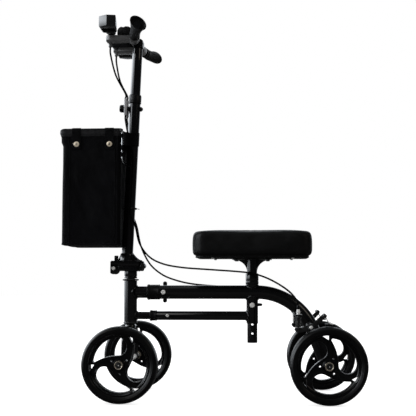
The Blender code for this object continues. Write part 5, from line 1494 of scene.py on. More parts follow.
    def shoe(self, side: Side, body: Body) -> None:
        """The bright edged strip that presses on the tyre, with its rubber pad.

        Args:
            side: The walker's side.
            body: The CAD body that it rides on.
        """
        middle, half = side.value * LAYOUT.track_half, 0.0128
        end_x, end_z = self.arm_end
        foot = LAYOUT.wheel_radius * 2 + 0.003
        upper = [(end_x + 0.001, end_z + 0.0018), *mm(-3, 10, 2, 6.2, 11.8, 4.4, x=self.shoe_x,
            y=foot)]
        outline = upper + [(x - 0.0012, z - 0.002) for x, z in reversed(upper)]
        Fit.stand(Bench.plate(f"brake_shoe_strip_{side.word}", outline, middle - half,
            middle + half, "Y", 0.0004), ZINC, body)
        Fit.stand(Bench.block(f"brake_shoe_pad_{side.word}", (self.shoe_x - 0.0118, middle - half,
            foot + 0.0002), (self.shoe_x + 0.0118, middle + half, foot + 0.0044), 0.001),
            TYRE_RUBBER, body)
        Fit.stand(Bench.lathe(f"brake_arm_knob_{side.word}", mm(5.2, 0, 5.2, 2.2, 4.2, 3.4, 2.2,
            4), 28, at=(end_x, middle + side.value * 0.0127, end_z), turn=side.outward),
            DARK_STEEL, body)

    def spring(self, side: Side) -> None:
        """The return spring as one unbroken wire with closed end turns.

        Args:
            side: The walker's side.
        """
        body = Body(f"{side.word}_rocker")
        bottom, top = self.seat_z + self.wire + 0.0004, self.plate_z - self.wire - 0.0004
        line, points = [], 28
        total = self.turns * points
        for i in range(total + 1):
            turn = math.tau * i / points
            share = i / total
            rise = min(1.0, max(0.0, (share - 0.06) / 0.88))
            rise = rise * 0.9 + 0.05 * min(1.0, share / 0.1) + 0.05 * max(0.0, (share - 0.9) / 0.1)
            line.append((self.barrel_x + self.spring_radius * math.cos(turn), side.value
                * self.line + self.spring_radius * math.sin(turn), bottom + (top - bottom) * rise))
        coil = Bench.sweep(f"brake_spring_{side.word}_coil", line, self.wire, 12)
        ends = [Vector((self.barrel_x, side.value * self.line, z)) for z in (bottom + self.wire,
            top - self.wire)]
        Fit.bend(coil, SPRING_STEEL, (body, Body.FRAME), *ends, f"brake_spring_{side.word}")


@dataclass
class Wheel:
    """One wheel: a moulded rim with teardrop openings and a solid tyre.

    The model is made lying about the origin with its axle along Z, and each of the walker's
    four wheels is a copy of it with a mesh of its own.
    """

    radius: float = LAYOUT.wheel_radius
    web_half: float = 0.009
    hub_radius: float = 0.015
    fat_radius: float = 0.0235
    fat_centre: float = 0.0475
    tip_radius: float = 0.004
    sweep: float = 76.0
    bow: float = 0.004
    bead: float = 0.0014
    phases: dict[Body, float] = field(default_factory=lambda: {Body.FRONT_LEFT_WHEEL: 51.0,
        Body.FRONT_RIGHT_WHEEL: 77.0, Body.REAR_LEFT_WHEEL: 81.0, Body.REAR_RIGHT_WHEEL: 103.0})

    def build(self) -> None:
        """Make the model once and set its four copies in their places."""
        rim, tyre = self.rim(), self.tyre()
        rings = [self.hub_ring(way) for way in (1, -1)]
        for body, phase in self.phases.items():
            corner = body.value.removesuffix("_wheel")
            x = LAYOUT.front_x if "front" in corner else LAYOUT.rear_x
            y = LAYOUT.track_half * (-1 if "left" in corner else 1)
            at = x, y, LAYOUT.wheel_radius
            turn = Quaternion((0, 1, 0), -math.radians(phase)) @ Quaternion((1, 0, 0),
                math.radians(90))
            for model, finish, name, *nodes in ((rim, RIM_PLASTIC, "rim_moulding",
                    f"{corner}_rim"), (tyre, TYRE_RUBBER, "tyre_moulding", f"{corner}_tyre"),
                    *((ring, HUB_METAL, f"hub_ring_{index}") for index, ring in enumerate(rings,
                    1))):
                Fit.stand(Bench.settle(Bench.twin(model, f"{corner}_{name}"), at, turn), finish,
                    body, *nodes)
        for model in rim, tyre, *rings:
            bpy.data.objects.remove(model)

    def tyre(self) -> Piece:
        """The solid tyre: a soft shoulder, a ridge on each side wall and two fine grooves.

        Returns:
            The tyre, lying about the origin.
        """
        half = mm(80, 18, 80.8, 18.5, 81.5, 19.7, 82.8, 20.4, 84, 20.7, 84.8, 21.4, 85.7, 21.6,
            86.6, 21.3, 88.4, 22.4, 90.4, 22.5, 92.4, 22.1, 94.1, 21.2, 95.6, 20, 96.9, 18.4, 97.9,
            16.4, 98.7, 14, 99.2, 11.8, 99.3, 10.4, 98.5, 9.8, 98.5, 9, 99.5, 8.4, 99.9, 6, 100, 2)
        profile = half + [(r, -h) for r, h in reversed(half)]
        return Bench.lathe("tyre_model", profile, 128, hollow=True, smooth=48)

    def rim(self) -> Piece:
        """The rim: a web with its openings, a stepped outer ring and a hub.

        Returns:
            The rim, lying about the origin.
        """
        web = Bench.lathe("rim_model", [(self.hub_radius - 0.004, -self.web_half),
            (0.0768, -self.web_half), (0.0768, self.web_half), (self.hub_radius - 0.004,
            self.web_half)], 128, hollow=True)
        cutters = [Bench.plate("cutter", outline, -0.02, 0.02, "Z", 0.0) for k in range(3)
            for outline in (self.opening(k), self.window(k), self.hole(k))]
        Bench.carve(web, *cutters)
        web = Bench.soften(web, 0.0008, 2, angle=50, smooth=40)
        ring = Bench.lathe("ring", mm(72.2, -8, 72.2, -10.2, 74.5, -11.2, 76.2, -14, 76.6, -18.2,
            77.4, -19, 79.7, -19, 80.6, -18.4, 80.9, -17.8, 80.9, 17.8, 80.6, 18.4, 79.7, 19, 77.4,
            19, 76.6, 18.2, 76.2, 14, 74.5, 11.2, 72.2, 10.2, 72.2, 8), 128, hollow=True,
            smooth=50)
        Bench.carve(ring, *(Bench.plate("cutter", self.window(k), -0.03, 0.03, "Z", 0.0)
            for k in range(3)))
        Bench.soften(ring, 0.0005, 1, angle=50, smooth=50)
        hub = Bench.lathe("hub", mm(6.6, -16.5, 6.6, -12, 9.8, -12, 9.8, -19.7, 13.8, -19.7, 14.5,
            -19, 14.8, -12, 16.2, -9.4, 18, -8.4, 18, 8.4, 16.2, 9.4, 14.8, 12, 14.5, 19, 13.8,
            19.7, 9.8, 19.7, 9.8, 12, 6.6, 12, 6.6, 16.5, 6.2, 16.5, 6.2, -16.5), 64, hollow=True,
            smooth=50)
        beads = []
        for k in range(3):
            for height in self.web_half, -self.web_half:
                line = [(x, y, height) for x, y in self.opening(k, self.bead)]
                beads.append(Bench.sweep("bead", line, self.bead, 12, closed=True))
        made = Bench.group("rim_model", web, ring, hub, *beads)
        Bench.take(made)
        return Bench.smooth(made, 42)

    def hub_ring(self, way: int) -> Piece:
        """The plated bearing ring and its dark shield on one face of the hub.

        Args:
            way: 1 or -1, the face's direction.

        Returns:
            The ring, where the hub has it.
        """
        ring = Bench.lathe(f"hub_ring_{way}", mm(8.2, 17.2, 9.2, 17.6, 9.8, 19, 10.4, 20, 11, 20.2,
            11.4, 19.8, 11.6, 18.8, 9, 16.5), 64, hollow=True, smooth=50)
        if way < 0:
            Bench.settle(ring, (0, 0, 0), Quaternion((1, 0, 0), math.pi))
        return ring

    def opening(self, k: int, grow: float = 0.0) -> list[Flat]:
        """One teardrop opening, swept round the hub.

        Args:
            k: Which of the three it is.
            grow: How far its outline is moved outwards.

        Returns:
            The outline's points.
        """
        fat_turn = -self.sweep
        outer = self.fat_centre + self.fat_radius
        turn = math.radians(fat_turn)
        fat = self.fat_centre * math.cos(turn), self.fat_centre * math.sin(turn)
        rim_side = arc((0, 0), outer, fat_turn, 0, 22)
        tip_end = arc((outer - self.tip_radius, 0.0), self.tip_radius, 0, 150, 9)
        fat_end = arc(fat, self.fat_radius, fat_turn - 188, fat_turn, 30)
        start, end = Vector(tip_end[-1]), Vector(fat_end[0])
        along = end - start
        bow = Vector((-along.y, along.x)).normalized() * self.bow
        inner = [start + along * t + bow * math.sin(math.pi * t)
            for t in (i / 10 for i in range(1, 10))]
        loop = rim_side[:-1] + tip_end + [(p.x, p.y) for p in inner] + fat_end[:-1]
        return outset(turned_flat(loop, math.radians(120 * k)), grow)

    @staticmethod
    def window(k: int) -> list[Flat]:
        """One of the small three-cornered windows just past a teardrop's tip.

        Args:
            k: Which of the three it is.

        Returns:
            The outline's points.
        """
        corners = (0.0782, 8.2), (0.0786, 15.0), (0.0782, 21.4), (0.0655, 8.4)
        return turned_flat(round_corners([(r * math.cos(math.radians(a)), r * math.sin(
            math.radians(a))) for r, a in corners], 0.0012), math.radians(120 * k))

    @staticmethod
    def hole(k: int) -> list[Flat]:
        """One of the small round holes near the hub.

        Args:
            k: Which of the three it is.

        Returns:
            The outline's points.
        """
        turn = math.radians(120 * k - 17.6)
        centre = 0.023 * math.cos(turn), 0.023 * math.sin(turn)
        return arc(centre, 0.0028, 0, 345, 23)


@dataclass
class Steerer:
    """What turns in the head tube: the stem, the lower fold block, the fork and its axle."""

    stem_radius: float = 0.0125
    cover_radius: float = 0.0178
    cover_low: float = 0.3241
    block_low: float = 0.3447
    block_top: float = 0.3587
    block_front: float = -0.28685
    block_half: float = 0.02
    knuckle_radius: float = 0.0078
    knuckle_half: float = 0.0103
    fork_radius: float = 0.008
    fork_half: float = 0.1
    fork_bend: float = 0.03
    crown_z: float = 0.186

    def build(self) -> None:
        """Make the steering parts."""
        self.stem()
        self.block()
        self.fork()
        Axle("front_axle", LAYOUT.front_x, Body.STEERER).build()

    def stem(self) -> None:
        """The stem, with the bearing cover that hides it above the headset."""
        stem = Bench.lathe("stem", [(self.stem_radius - 0.002, self.crown_z - 0.004),
            (self.stem_radius, self.crown_z), (self.stem_radius, self.block_low + 0.002)], 48)
        cover = Bench.lathe("cover", [(self.stem_radius - 0.001, self.cover_low),
            *mm(0, 0, 0, 4.2, -1.2, 5, -1.2, 6, 0, 6.8, x=self.cover_radius, y=self.cover_low),
            (self.cover_radius, 0.3436), (self.cover_radius - 0.0015, self.block_low + 0.001),
            (self.stem_radius - 0.001, self.block_low + 0.001)], 56, bevel=0.0004)
        made = Bench.group("stem_and_cover", stem, cover)
        Bench.settle(made, (LAYOUT.head_x, 0, 0))
        Fit.stand(made, GLOSS_PAINT, Body.STEERER, "steering_stem")

    def block(self) -> None:
        """The lower fold block with its two ears, the fold pin through them."""
        rear = LAYOUT.fold_pin_x - self.knuckle_radius - 0.0008
        body = Bench.plate("body", [(self.block_front, self.block_low + 0.0045),
            (self.block_front + 0.006, self.block_low), (rear, self.block_low),
            (rear, self.block_top), (self.block_front, self.block_top)], -self.block_half,
            self.block_half, "Y", 0.0)
        step = LAYOUT.lock_bolt_x + 0.0136
        for side in Side:
            low, high = side.span(0.0146, 0.03)
            Bench.carve(body, Bench.block("room", (self.block_front - 0.01, low, 0.3),
                (step, high, 0.4), 0.0))
        Bench.carve(body, Bench.block("slot", (LAYOUT.lock_bolt_x - 0.0066, -0.05, 0.3478),
            (LAYOUT.lock_bolt_x + 0.004, 0.05, 0.4), 0.0))
        shim = Bench.block("shim", (self.block_front + 0.024, -0.0185, self.block_top - 0.002),
            (rear - 0.0016, 0.0185, self.block_top + 0.0005), 0.0002, 1)
        parts = [Bench.soften(body, 0.0009, 2), shim]
        pin = LAYOUT.fold_pin_x, LAYOUT.fold_z
        outline = [(rear - 0.0035, self.block_low), (pin[0] - 0.001, self.block_low),
            *arc(pin, self.knuckle_radius - 0.0005, -72, 122, 18), (rear + 0.0015, self.block_top),
            (rear - 0.0035, self.block_top)]
        for side in Side:
            low, high = side.span(self.knuckle_half, self.block_half)
            parts.append(Bench.plate("ear", outline, low, high, "Y", 0.0007))
            seam = [(rear - 0.004, side.value * (0.011 + i * 0.0008), self.block_low + 0.0002)
                for i in range(12)]
            parts.append(Hardware.weld("seam", seam, 0.0014, closed=False))
        Fit.stand(Bench.group("lower_fold_block", *parts), GLOSS_PAINT, Body.STEERER)
        pin_steel = Bench.lathe("pin", mm(2.8, -21.6, 2.9, 21.6), 28)
        ends = [pin_steel]
        for side in Side:
            ends.append(Bench.lathe("head", mm(5, 20.3, 5, 21, 4.2, 21.8, 2.4, 22.1), 28,
                smooth=50, at=(0, 0, 0), turn=PLAIN_TURN if side is Side.RIGHT
                else Quaternion((1, 0, 0), math.pi)))
        Fit.stand(Bench.settle(Bench.group("fold_pin_steel", *ends), (pin[0], 0, pin[1]), ALONG_Y),
            DARK_STEEL, Body.STEERER, "fold_pin")

    def fork_line(self) -> list[Vector]:
        """The fork tube's middle, up one leg, across the crown and down the other.

        Returns:
            The line's points.
        """
        corner = self.fork_half - self.fork_bend, self.crown_z - self.fork_bend
        leg = [(self.fork_half, 0.0996), (self.fork_half, corner[1] - 0.002),
            *arc(corner, self.fork_bend, 0, 90, 14)]
        flat = leg + [(-y, z) for y, z in reversed(leg)]
        rise = self.crown_z - 0.1
        return [Vector((LAYOUT.front_x + (LAYOUT.head_x - LAYOUT.front_x) * max(0.0, z - 0.1)
            / rise, y, z)) for y, z in flat]

    def fork(self) -> None:
        """The bent fork, with the axle's bosses at the feet of its legs and the crown's weld."""
        parts = [Bench.sweep("tube", self.fork_line(), self.fork_radius, 40)]
        for side in Side:
            parts.append(Bench.lathe("boss", mm(10.8, -8.8, 11.2, -8, 11.2, 8, 10.8, 8.8), 40,
                at=(LAYOUT.front_x, side.value * self.fork_half, LAYOUT.wheel_radius),
                turn=ALONG_Y))
        seam = Hardware.saddle((LAYOUT.head_x, 0, self.crown_z), UPRIGHT, self.stem_radius * 0.98,
            Vector((0, 1, 0)), self.fork_radius + 0.0004)
        parts.append(Bench.lathe("crown", mm(0.2, -3, 2.2, -1.8, 2.2, 7.2, 0.4, 9.8,
            x=self.stem_radius), 48, at=(LAYOUT.head_x, 0, self.crown_z)))
        parts.append(Hardware.weld("seam", seam, 0.0022))
        Fit.stand(Bench.group("front_fork_tube", *parts), GLOSS_PAINT, Body.STEERER, "front_fork")


@dataclass
class Column:
    """The folding column: its tube on the upper block, the fold lock, the knob and the guide."""

    foot_z: float = 0.3693
    top_z: float = 0.8195
    socket_radius: float = 0.0195
    socket_height: float = 0.024
    inner_radius: float = 0.0144
    block_low: float = 0.3593
    block_top: float = 0.3733
    block_front: float = -0.28685
    block_half: float = 0.02
    knuckle_radius: float = 0.0078
    knuckle_half: float = 0.01
    cheek_radius: float = 0.0125
    gusset_height: float = 0.02
    knob_z: float = 0.805
    boss_radius: float = 0.0068
    boss_reach: float = 0.006
    clip_z: float = 0.52
    cable_side: float = 0.0215

    def build(self) -> None:
        """Make what rides on the column, and the two clamps on it."""
        self.tube()
        self.block()
        self.lock()
        self.collar()
        self.guide()
        self.knob()
        self.clip()

    @staticmethod
    def forwards() -> Quaternion:
        """The turn from upright to straight ahead of the leaning column."""
        return LAYOUT.column_turn @ UPRIGHT.rotation_difference(Vector((-1, 0, 0)))

    def tube(self) -> None:
        """The outer tube, open at its top, with its welded socket and the knob's boss."""
        high = LAYOUT.length(self.foot_z, self.top_z)
        wide, thin = self.socket_radius, LAYOUT.column_radius
        tube = Bench.lathe("tube", [(self.inner_radius, 0.004), (wide, 0.0),
            (wide, self.socket_height - 0.003), (wide - 0.0006, self.socket_height - 0.0014),
            (thin + 0.001, self.socket_height), (thin, self.socket_height + 0.0008),
            (thin, high - 0.0006), (thin - 0.0005, high), (self.inner_radius, high)], 64,
            hollow=True, smooth=30, at=LAYOUT.on_column(self.foot_z), turn=LAYOUT.column_turn)
        way, at = self.forwards(), LAYOUT.on_column(self.knob_z)
        boss = Bench.lathe("boss", [(self.boss_radius, thin - 0.004), (self.boss_radius,
            thin + self.boss_reach - 0.0006), (self.boss_radius - 0.0006, thin + self.boss_reach)],
            36, at=at, turn=way)
        tail = Bench.lathe("tail", [*mm(0, 4, 0, -3, -0.8, -4.2, x=self.boss_radius, y=-thin),
            (0.003, -thin - 0.0078)], 36, at=at, turn=way)
        Fit.stand(Bench.group("column_outer_tube", tube, boss, tail), GLOSS_PAINT, Body.COLUMN,
            "column_tube")

    def block(self) -> None:
        """The upper fold block: a plate with a knuckle, two cheeks and two gussets."""
        rear = LAYOUT.fold_pin_x - self.knuckle_radius - 0.0006
        parts = [Bench.plate("plate", [(self.block_front, self.block_low), (rear, self.block_low),
            (rear, self.block_top), (self.block_front + 0.0025, self.block_top), (self.block_front,
            self.block_top - 0.003)], -self.block_half, self.block_half, "Y", 0.0009)]
        pin = LAYOUT.fold_pin_x, LAYOUT.fold_z
        parts.append(Bench.plate("knuckle", [*arc(pin, self.knuckle_radius, -177, 58, 24),
            (pin[0] + 0.0016, self.block_top - 0.001), (rear - 0.003, self.block_top - 0.001),
            (rear - 0.003, self.block_low + 0.0006)], -self.knuckle_half, self.knuckle_half, "Y",
            0.0006))
        bolt = LAYOUT.lock_bolt_x, LAYOUT.lock_bolt_z - 0.004
        outline = [(self.block_front, self.block_low + 0.004), (self.block_front,
            LAYOUT.lock_bolt_z), *arc(bolt, self.cheek_radius, -158, -22, 18),
            (LAYOUT.lock_bolt_x + self.cheek_radius, LAYOUT.lock_bolt_z),
            (LAYOUT.lock_bolt_x + self.cheek_radius, self.block_low + 0.004)]
        outline = [(max(x, self.block_front), z) for x, z in outline]
        for side in Side:
            low, high = side.span(0.015, self.block_half)
            parts.append(Bench.plate("cheek", outline, low, high, "Y", 0.0007))
        top = self.block_top
        front = LAYOUT.column_x(top) - self.socket_radius + 0.002
        back = LAYOUT.column_x(top) + self.socket_radius - 0.002
        for foot, wall in (self.block_front + 0.016, front), (LAYOUT.fold_pin_x - 0.002, back):
            inside = wall + math.copysign(0.002, wall - foot)
            curve = [(foot, top - 0.002), (foot, top + 0.0015),
                *((foot + (wall - foot) * t, top + 0.0015 + self.gusset_height * t ** 1.8)
                for t in (i / 8 for i in range(1, 9))), (inside, top + self.gusset_height),
                (inside, top - 0.002)]
            parts.append(Bench.plate("gusset", curve, -0.0026, 0.0026, "Y", 0.0006))
        ring = round_points((LAYOUT.column_x(top), 0, top), self.socket_radius + 0.0003, 90)
        parts.append(Hardware.weld("seam", ring, 0.0019))
        Fit.stand(Bench.group("upper_fold_block", *parts), GLOSS_PAINT, Body.COLUMN)

    def lock(self) -> None:
        """The fold lock: its bolt with a bright head, and the cam lever on the far side."""
        at = LAYOUT.lock_bolt_x, LAYOUT.lock_bolt_z
        Fit.stand(Hardware.bolt("fold_lock_bolt_steel", (at[0], -self.block_half - 0.0002, at[1]),
            (0, -1, 0), 0.0045, 0.0036, self.block_half * 2), ZINC, Body.COLUMN, "fold_lock_bolt")
        hub_y = 0.0255
        barrel = Bench.lathe("barrel", mm(4.8, -6, 5.1, -5.6, 5.1, 5.6, 4.8, 6), 36,
            at=(at[0], hub_y, at[1]), turn=ALONG_X)
        outline = mm(-4.4, 0.5, -1.6, -4.6, 3, -3.8, 4.2, 1.5, 5.6, 10, 6, 19.5, 5.6, 30, 4.8,
            36.2, 3, 37, 0.8, 36.4, 0.2, 30, -0.6, 15, -2.2, 7.5, x=hub_y)
        lever = Bench.plate("lever", [(y, at[1] + z) for y, z in round_corners(outline, 0.0016)],
            at[0] - 0.0056, at[0] + 0.0056, "X", 0.0012, 3)
        Fit.stand(Bench.group("fold_lever_handle", barrel, lever), LEVER_PLASTIC, Body.FOLD_LEVER,
            "fold_lever")

    def collar(self) -> None:
        """The plastic collar that closes the outer tube's top."""
        thin, wide = self.inner_radius, 0.0178
        Fit.stand(Bench.lathe("column_collar_sleeve", [(thin, 0.0), (LAYOUT.column_radius + 0.0002,
            0.0), *mm(-0.4, 0.6, 0, 1.6, 0, 5.2, -0.7, 5.8, -0.7, 7, 0, 7.6, 0, 20.5, -0.6, 23.5,
            -2, 25.4, x=wide), (thin + 0.0006, 0.026), (thin, 0.0256)], 56, hollow=True, smooth=40,
            at=LAYOUT.on_column(self.top_z + 0.0004), turn=LAYOUT.column_turn), FITTING_PLASTIC,
            Body.COLUMN, "column_collar")

    def guide_x(self) -> float:
        """Where the cable guide's plate is, in front of the column."""
        reach = LAYOUT.column_radius + self.boss_reach + 0.0018
        return LAYOUT.column_x(self.knob_z) - reach * math.cos(LAYOUT.lean)

    def guide(self) -> None:
        """The guide plate, and a pale ferrule for each cable at its ends."""
        x = self.guide_x()
        plate = Bench.plate("cable_guide_plate", rounded_box((-0.0145, -0.0078), (0.0145, 0.0078),
            0.003), -0.0013, 0.0013, "X", 0.0004)
        Bench.settle(plate, (x, 0, self.knob_z), LAYOUT.column_turn)
        Fit.stand(plate, DARK_STEEL, Body.COLUMN)
        tubes = []
        for side in Side:
            tubes.append(Bench.lathe("tube", mm(2.4, -20, 3.6, -20, 4, -19, 4, -11.8, 4.4, -11,
                4.4, 12, 4, 12.8, 4, 27, 3.5, 28, 2.4, 28), 36, hollow=True, smooth=40,
                at=(x, side.value * 0.016, self.knob_z)))
        Fit.stand(Bench.group("cable_guide_tubes", *tubes), PALE_FERRULE, Body.COLUMN,
            "cable_guide")

    def knob(self) -> None:
        """The lobed clamp knob on its threaded stud."""
        count, lobes = 84, 7
        knob = Bench.lathe("column_knob_grip", mm(6, 0, 9, 0.4, 10.8, 2.2, 11, 6, 11, 12.5, 10.4,
            15.5, 8.5, 17.2, 5, 17.9, 2, 18), count, smooth=60)
        for corner in knob.data.vertices:
            if 0.001 < corner.co.z < 0.0165:
                turn = math.atan2(corner.co.y, corner.co.x)
                corner.co.xy *= 0.93 + 0.07 * abs(math.cos(turn * lobes / 2)) ** 0.6
        stud = Bench.lathe("column_knob_stud", mm(2.8, -6, 2.9, 1), 24)
        way = self.forwards()
        reach = LAYOUT.column_radius + self.boss_reach + 0.0034
        at = LAYOUT.on_column(self.knob_z) + way @ Vector((0, 0, reach))
        Fit.stand(Bench.settle(knob, at, way), FITTING_PLASTIC, Body.KNOB, "column_knob")
        Fit.stand(Bench.settle(stud, at, way), ZINC, Body.KNOB)

    def clip(self) -> None:
        """The zip tie round the column and both cables, with its head and cut tail."""
        centre = LAYOUT.on_column(self.clip_z)
        band = Bench.lathe("band", mm(16.05, -2.4, 17.4, -2.4, 17.6, -1.8, 17.6, 1.8, 17.4, 2.4,
            16.05, 2.4), 64, hollow=True)
        parts = [Bench.settle(band, centre, LAYOUT.column_turn)]
        for side in Side:
            parts.append(Bench.lathe("loop", mm(2.4, -2.2, 4.2, -2.2, 4.2, 2.2, 2.4, 2.2), 32,
                hollow=True, bevel=0.0003, at=(centre.x + 0.006, side.value * self.cable_side,
                self.clip_z)))
        head = Bench.block("head", (centre.x + 0.015, -0.003, self.clip_z - 0.0026),
            (centre.x + 0.0198, 0.003, self.clip_z + 0.0026), 0.0006)
        tail = Bench.plate("tail", mm(19, -1.1, 28.2, -2.2, 28.2, -0.9, 19, 0.8, x=centre.x,
            y=self.clip_z), -0.002, 0.002, "Y", 0.0002, 1)
        Fit.stand(Bench.group("cable_clip_band", *parts, head, tail), FITTING_PLASTIC, Body.COLUMN,
            "cable_clip")


@dataclass
class Bag:
    """The open fabric bag on its wire: the shell, its seams, its band, loops and snaps."""

    front: float = -0.40385
    back: float = -0.24385
    half: float = 0.11
    low: float = 0.408
    high: float = 0.7262
    corner: float = 0.011
    fullness: float = 0.0022
    lift: float = 0.0045
    notch: float = 0.02
    notch_half: float = 0.045
    wall: float = 0.0018
    strip_wall: float = 0.0009
    half_depth: float = 0.08
    wire_radius: float = 0.002
    wire_z: float = 0.7283
    wire_drop: float = 0.64
    band: float = 0.0165
    rows: int = 72

    def build(self) -> None:
        """Make the bag and the wire hanger."""
        outline = self.outline()
        self.shell(outline)
        self.trims(outline)
        self.loops()
        self.tie()
        self.hanger()

    def outline(self) -> list[Flat]:
        """The bag's footprint, evenly dense, from the middle of its back round to it again.

        Returns:
            The footprint's points.
        """
        back, front = self.back, self.front - self.fullness
        notch = back - self.notch
        right = [(notch, 0.0), (notch, self.notch_half - 0.02), (notch + 0.002, 0.033),
            (notch + 0.007, self.notch_half), (back - 0.0035, self.half - 0.024)]
        right += arc((back - 0.0095, self.half - 0.0095), 0.0095, 5, 90, 6)
        right += [(x, self.half) for x in (-0.27, -0.3, -0.33, -0.36)]
        right += arc((front + self.corner, self.half - self.corner), self.corner, 90, 180, 8)
        right += [(front, y) for y in (0.06, 0.03)] + [(front, 0.0)]
        loop = right + [(x, -y) for x, y in reversed(right[1:-1])]
        return self.even(loop, 260)

    @staticmethod
    def even(loop: Sequence[Flat], count: int) -> list[Flat]:
        """A closed outline resampled at even steps.

        Args:
            loop: The outline's points.
            count: How many points it gets.

        Returns:
            The resampled outline.
        """
        points = [Vector(p) for p in loop] + [Vector(loop[0])]
        reach = [0.0]
        for start, end in zip(points, points[1:]):
            reach.append(reach[-1] + (end - start).length)
        made, index = [], 0
        for i in range(count):
            goal = reach[-1] * i / count
            while reach[index + 1] < goal:
                index += 1
            t = (goal - reach[index]) / max(EPSILON, reach[index + 1] - reach[index])
            p = points[index].lerp(points[index + 1], t)
            made.append((p.x, p.y))
        return made

    def sag(self, x: float, y: float, z: float) -> Vector:
        """Where a point of the bag's wall hangs: pulled in, folded and puckered.

        Args:
            x: The point's place on the flat bag, front to back.
            y: The same, left to right.
            z: The same, its height.

        Returns:
            The place where it hangs.
        """
        share = (z - self.low) / (self.high - self.low)
        place = Vector((x, y, z + self.lift * max(0.0, 1.0 - share)))
        free = math.sin(math.pi * min(1.0, max(0.0, share))) ** 0.7
        along = y * 2.2 + x * 3.1
        drape = noise.noise(Vector((along * 6.0, share * 2.1, 3.7))) * 0.0034
        drape += noise.noise(Vector((along * 13.0 + share * 5.0, share * 3.4, 8.1))) * 0.0016
        drape += noise.noise(Vector((x * 60.0, y * 60.0, z * 26.0))) * 0.0005
        crease = math.sin((share * 1.9 + along * 3.4) * math.pi + math.copysign(0.8, y))
        drape += 0.0014 * crease * free
        pull = 0.0014 * free + 0.0004 * (1.0 - share)
        middle = Vector(((self.front + self.back) / 2, 0.0))
        inward = Vector((middle.x - x, -y))
        spread = Vector((abs(inward.x) / self.half_depth, abs(inward.y) / self.half))
        inward = Vector((math.copysign(spread.x ** 6, inward.x), math.copysign(spread.y ** 6,
            inward.y)))
        if inward.length > EPSILON:
            inward.normalize()
        corner = min(1.0, spread.x ** 4 * spread.y ** 4 * 1.5)
        depth = max(0.0, pull + drape * free * 0.9) * (1.0 - 0.8 * corner)
        place.x += inward.x * depth
        place.y += inward.y * depth
        if x < middle.x:
            slack = corner * min(1.0, 2.4 * max(0.0, 1.0 - abs(share - 0.95) / 0.085))
            crumple = noise.noise(Vector((x * 90.0, y * 90.0, z * 95.0)))
            place.x -= (0.0042 + 0.0034 * crumple) * slack
        place.z += 0.001 * noise.noise(Vector((x * 22.0, y * 22.0, 1.3))) * (1.0 - share)
        return place

    def shell(self, outline: list[Flat]) -> None:
        """The bag itself: lofted row by row, its floor closed, then given its thickness.

        Args:
            outline: The bag's footprint.
        """
        bag = Bench.circle("bag_shell", len(outline), filled=False)
        for corner, (x, y) in zip(bag.data.vertices, outline):
            corner.co = x, y, self.low
        Bench.edit(bag)
        height = self.high - self.low
        for _ in range(self.rows):
            bpy.ops.mesh.extrude_edges_move(TRANSFORM_OT_translate={
                "value": (0, 0, height / self.rows)})
        bpy.ops.object.mode_set(mode="OBJECT")
        Bench.edit(bag)
        bpy.ops.mesh.select_all(action="DESELECT")
        bpy.ops.object.mode_set(mode="OBJECT")
        for corner in bag.data.vertices:
            corner.select = corner.co.z < self.low + MERGE_DISTANCE
        bpy.ops.object.mode_set(mode="EDIT")
        centre = (self.front + self.back) / 2, 0, self.low
        shares = 1.0, 0.97, 0.9, 0.72, 0.5, 0.28, 0.1
        for before, share in zip(shares, shares[1:]):
            bpy.ops.mesh.extrude_edges_move(TRANSFORM_OT_translate={"value": (0, 0, 0)})
            scale = share / before
            bpy.ops.transform.resize(value=(scale, scale, 1), center_override=centre)
        bpy.ops.mesh.edge_face_add()
        Bench.close(outwards=False)
        for corner in bag.data.vertices:
            corner.co = self.sag(*corner.co)
            if corner.co.z < self.low + self.lift + 0.004:
                spread = Vector((corner.co.x - centre[0], corner.co.y))
                edge = max(abs(spread.x) / self.half_depth, abs(spread.y) / self.half)
                corner.co.z = self.low + self.lift + 0.0006 + 0.0022 * min(1.0, edge) ** 12
        Bench.face_outwards(bag)
        Bench.modify(bag, "SOLIDIFY", thickness=self.wall, offset=-1.0)
        Bench.smooth(bag, 55)
        Fit.stand(bag, BAG_CLOTH, Body.COLUMN, "bag")

    def wall_line(self, outline: list[Flat], height: float, off: float) -> list[Vector]:
        """A line round the bag's wall at a height, a little off its surface.

        Args:
            outline: The bag's footprint.
            height: The height.
            off: How far outside the wall it runs.

        Returns:
            The line's points.
        """
        moved = outset(outline, off)
        return [self.sag(x, y, height) + Vector((mx - x, my - y, 0)) for (x, y),
            (mx, my) in zip(outline, moved)]

    def strip(self, name: str, rows: Sequence[Sequence[Vector]], closed: bool) -> Piece:
        """A strip of cloth through rows of points, thickened.

        Args:
            name: The strip's name.
            rows: Its rows, every one with as many points.
            closed: True where each row joins up with its start.

        Returns:
            The strip.
        """
        count = len(rows[0])
        Bench.clear()
        bpy.ops.mesh.primitive_grid_add(x_subdivisions=max(1, count - (0 if closed else 1)),
            y_subdivisions=len(rows) - 1, size=1)
        piece = Bench.named(name)
        width = count + 1 if closed else count
        for index, corner in enumerate(piece.data.vertices):
            row, place = divmod(index, width)
            corner.co = rows[row][place % count]
        Bench.edit(piece)
        Bench.close()
        Bench.modify(piece, "SOLIDIFY", thickness=self.strip_wall, offset=0.0)
        return Bench.smooth(piece, 50)

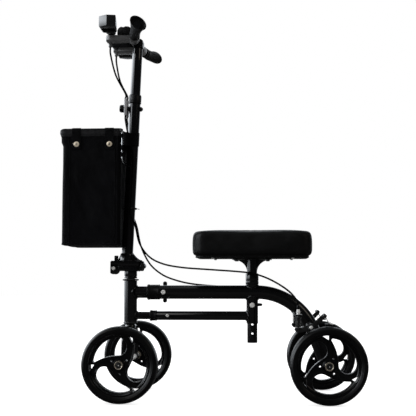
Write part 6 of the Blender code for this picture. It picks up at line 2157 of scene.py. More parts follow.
    def trims(self, outline: list[Flat]) -> None:
        """The binding round the mouth, the hem round the bottom and the side seams.

        Args:
            outline: The bag's footprint.
        """
        top, ribs = self.high, 8
        bulge = [(self.band - 0.0012 - (self.band - 0.0022) * i / ribs, 0.0004 + 0.0024
            * (i / ribs) ** 1.5 + (0.00022 if i % 2 else 0.0)) for i in range(ribs + 1)]
        rows = [self.wall_line(outline, top - drop, off) for drop, off in ((self.band, 0.00012),
            *bulge, (-0.0021, 0.0031), (-0.0036, 0.0024), (-0.0046, 0.001), (-0.0046, -0.0006),
            (-0.0034, -0.002), (-0.001, -0.0026), (0.003, -0.0025), (0.01, -0.0022))]
        # The binding's cloth is lighter than the bag's: painted sheen.
        Fit.stand(self.strip("bag_binding", rows, True), SHEEN_PAINTED_BAND_CLOTH, Body.COLUMN)
        hem = [self.wall_line(outline, self.low + rise, off) for rise, off in mm(1.6, -0.1, 3,
            0.25, 5.2, 0.3, 6.4, 0.05)]
        Fit.stand(self.strip("bag_hem", hem, True), BAG_CLOTH, Body.COLUMN)
        seams = []
        for side in Side:
            for x, width in ((self.back - 0.0165, 0.001), (self.back - 0.01, 0.0007),
                    (self.front + 0.019, 0.0009)):
                line = [self.sag(x, side.value * self.half, self.low + 0.006
                    + (self.high - self.band - self.low - 0.007) * i / 89) + Vector(
                    (0, side.value * 0.0001, 0)) for i in range(90)]
                seams.append(Bench.sweep("seam", line, width, 8))
        for drop, off in (-0.001, 0.0036), (self.band - 0.0022, 0.0009):
            line = self.wall_line(outline, top - drop, off)
            seams.append(Bench.sweep("seam", line, 0.00028, 6, closed=True))
        Fit.stand(Bench.group("bag_seams", *seams), BAG_CLOTH, Body.COLUMN)
        self.stitches(outline)

    def stitches(self, outline: list[Flat]) -> None:
        """Rows of thread along the binding, one model copied from stitch to stitch.

        Args:
            outline: The bag's footprint.
        """
        model = Bench.block("stitch", (-0.0014, -0.00025, -0.00025), (0.0014, 0.00025, 0.00025),
            0.0001, 1)
        thread = []
        line = self.wall_line(outline, self.high - self.band + 0.0016, 0.0011)
        ends = list(zip(line, line[1:] + line[:1]))
        for start, end in ends:
            turn = Vector((1, 0, 0)).rotation_difference(end - start)
            made = Bench.twin(model, "stitch")
            made.data.transform(Matrix.LocRotScale((start + end) / 2, turn, None))
            thread.append(made)
        bpy.data.objects.remove(model)
        Fit.stand(Bench.group("bag_stitches", *thread), STITCH, Body.COLUMN)

    def loops(self) -> None:
        """The webbing loops that hang the bag from its wire, each with a press snap."""
        straps, snaps, centres = [], [], []
        for side in Side:
            for centre, width in (-0.3666, 0.0235), (-0.276, 0.0235):
                wall = side.value * self.half

                def beside(drops: Sequence[Flat]) -> list[Flat]:
                    """The strap's places beside the wall at some drops below the mouth."""
                    hangs = ((self.sag(centre, wall, self.high - d), o) for d, o in drops)
                    return [(hang.y + side.value * off, hang.z) for hang, off in hangs]
                reach = self.wire_radius + 0.002
                over = [(wall + side.value * 0.0004 + side.value * reach * math.cos(a), self.wire_z
                    + reach * math.sin(a)) for a in (math.radians(a) for a in range(-10, 191, 20))]
                path = [*beside(mm(52, 1.2, 44, 1.5, 36, 1.6, 28, 1.6, 20, 1.8, 12, 2.4, 6, 3.4, 1,
                    4)), *over, *beside(mm(3, -3.4, 12, -3.4, 24, -3))]
                rows = [[Vector((centre + width * (k / 6 - 0.5), y, z)) for k in range(7)] for y,
                    z in path]
                straps.append(self.strip("strap", rows, False))
                hang = self.sag(centre, wall, self.high - 0.0389)
                snap = Bench.lathe("snap", mm(7.6, 0, 7.7, 0.7, 7, 1.8, 5.4, 2.4, 4.2, 2.3, 3.6,
                    1.4, 1.8, 1.2), 40, smooth=50)
                stud = Bench.lathe("stud", mm(3.4, 0.9, 3, 1.9, 1.4, 2.3), 24, smooth=50)
                way = side.outward
                for piece, pile in (snap, snaps), (stud, centres):
                    pile.append(Bench.settle(piece, (centre, hang.y + side.value * 0.0018, hang.z),
                        way))
        Fit.stand(Bench.group("bag_loops", *straps), WEBBING, Body.COLUMN)
        Fit.stand(Bench.group("bag_snaps", *snaps), BRASS_SNAP, Body.COLUMN)
        Fit.stand(Bench.group("bag_snap_centres", *centres), HUB_METAL, Body.COLUMN)

    def tie(self) -> None:
        """The band of webbing that holds the bag's back against the column."""
        middle = 0.708
        axis = LAYOUT.column_x(middle)
        half = [*mm(0.9, 98, 1, 60, 2.8, 46, x=self.back), *mm(-9, 29, -2, 27.2, 6.5, 21.5, 13,
            11.8, 16.8, 5, 17.2, 0, x=axis)]
        line = smooth_line([(x, y, 0.0) for x, y in half + [(x, -y) for x,
            y in reversed(half[:-1])]], 0.003)
        rows = []
        for i in range(9):
            z = middle + 0.0185 * (i / 4 - 1.0)
            drift = LAYOUT.column_x(z) - axis
            rows.append([Vector((p.x + drift * min(1.0, max(0.0, (0.046 - abs(p.y)) / 0.02)), p.y,
                z + 0.009 * (1.0 - abs(p.y) / 0.098) + 0.0012 * noise.noise(
                Vector((p.x * 40.0, p.y * 40.0, 2.0))))) for p in line])
        Fit.stand(self.strip("bag_column_band", rows, False), WEBBING, Body.COLUMN)

    def hanger(self) -> None:
        """The wire round the bag's mouth with its two legs back to the column."""
        side, back = self.half + 0.0005, self.back + self.wire_radius + 0.0003
        front = self.front - 0.0003
        off_axis = abs(back - LAYOUT.column_x(self.wire_drop)) - self.wire_radius
        tube_y = math.sqrt(LAYOUT.column_radius ** 2 - off_axis ** 2)
        foot, turn, top, bend = self.wire_drop, 0.01, self.wire_z, 0.012
        angles = [math.radians(10 * i) for i in range(1, 10)]
        leg = [(back, tube_y, foot), (back, side - turn, foot)]
        leg += [(back, side - turn + turn * math.sin(a), foot + turn - turn * math.cos(a))
            for a in angles]
        leg.append((back, side, top - bend))
        leg += [(back - bend + bend * math.cos(a), side, top - bend + bend * math.sin(a))
            for a in angles]
        leg += [(x, y, top) for x, y in arc((front + 0.016, side - 0.016), 0.016, 90, 180, 10)]
        line = leg + [(x, -y, z) for x, y, z in reversed(leg)]
        Fit.stand(Bench.sweep("bag_hanger_wire", line, self.wire_radius - 0.0001, 16), CHROME,
            Body.COLUMN, "bag_hanger")
        folds = []
        for place in Side:
            for low, high in (0.6525, 0.665), (0.6705, 0.685), (0.704, 0.7155):
                count = 9
                spine = [(back, place.value * side, low + (high - low) * i / (count - 1))
                    for i in range(count)]
                folds.append(Bench.sweep("fold", spine, self.wire_radius + 0.0011, 14,
                    swell=lambda i: 0.93 + 0.1 * math.sin(i * 2.2)))
        Fit.stand(Bench.group("bag_wire_tunnel", *folds), BAG_CLOTH, Body.COLUMN)


@dataclass
class Cables:
    """The two sheathed brake cables, each in pieces: one that runs along one body rides on it, one
    that crosses a joint rides on none.
    """

    radius: float = 0.0025
    step: float = 0.006
    exit_x: float = -0.28685
    exit_y: float = 0.05
    exit_z: float = 0.9717
    side_y: float = 0.0215
    guide_y: float = 0.016
    clip_z: float = 0.52
    barrel_x: float = 0.23015
    barrel_y: float = 0.13
    end_z: float = 0.2432
    guide_x: float = Column().guide_x()

    def build(self) -> None:
        """Make both cables."""
        for side in Side:
            self.cable(side)

    def lower_run(self, side: Side) -> list[Point]:
        """The points from the column's foot along the main tube to the brake.

        Args:
            side: The walker's side.

        Returns:
            The run's points.
        """
        front, outer, s = LAYOUT.front_x, side.value * self.side_y, side.value
        if side is Side.LEFT:
            run = [(front + 0.017, outer, 0.47), (front + 0.029, outer, 0.422),
                (front + 0.056, s * 0.025, 0.385), (front + 0.095, s * 0.028, 0.3645),
                (front + 0.15, s * 0.028, 0.354), (front + 0.23, s * 0.027, 0.348),
                (front + 0.3, s * 0.026, 0.343), (front + 0.345, s * 0.0265, 0.3375),
                (front + 0.385, s * 0.036, 0.324), (front + 0.42, s * 0.064, 0.305),
                (front + 0.445, s * 0.098, 0.286)]
        else:
            run = [(front + 0.015, outer, 0.47), (front + 0.027, outer, 0.416),
                (front + 0.052, s * 0.024, 0.366), (front + 0.086, s * 0.0265, 0.336),
                (front + 0.125, s * 0.0265, 0.3195), (front + 0.175, s * 0.024, 0.3085),
                (front + 0.25, s * 0.0235, 0.302), (front + 0.33, s * 0.0245, 0.2985),
                (front + 0.372, s * 0.034, 0.296), (front + 0.41, s * 0.062, 0.29),
                (front + 0.442, s * 0.098, 0.279)]
        return run + [(self.barrel_x - 0.003, s * (self.barrel_y - 0.004), self.end_z + 0.022),
            (self.barrel_x, s * self.barrel_y, self.end_z + 0.006),
            (self.barrel_x, s * self.barrel_y, self.end_z)]

    def upper_run(self, side: Side) -> list[Point]:
        """The points from the lever's perch through the guide and down the column.

        Args:
            side: The walker's side.

        Returns:
            The run's points.
        """
        s, guide = side.value, self.guide_x
        beside = [(LAYOUT.column_x(z) + 0.006, s * self.side_y, z) for z in (0.64, 0.58,
            self.clip_z + 0.016, self.clip_z + 0.004, self.clip_z - 0.004, self.clip_z - 0.016)]
        return [(self.exit_x, s * self.exit_y, self.exit_z), (self.exit_x + 0.001,
            s * (self.exit_y - 0.001), 0.95), (self.exit_x + 0.014, s * 0.036, 0.895),
            (guide, s * self.guide_y, 0.846), (guide, s * self.guide_y, 0.834),
            (guide, s * self.guide_y, 0.784), (guide, s * self.guide_y, 0.772),
            (LAYOUT.column_x(0.73) - 0.012, s * 0.0208, 0.73), (LAYOUT.column_x(0.68) + 0.003,
            s * self.side_y, 0.68), *beside]

    def cable(self, side: Side) -> None:
        """One cable: cut where it passes from one body's reach to the next.

        Args:
            side: The walker's side.
        """
        line = smooth_line([*self.upper_run(side), *self.lower_run(side)], self.step)
        top = self.nearest(line, (self.guide_x, side.value * self.guide_y, 0.834))
        fold = self.nearest(line, (LAYOUT.front_x + 0.012, side.value * self.side_y, 0.484))
        steer = self.nearest(line, self.lower_run(side)[2])
        tail = self.nearest(line, self.lower_run(side)[5])
        word, column = side.word, Body.COLUMN
        Fit.bend(Bench.sweep(f"cable_{word}_upper", line[top::-1], self.radius, 16), SHEATH,
            (column, Body.HANDLEBAR), line[top], line[0], f"brake_cable_{word}")
        Fit.stand(Bench.sweep(f"cable_{word}_column", line[top:fold + 1], self.radius, 16), SHEATH,
            column, f"brake_cable_{word}")
        Fit.bend(Bench.sweep(f"cable_{word}_fold", line[fold:steer + 1], self.radius, 16), SHEATH,
            (column, Body.STEERER), line[fold], line[steer], f"brake_cable_{word}")
        Fit.bend(Bench.sweep(f"cable_{word}_steering", line[steer:tail + 1], self.radius, 16),
            SHEATH, (Body.STEERER, Body.FRAME), line[steer], line[tail])
        Fit.stand(Bench.sweep(f"cable_{word}_rear", line[tail:], self.radius, 16), SHEATH,
            Body.FRAME)
        Fit.stand(Bench.lathe(f"cable_{word}_ferrule", mm(2.4, 0, 3.2, 0, 3.4, 0.6, 3.4, 9, 3, 9.8,
            2.4, 9.8), 28, hollow=True, at=Vector(line[-1]) + Vector((0, 0, 0.01)),
            turn=UPRIGHT.rotation_difference(-UPRIGHT)), FITTING_PLASTIC, Body.FRAME)

    @staticmethod
    def nearest(line: Sequence[Vector], goal: Sequence[float]) -> int:
        """The index of the line's point nearest to a place."""
        goal = Vector(goal)
        return min(range(len(line)), key=lambda i: (line[i] - goal).length)


@dataclass
class Handlebar:
    """The sliding tube and all that it carries: clamp, bar, grips, perches and levers."""

    inner_radius: float = 0.0142
    inner_low: float = 0.7
    inner_top: float = 0.9793
    bar_x: float = -0.22385
    bar_z: float = 0.992
    bar_radius: float = 0.011
    straight: float = 0.034
    sweep: float = math.radians(12)
    rise: float = math.radians(1.8)
    grip_inner: float = 0.088
    grip_length: float = 0.098
    perch_y: float = 0.064
    perch_low: float = 0.984
    perch_high: float = 0.9993
    pivot_x: float = -0.27985
    pivot_y: float = 0.07
    exit_x: float = -0.28685
    exit_y: float = 0.05

    def build(self) -> None:
        """Make the handlebar group and both levers."""
        self.inner_tube()
        self.clamp()
        self.bar()
        for side in Side:
            self.grip(side)
            self.perch(side)
            self.lever(side)

    def arm_point(self, side: Side, along: float) -> Vector:
        """A point on one swept back arm of the bar, counted outwards from the bend.

        Args:
            side: The walker's side.
            along: How far from the bend the point is.

        Returns:
            The point.
        """
        flat = along * math.cos(self.rise)
        return Vector((self.bar_x + flat * math.sin(self.sweep), side.value * (self.straight + flat
            * math.cos(self.sweep)), self.bar_z + along * math.sin(self.rise)))

    def arm_turn(self, side: Side) -> Quaternion:
        """The turn from upright to the outward direction of one arm."""
        outward = (self.arm_point(side, 1.0) - self.arm_point(side, 0.0)).normalized()
        return outward.to_track_quat("Z", "X")

    def inner_tube(self) -> None:
        """The round tube that slides in the column."""
        length = LAYOUT.length(self.inner_low, self.inner_top)
        Fit.stand(Bench.lathe("inner_slide_tube",
            [*mm(-1.6, 0, -0.3, 0, 0, 0.6, x=self.inner_radius), (self.inner_radius, length),
            (self.inner_radius - 0.0016, length)], 64, hollow=True, at=LAYOUT.on_column(
            self.inner_low), turn=LAYOUT.column_turn), INNER_PAINT, Body.HANDLEBAR, "inner_tube")

    def clamp(self) -> None:
        """The cast block that holds the bar, with its cap line and two sunk screws."""
        low, top = self.inner_top + 0.0011, 1.0048
        front, back = -0.29085, -0.19985
        outline = [(front, low + 0.0045), (front + 0.0055, low), (back - 0.0015, low),
            (back, low + 0.0015), (back, top - 0.005), (back - 0.0055, top), (self.bar_x - 0.014,
            top), (front + 0.0065, top - 0.0022), (front, top - 0.0075)]
        block = Bench.plate("bar_clamp_block", outline, -0.016, 0.016, "Y", 0.0)
        bore = Bench.lathe("bore", mm(0.2, -30, 0.2, 30, x=self.bar_radius), 48)
        Bench.carve(block, Bench.settle(bore, (self.bar_x, 0, self.bar_z), ALONG_Y))
        Bench.carve(block, Bench.block("groove", (back - 0.016, -0.02, self.bar_z - 0.0004),
            (back + 0.01, 0.02, self.bar_z + 0.0004), 0.0))
        for side in Side:
            sink = Bench.lathe("sink", mm(3.4, -4, 3.4, 10), 24)
            Bench.carve(block, Bench.settle(sink, (front + 0.025, side.value * 0.0088, top)))
        Bench.soften(block, 0.0011, 3, smooth=35)
        Fit.stand(block, GLOSS_PAINT, Body.HANDLEBAR, "bar_clamp")
        heads = []
        for side in Side:
            head = Bench.lathe("head", mm(2.9, -3.4, 3.1, -1, 2.8, -0.4), 28)
            Bench.carve(head, Bench.lathe("socket", mm(1.5, -2.2, 1.5, 2), 6))
            heads.append(Bench.settle(head, (front + 0.025, side.value * 0.0088, top)))
        Fit.stand(Bench.group("bar_clamp_screws", *heads), ZINC, Body.HANDLEBAR)

    def bar(self) -> None:
        """The bent bar from grip to grip."""
        end = (self.grip_inner - self.straight) / math.cos(self.sweep) + self.grip_length - 0.006
        far = [Vector((self.bar_x, y, self.bar_z)) for y in (0.0, self.straight - 0.013)]
        corner = Vector((self.bar_x, self.straight, self.bar_z))
        start, finish = far[-1], self.arm_point(Side.RIGHT, 0.013)
        far += corner_curve(start, corner, finish, 8)[1:]
        far.append(self.arm_point(Side.RIGHT, end))
        line = [Vector((p.x, -p.y, p.z)) for p in reversed(far[1:])] + far
        Fit.stand(Bench.sweep("handlebar_tube", line, self.bar_radius, 40), GLOSS_PAINT,
            Body.HANDLEBAR, "handlebar")

    def grip(self, side: Side) -> None:
        """One grip: a ringed inner end, a waist and a flared end with a shallow cup.

        Args:
            side: The walker's side.
        """
        length, bore = self.grip_length, self.bar_radius + 0.0001
        profile = [(bore, 0.0), *mm(13.8, 0, 14.6, 1, 14.6, 4.2, 13.9, 5)]
        for band in range(4):
            at = 0.005 + band * 0.0042
            profile += mm(13.4, 0.8, 13.4, 1.4, 14.2, 2.2, 14.2, 3.8, y=at)
        profile += mm(13.6, 24, 13.7, 33, 14.2, 45, 15, 56, 16.1, 66, 17.3, 75, 18.4, 82, 19.3, 87,
            20.2, 91, 20.9, 93.8, 21.4, 95.6, 21.4, 96.8, 20.9, 97.6, 19.8, 97.9, 18.4, 97.5, 17.6,
            96.2, 16.8, 92.5, 15, 89, 10, 88, 6, 88.4)
        grip = Bench.lathe("grip", profile, 64, smooth=48)
        ribs = []
        for index in range(10):
            turn = math.tau * index / 10
            reaches = [(t, 0.0135 * (1 + 0.02 * t + 0.19 * t * t))
                for t in (i / 13 for i in range(14))]
            line = [(reach * math.cos(turn), reach * math.sin(turn), 0.027 + 0.04 * t) for t,
                reach in reaches]
            ribs.append(Bench.sweep("rib", line, 0.0009, 10, swell=lambda i: 0.25 + 0.75
                * math.sin(math.pi * i / 13)))
        made = Bench.group(f"grip_{side.word}_moulding", grip, *ribs)
        self.flare(made, side)
        start = (self.grip_inner - self.straight) / math.cos(self.sweep)
        Bench.settle(made, self.arm_point(side, start), self.arm_turn(side))
        Fit.stand(made, GRIP_RUBBER, Body.HANDLEBAR, f"grip_{side.word}")

    def flare(self, grip: Piece, side: Side) -> None:
        """Flatten a grip's outer end into a paddle and lean it back, as the hand needs it.

        Args:
            grip: The grip, made about the origin.
            side: The walker's side.
        """
        turn = self.arm_turn(side)
        wide, back = (Vector((turn.inverted() @ Vector(way)).xy).normalized()
            for way in ((0.8, 0, -0.6), (0.6, 0, 0.8)))
        for corner in grip.data.vertices:
            share = min(1.0, max(0.0, (corner.co.z - 0.04) / 0.058)) ** 1.5
            flat = Vector((corner.co.x, corner.co.y))
            along = wide * flat.dot(wide)
            flat = along * (1.0 + 0.16 * share) + (flat - along) * (1.0 - 0.24 * share)
            flat += back * 0.0055 * share
            corner.co.x, corner.co.y = flat

    def perch(self, side: Side) -> None:
        """The lever's perch: a ring on the bar, a flat body, and the cable's exit.

        Args:
            side: The walker's side.
        """
        s, front = side.value, -0.29585
        outline = round_corners([(front, s * 0.0435), (front + 0.012, s * 0.043),
            (self.bar_x, s * 0.0495), (self.bar_x, s * 0.0775), (self.pivot_x + 0.01,
            s * (self.pivot_y + 0.0105)), (self.pivot_x - 0.006, s * (self.pivot_y + 0.0105)),
            (front, s * 0.0745)], 0.0045, 5)
        parts = [Bench.plate("body", outline, self.perch_low, self.perch_high, "Z", 0.0016, 3)]
        reach = (self.perch_y - self.straight) / math.cos(self.sweep)
        parts.append(Bench.lathe("ring", [(self.bar_radius, -0.0118), *mm(14.8, -11.8, 15.4, -11,
            15.4, 13, 14.8, 13.8), (self.bar_radius, 0.0138)], 48, hollow=True, bevel=0.0004,
            at=self.arm_point(side, reach), turn=self.arm_turn(side)))
        parts.append(Bench.lathe("tube", [*mm(2.6, 0, 4.4, 0, 5, 1, 5, 6.6, 4.4, 7.4, 5, 8.2,
            y=self.exit_z), (0.0056, self.perch_low + 0.003)], 36,
            at=(self.exit_x, s * self.exit_y, 0)))
        Fit.stand(Bench.group(f"perch_{side.word}_casting", *parts), CAST_GREY, Body.HANDLEBAR,
            f"perch_{side.word}")
        crown = [(-0.2625, 0.999), (-0.2625, 1.012), (-0.259, 1.0185), (-0.252, 1.0222),
            (-0.2455, 1.0204), (-0.239, 1.0232), (-0.231, 1.0222), (-0.2245, 1.0184),
            (-0.2195, 1.01), (-0.2172, 1.003), (-0.2172, 0.999)]
        low, high = side.span(0.056, 0.0815)
        Fit.stand(Bench.plate(f"perch_cap_{side.word}", crown, low, high, "Y", 0.0016, 3),
            FITTING_PLASTIC, Body.HANDLEBAR)
        Fit.stand(Bench.lathe(f"lever_pin_{side.word}", [(0.003, self.perch_high - 0.004),
            (0.003, 1.01), (0.005, 1.0101), (0.0052, 1.0108), (0.0046, 1.012), (0.0024, 1.0124)],
            32, smooth=50, at=(self.pivot_x, s * self.pivot_y, 0)), ZINC, Body.HANDLEBAR)
        nub = Bench.block(f"perch_screw_{side.word}", (-0.2425, -0.0028, 0.9985),
            (-0.2365, 0.0028, 1.0012), 0.0008)
        Bench.settle(nub, (0, s * 0.064, 0))
        Fit.stand(nub, ZINC, Body.HANDLEBAR)

    @property
    def exit_z(self) -> float:
        """The lower end of the cable's exit tube."""
        return self.bar_z - 0.0198

    def lever(self, side: Side) -> None:
        """One brake lever: a flat root on its pin and a deep blade, hollow underneath.

        Args:
            side: The walker's side.
        """
        s = side.value
        body = Body(f"{side.word}_brake_lever")
        low, high = self.perch_high + 0.0005, 1.0097
        outline = [*arc((0, 0), 0.0093, 150, 352, 16), *mm(15, 18, 12.5, 39.5, -12, 39.5, -10.5,
            16)]
        root = Bench.plate("root", [(self.pivot_x + x, s * (self.pivot_y + y)) for x,
            y in outline], low, high, "Z", 0.001, 2)
        bore = Bench.lathe("bore", [(0.0034, low - 0.01), (0.0034, high + 0.01)], 28)
        Bench.carve(root, Bench.settle(bore, (self.pivot_x, s * self.pivot_y, 0)))
        front, back, under, over = -0.29785, -0.24985, 0.9964, 1.0257
        inner, tip, nose = 0.1003, 0.1817, front + 0.0235
        middle, rings = (front + back) / 2, []
        for share, slim, drop in ((0.0, 0.78, 0.006), (0.05, 0.9, 0.0028), (0.14, 1.0, 0.0008),
                (0.4, 1.0, 0.0), (0.7, 1.0, 0.0), (1.0, 1.0, 0.0)):
            depth = (back - front) * slim
            ring = rounded_box((middle - depth / 2, under + drop * 0.6), (middle + depth / 2 - 0.12
                * (1.0 - share) * (tip - inner), over - drop), 0.003, 5)
            rings.append([(x, s * (inner + share * (tip - inner)), z) for x, z in ring])
        blade = Bench.loft(f"blade_{side.word}", rings)
        roof = [(front - 0.01, tip - 0.57 * (nose - front + 0.01)), (nose, tip),
            (back + 0.01, tip - 0.18 * (back + 0.01 - nose)), (back + 0.01, tip + 0.02),
            (front - 0.01, tip + 0.02)]
        Bench.carve(blade, Bench.plate("bevel", [(x, s * y) for x, y in roof], under - 0.02,
            over + 0.02, "Z", 0.0))
        hollow_rings = []
        for y, inset in mm(107.5, 5.2, 111, 3.6, 149, 3.6, 153, 6):
            hollow_rings.append([(x, s * y, z) for x, z in rounded_box(
                (front + inset, under - 0.004), (back - inset - 0.12 * (tip - y), under + 0.0095),
                0.0035, 4)])
        Bench.carve(blade, Bench.loft("hollow", hollow_rings))
        Bench.soften(blade, 0.0006, 2, angle=35, smooth=45)
        Fit.stand(Bench.group(f"brake_lever_{side.word}_moulding", root, blade), LEVER_PLASTIC,
            body, f"brake_lever_{side.word}")


@dataclass
class Seat:
    """The knee rest: its post with a bracket, the board and the padded cushion."""

    post_radius: float = 0.0139
    post_low: float = 0.147
    plate_z: float = 0.376
    plate_thickness: float = 0.003
    plate_half: float = 0.055
    gusset_radius: float = 0.034
    board_low: float = 0.3794
    board_top: float = 0.3862
    centre: float = 0.10915
    length: float = 0.33
    width: float = 0.19
    corner: float = 0.032
    low: float = 0.3866
    high: float = 0.4556
    voxel: float = 0.005
    blow_frames: int = 20
    blow_share: float = 0.34
    blow_most: float = 0.0035

    def build(self) -> None:
        """Make the seat and the lever that clamps its post."""
        self.post()
        self.bracket()
        self.board()
        self.cushion()
        self.clamp_lever()

    def post(self) -> None:
        """The post with its two rows of height holes."""
        top = self.plate_z - 0.0004
        tube = Bench.lathe("seat_post_tube", [(0.0122, self.post_low), (self.post_radius - 0.0005,
            self.post_low), (self.post_radius, self.post_low + 0.0006), (self.post_radius, top),
            (0.0122, top)], 56, hollow=True)
        for row in range(2):
            drill = Bench.lathe("drill", mm(3.4, -30, 3.4, 30), 32)
            Bench.carve(tube, Bench.settle(drill, (0, 0, self.post_low + 0.025 * (row + 1)),
                ALONG_Y))
        Bench.soften(tube, 0.0003, 1, angle=50)
        Bench.settle(tube, (LAYOUT.seat_x, 0, 0))
        Fit.stand(tube, GLOSS_PAINT, Body.SEAT, "seat_post")

    def bracket(self) -> None:
        """The plate under the board with the two curved gussets to the post."""
        high = self.plate_z + self.plate_thickness
        plate = Bench.plate("plate", [(x + LAYOUT.seat_x, y) for x, y in rounded_box(
            (-self.plate_half, -self.plate_half), (self.plate_half, self.plate_half), 0.008, 6)],
            self.plate_z, high, "Z", 0.0006)
        parts = [plate]
        edge = self.post_radius
        corner, spread = (edge + self.gusset_radius, self.plate_z - self.gusset_radius), 1.16
        for way in -1, 1:
            curve = [(edge, self.plate_z + 0.001), (corner[0] + 0.001, self.plate_z + 0.001),
                (corner[0] + 0.001, self.plate_z - 0.0005), *arc(corner, self.gusset_radius, 90,
                180, 16), (edge, corner[1] - 0.0008)]
            curve = [(edge + (x - edge) * spread, z) for x, z in curve]
            parts.append(Bench.plate("gusset", [(LAYOUT.seat_x + way * x, z) for x, z in curve],
                -0.0021, 0.0021, "Y", 0.0005))
        seam = round_points((LAYOUT.seat_x, 0, self.plate_z - 0.0002), self.post_radius + 0.0002,
            72)
        parts.append(Hardware.weld("seam", seam, 0.0019))
        Fit.stand(Bench.group("seat_bracket_plate", *parts), GLOSS_PAINT, Body.SEAT,
            "seat_bracket")
        bolts = [Hardware.bolt("bolt", (LAYOUT.seat_x + x, side.value * 0.044, self.plate_z
            - 0.0001), (0, 0, -1), 0.0052, 0.0028, 0.002) for x in (-0.044, 0.044)
            for side in Side]
        Fit.stand(Bench.group("seat_bracket_bolts", *bolts), DARK_STEEL, Body.SEAT)

    def footprint(self, inset: float, corner: float, count: int) -> list[Flat]:
        """The cushion's outline from above.

        Args:
            inset: How far inside its full size the outline is.
            corner: The radius of its corners.
            count: The steps of each corner.

        Returns:
            The outline's points.
        """
        length, width = self.length / 2, self.width / 2
        return rounded_box((self.centre - length + inset, -width + inset),
            (self.centre + length - inset, width - inset), corner, count)

    def board(self) -> None:
        """The board that the cushion is wrapped round, its cover's edge folded under it."""
        inset = 0.012
        outline = self.footprint(inset, self.corner - inset, 8)
        Fit.stand(Bench.plate("seat_board_panel", outline, self.board_low, self.board_top, "Z",
            0.0012), BOARD_PLASTIC, Body.SEAT, "seat_board")
        screws = [Hardware.bolt("screw", (self.centre + x, side.value * 0.07, self.board_low
            - 0.0001), (0, 0, -1), 0.004, 0.002, 0.0015) for x in (-0.107, 0.11) for side in Side]
        Fit.stand(Bench.group("seat_board_screws", *screws), ZINC, Body.SEAT)

    def blank(self) -> Piece:
        """The cushion before it is blown up: a block with round corners and a drawn-in foot.

        Returns:
            The cushion's cover.
        """
        low, high = self.low + 0.0034, self.high - 0.0075
        rings = []
        for share, inset in (*mm(0, 10.5, 60, 6.5, 180, 4.8), (0.5, 0.0045), (0.8, 0.005),
                (0.93, 0.0075), (1.0, 0.013)):
            z = low + (high - low) * share
            outline = self.footprint(inset, self.corner - inset * 0.3, 7)
            rings.append([(x, y, z) for x, y in outline])
        return Bench.loft("cushion_cover", rings)

    def cushion(self) -> None:
        """The padded cushion: blown up as cloth over its foam, then given the cover's edge under
        the board.
        """
        pad = self.blank()
        Bench.take(pad)
        pad.data.remesh_voxel_size = self.voxel
        pad.data.remesh_voxel_adaptivity = 0.0
        bpy.ops.object.voxel_remesh()
        bottom = min((c.co.z for c in pad.data.vertices))
        self.inflate(pad, bottom)
        Bench.modify(pad, "SUBSURF", levels=1, render_levels=1)
        self.shape(pad)
        Bench.smooth(pad, 60)
        Fit.stand(pad, VINYL, Body.SEAT, "cushion")
        self.trim(pad)

    def inflate(self, pad: Piece, bottom: float) -> None:
        """Blow the cover up with Blender's cloth, its foot held on the board.

        Args:
            pad: The cushion's cover.
            bottom: The height of its lowest points.
        """
        Bench.take(pad)
        held = pad.vertex_groups.new(name="held")
        held.add([c.index for c in pad.data.vertices if c.co.z < bottom + 0.0035], 1.0, "REPLACE")
        bpy.ops.object.modifier_add(type="CLOTH")
        cloth = pad.modifiers[-1]
        for setting, value in (("quality", 6), ("mass", 0.3), ("tension_stiffness", 22.0),
                ("compression_stiffness", 22.0), ("shear_stiffness", 10.0), ("bending_stiffness",
                2.0), ("use_pressure", True), ("uniform_pressure_force", 4.0),
                ("vertex_group_mass", "held")):
            setattr(cloth.settings, setting, value)
        cloth.settings.effector_weights.gravity = 0.0
        cloth.collision_settings.use_collision = False
        cloth.point_cache.frame_start = 1
        cloth.point_cache.frame_end = self.blow_frames
        before = [c.co.copy() for c in pad.data.vertices]
        for frame in range(1, self.blow_frames + 1):
            bpy.context.scene.frame_set(frame)
        bpy.ops.object.modifier_apply(modifier=cloth.name)
        bpy.context.scene.frame_set(1)
        for corner, was in zip(pad.data.vertices, before):
            moved = (corner.co - was) * self.blow_share
            if moved.length > self.blow_most:
                moved = moved.normalized() * self.blow_most
            corner.co = was + moved

    def shape(self, pad: Piece) -> None:
        """Bring the blown-up cushion to its size and pucker its cover slightly.

        Args:
            pad: The cushion's cover.
        """
        corners = [c.co for c in pad.data.vertices]
        lows = [min((c[i] for c in corners)) for i in range(3)]
        highs = [max((c[i] for c in corners)) for i in range(3)]
        length, width = self.length / 2 - 0.0004, self.width / 2 - 0.0004
        goal_low = self.centre - length, -width, self.low
        goal_high = self.centre + length, width, self.high
        for corner in pad.data.vertices:
            for i in range(3):
                share = (corner.co[i] - lows[i]) / (highs[i] - lows[i])
                corner.co[i] = goal_low[i] + (goal_high[i] - goal_low[i]) * share
            x, y, z = corner.co
            share = (z - self.low) / (self.high - self.low)
            wave = noise.noise(Vector((x * 17.0, y * 17.0, z * 24.0))) * 0.0007
            wave += noise.noise(Vector((x * 40.0, y * 40.0, z * 30.0))) * 0.0002
            edge = max(0.0, 1.0 - share * 3.2)
            pucker = 0.0007 * edge * noise.noise(Vector((x * 120.0, y * 120.0, 2.0)))
            away = Vector((x - self.centre, y * self.length / self.width, 0))
            if away.length > EPSILON:
                corner.co -= away.normalized() * max(0.0, 0.0003 + wave * 0.5 + pucker)

    def trim(self, pad: Piece) -> None:
        """The cover's edge where it is drawn under the board.

        Args:
            pad: The cushion's cover; not used.
        """
        rows = []
        for z, in_more in ((self.low + 0.004, 0.0012), (self.low + 0.0004, 0.003),
                (self.board_top - 0.0024, 0.004), (self.board_low + 0.0006, 0.0032)):
            outline = self.footprint(0.0075 + in_more, self.corner - 0.01, 8)
            rows.append([(x, y, z) for x, y in outline])
        skirt = Bench.loft("cushion_skirt", rows)
        Bench.soften(skirt, 0.0008, 2, angle=50, smooth=50)
        Fit.stand(skirt, VINYL, Body.SEAT)

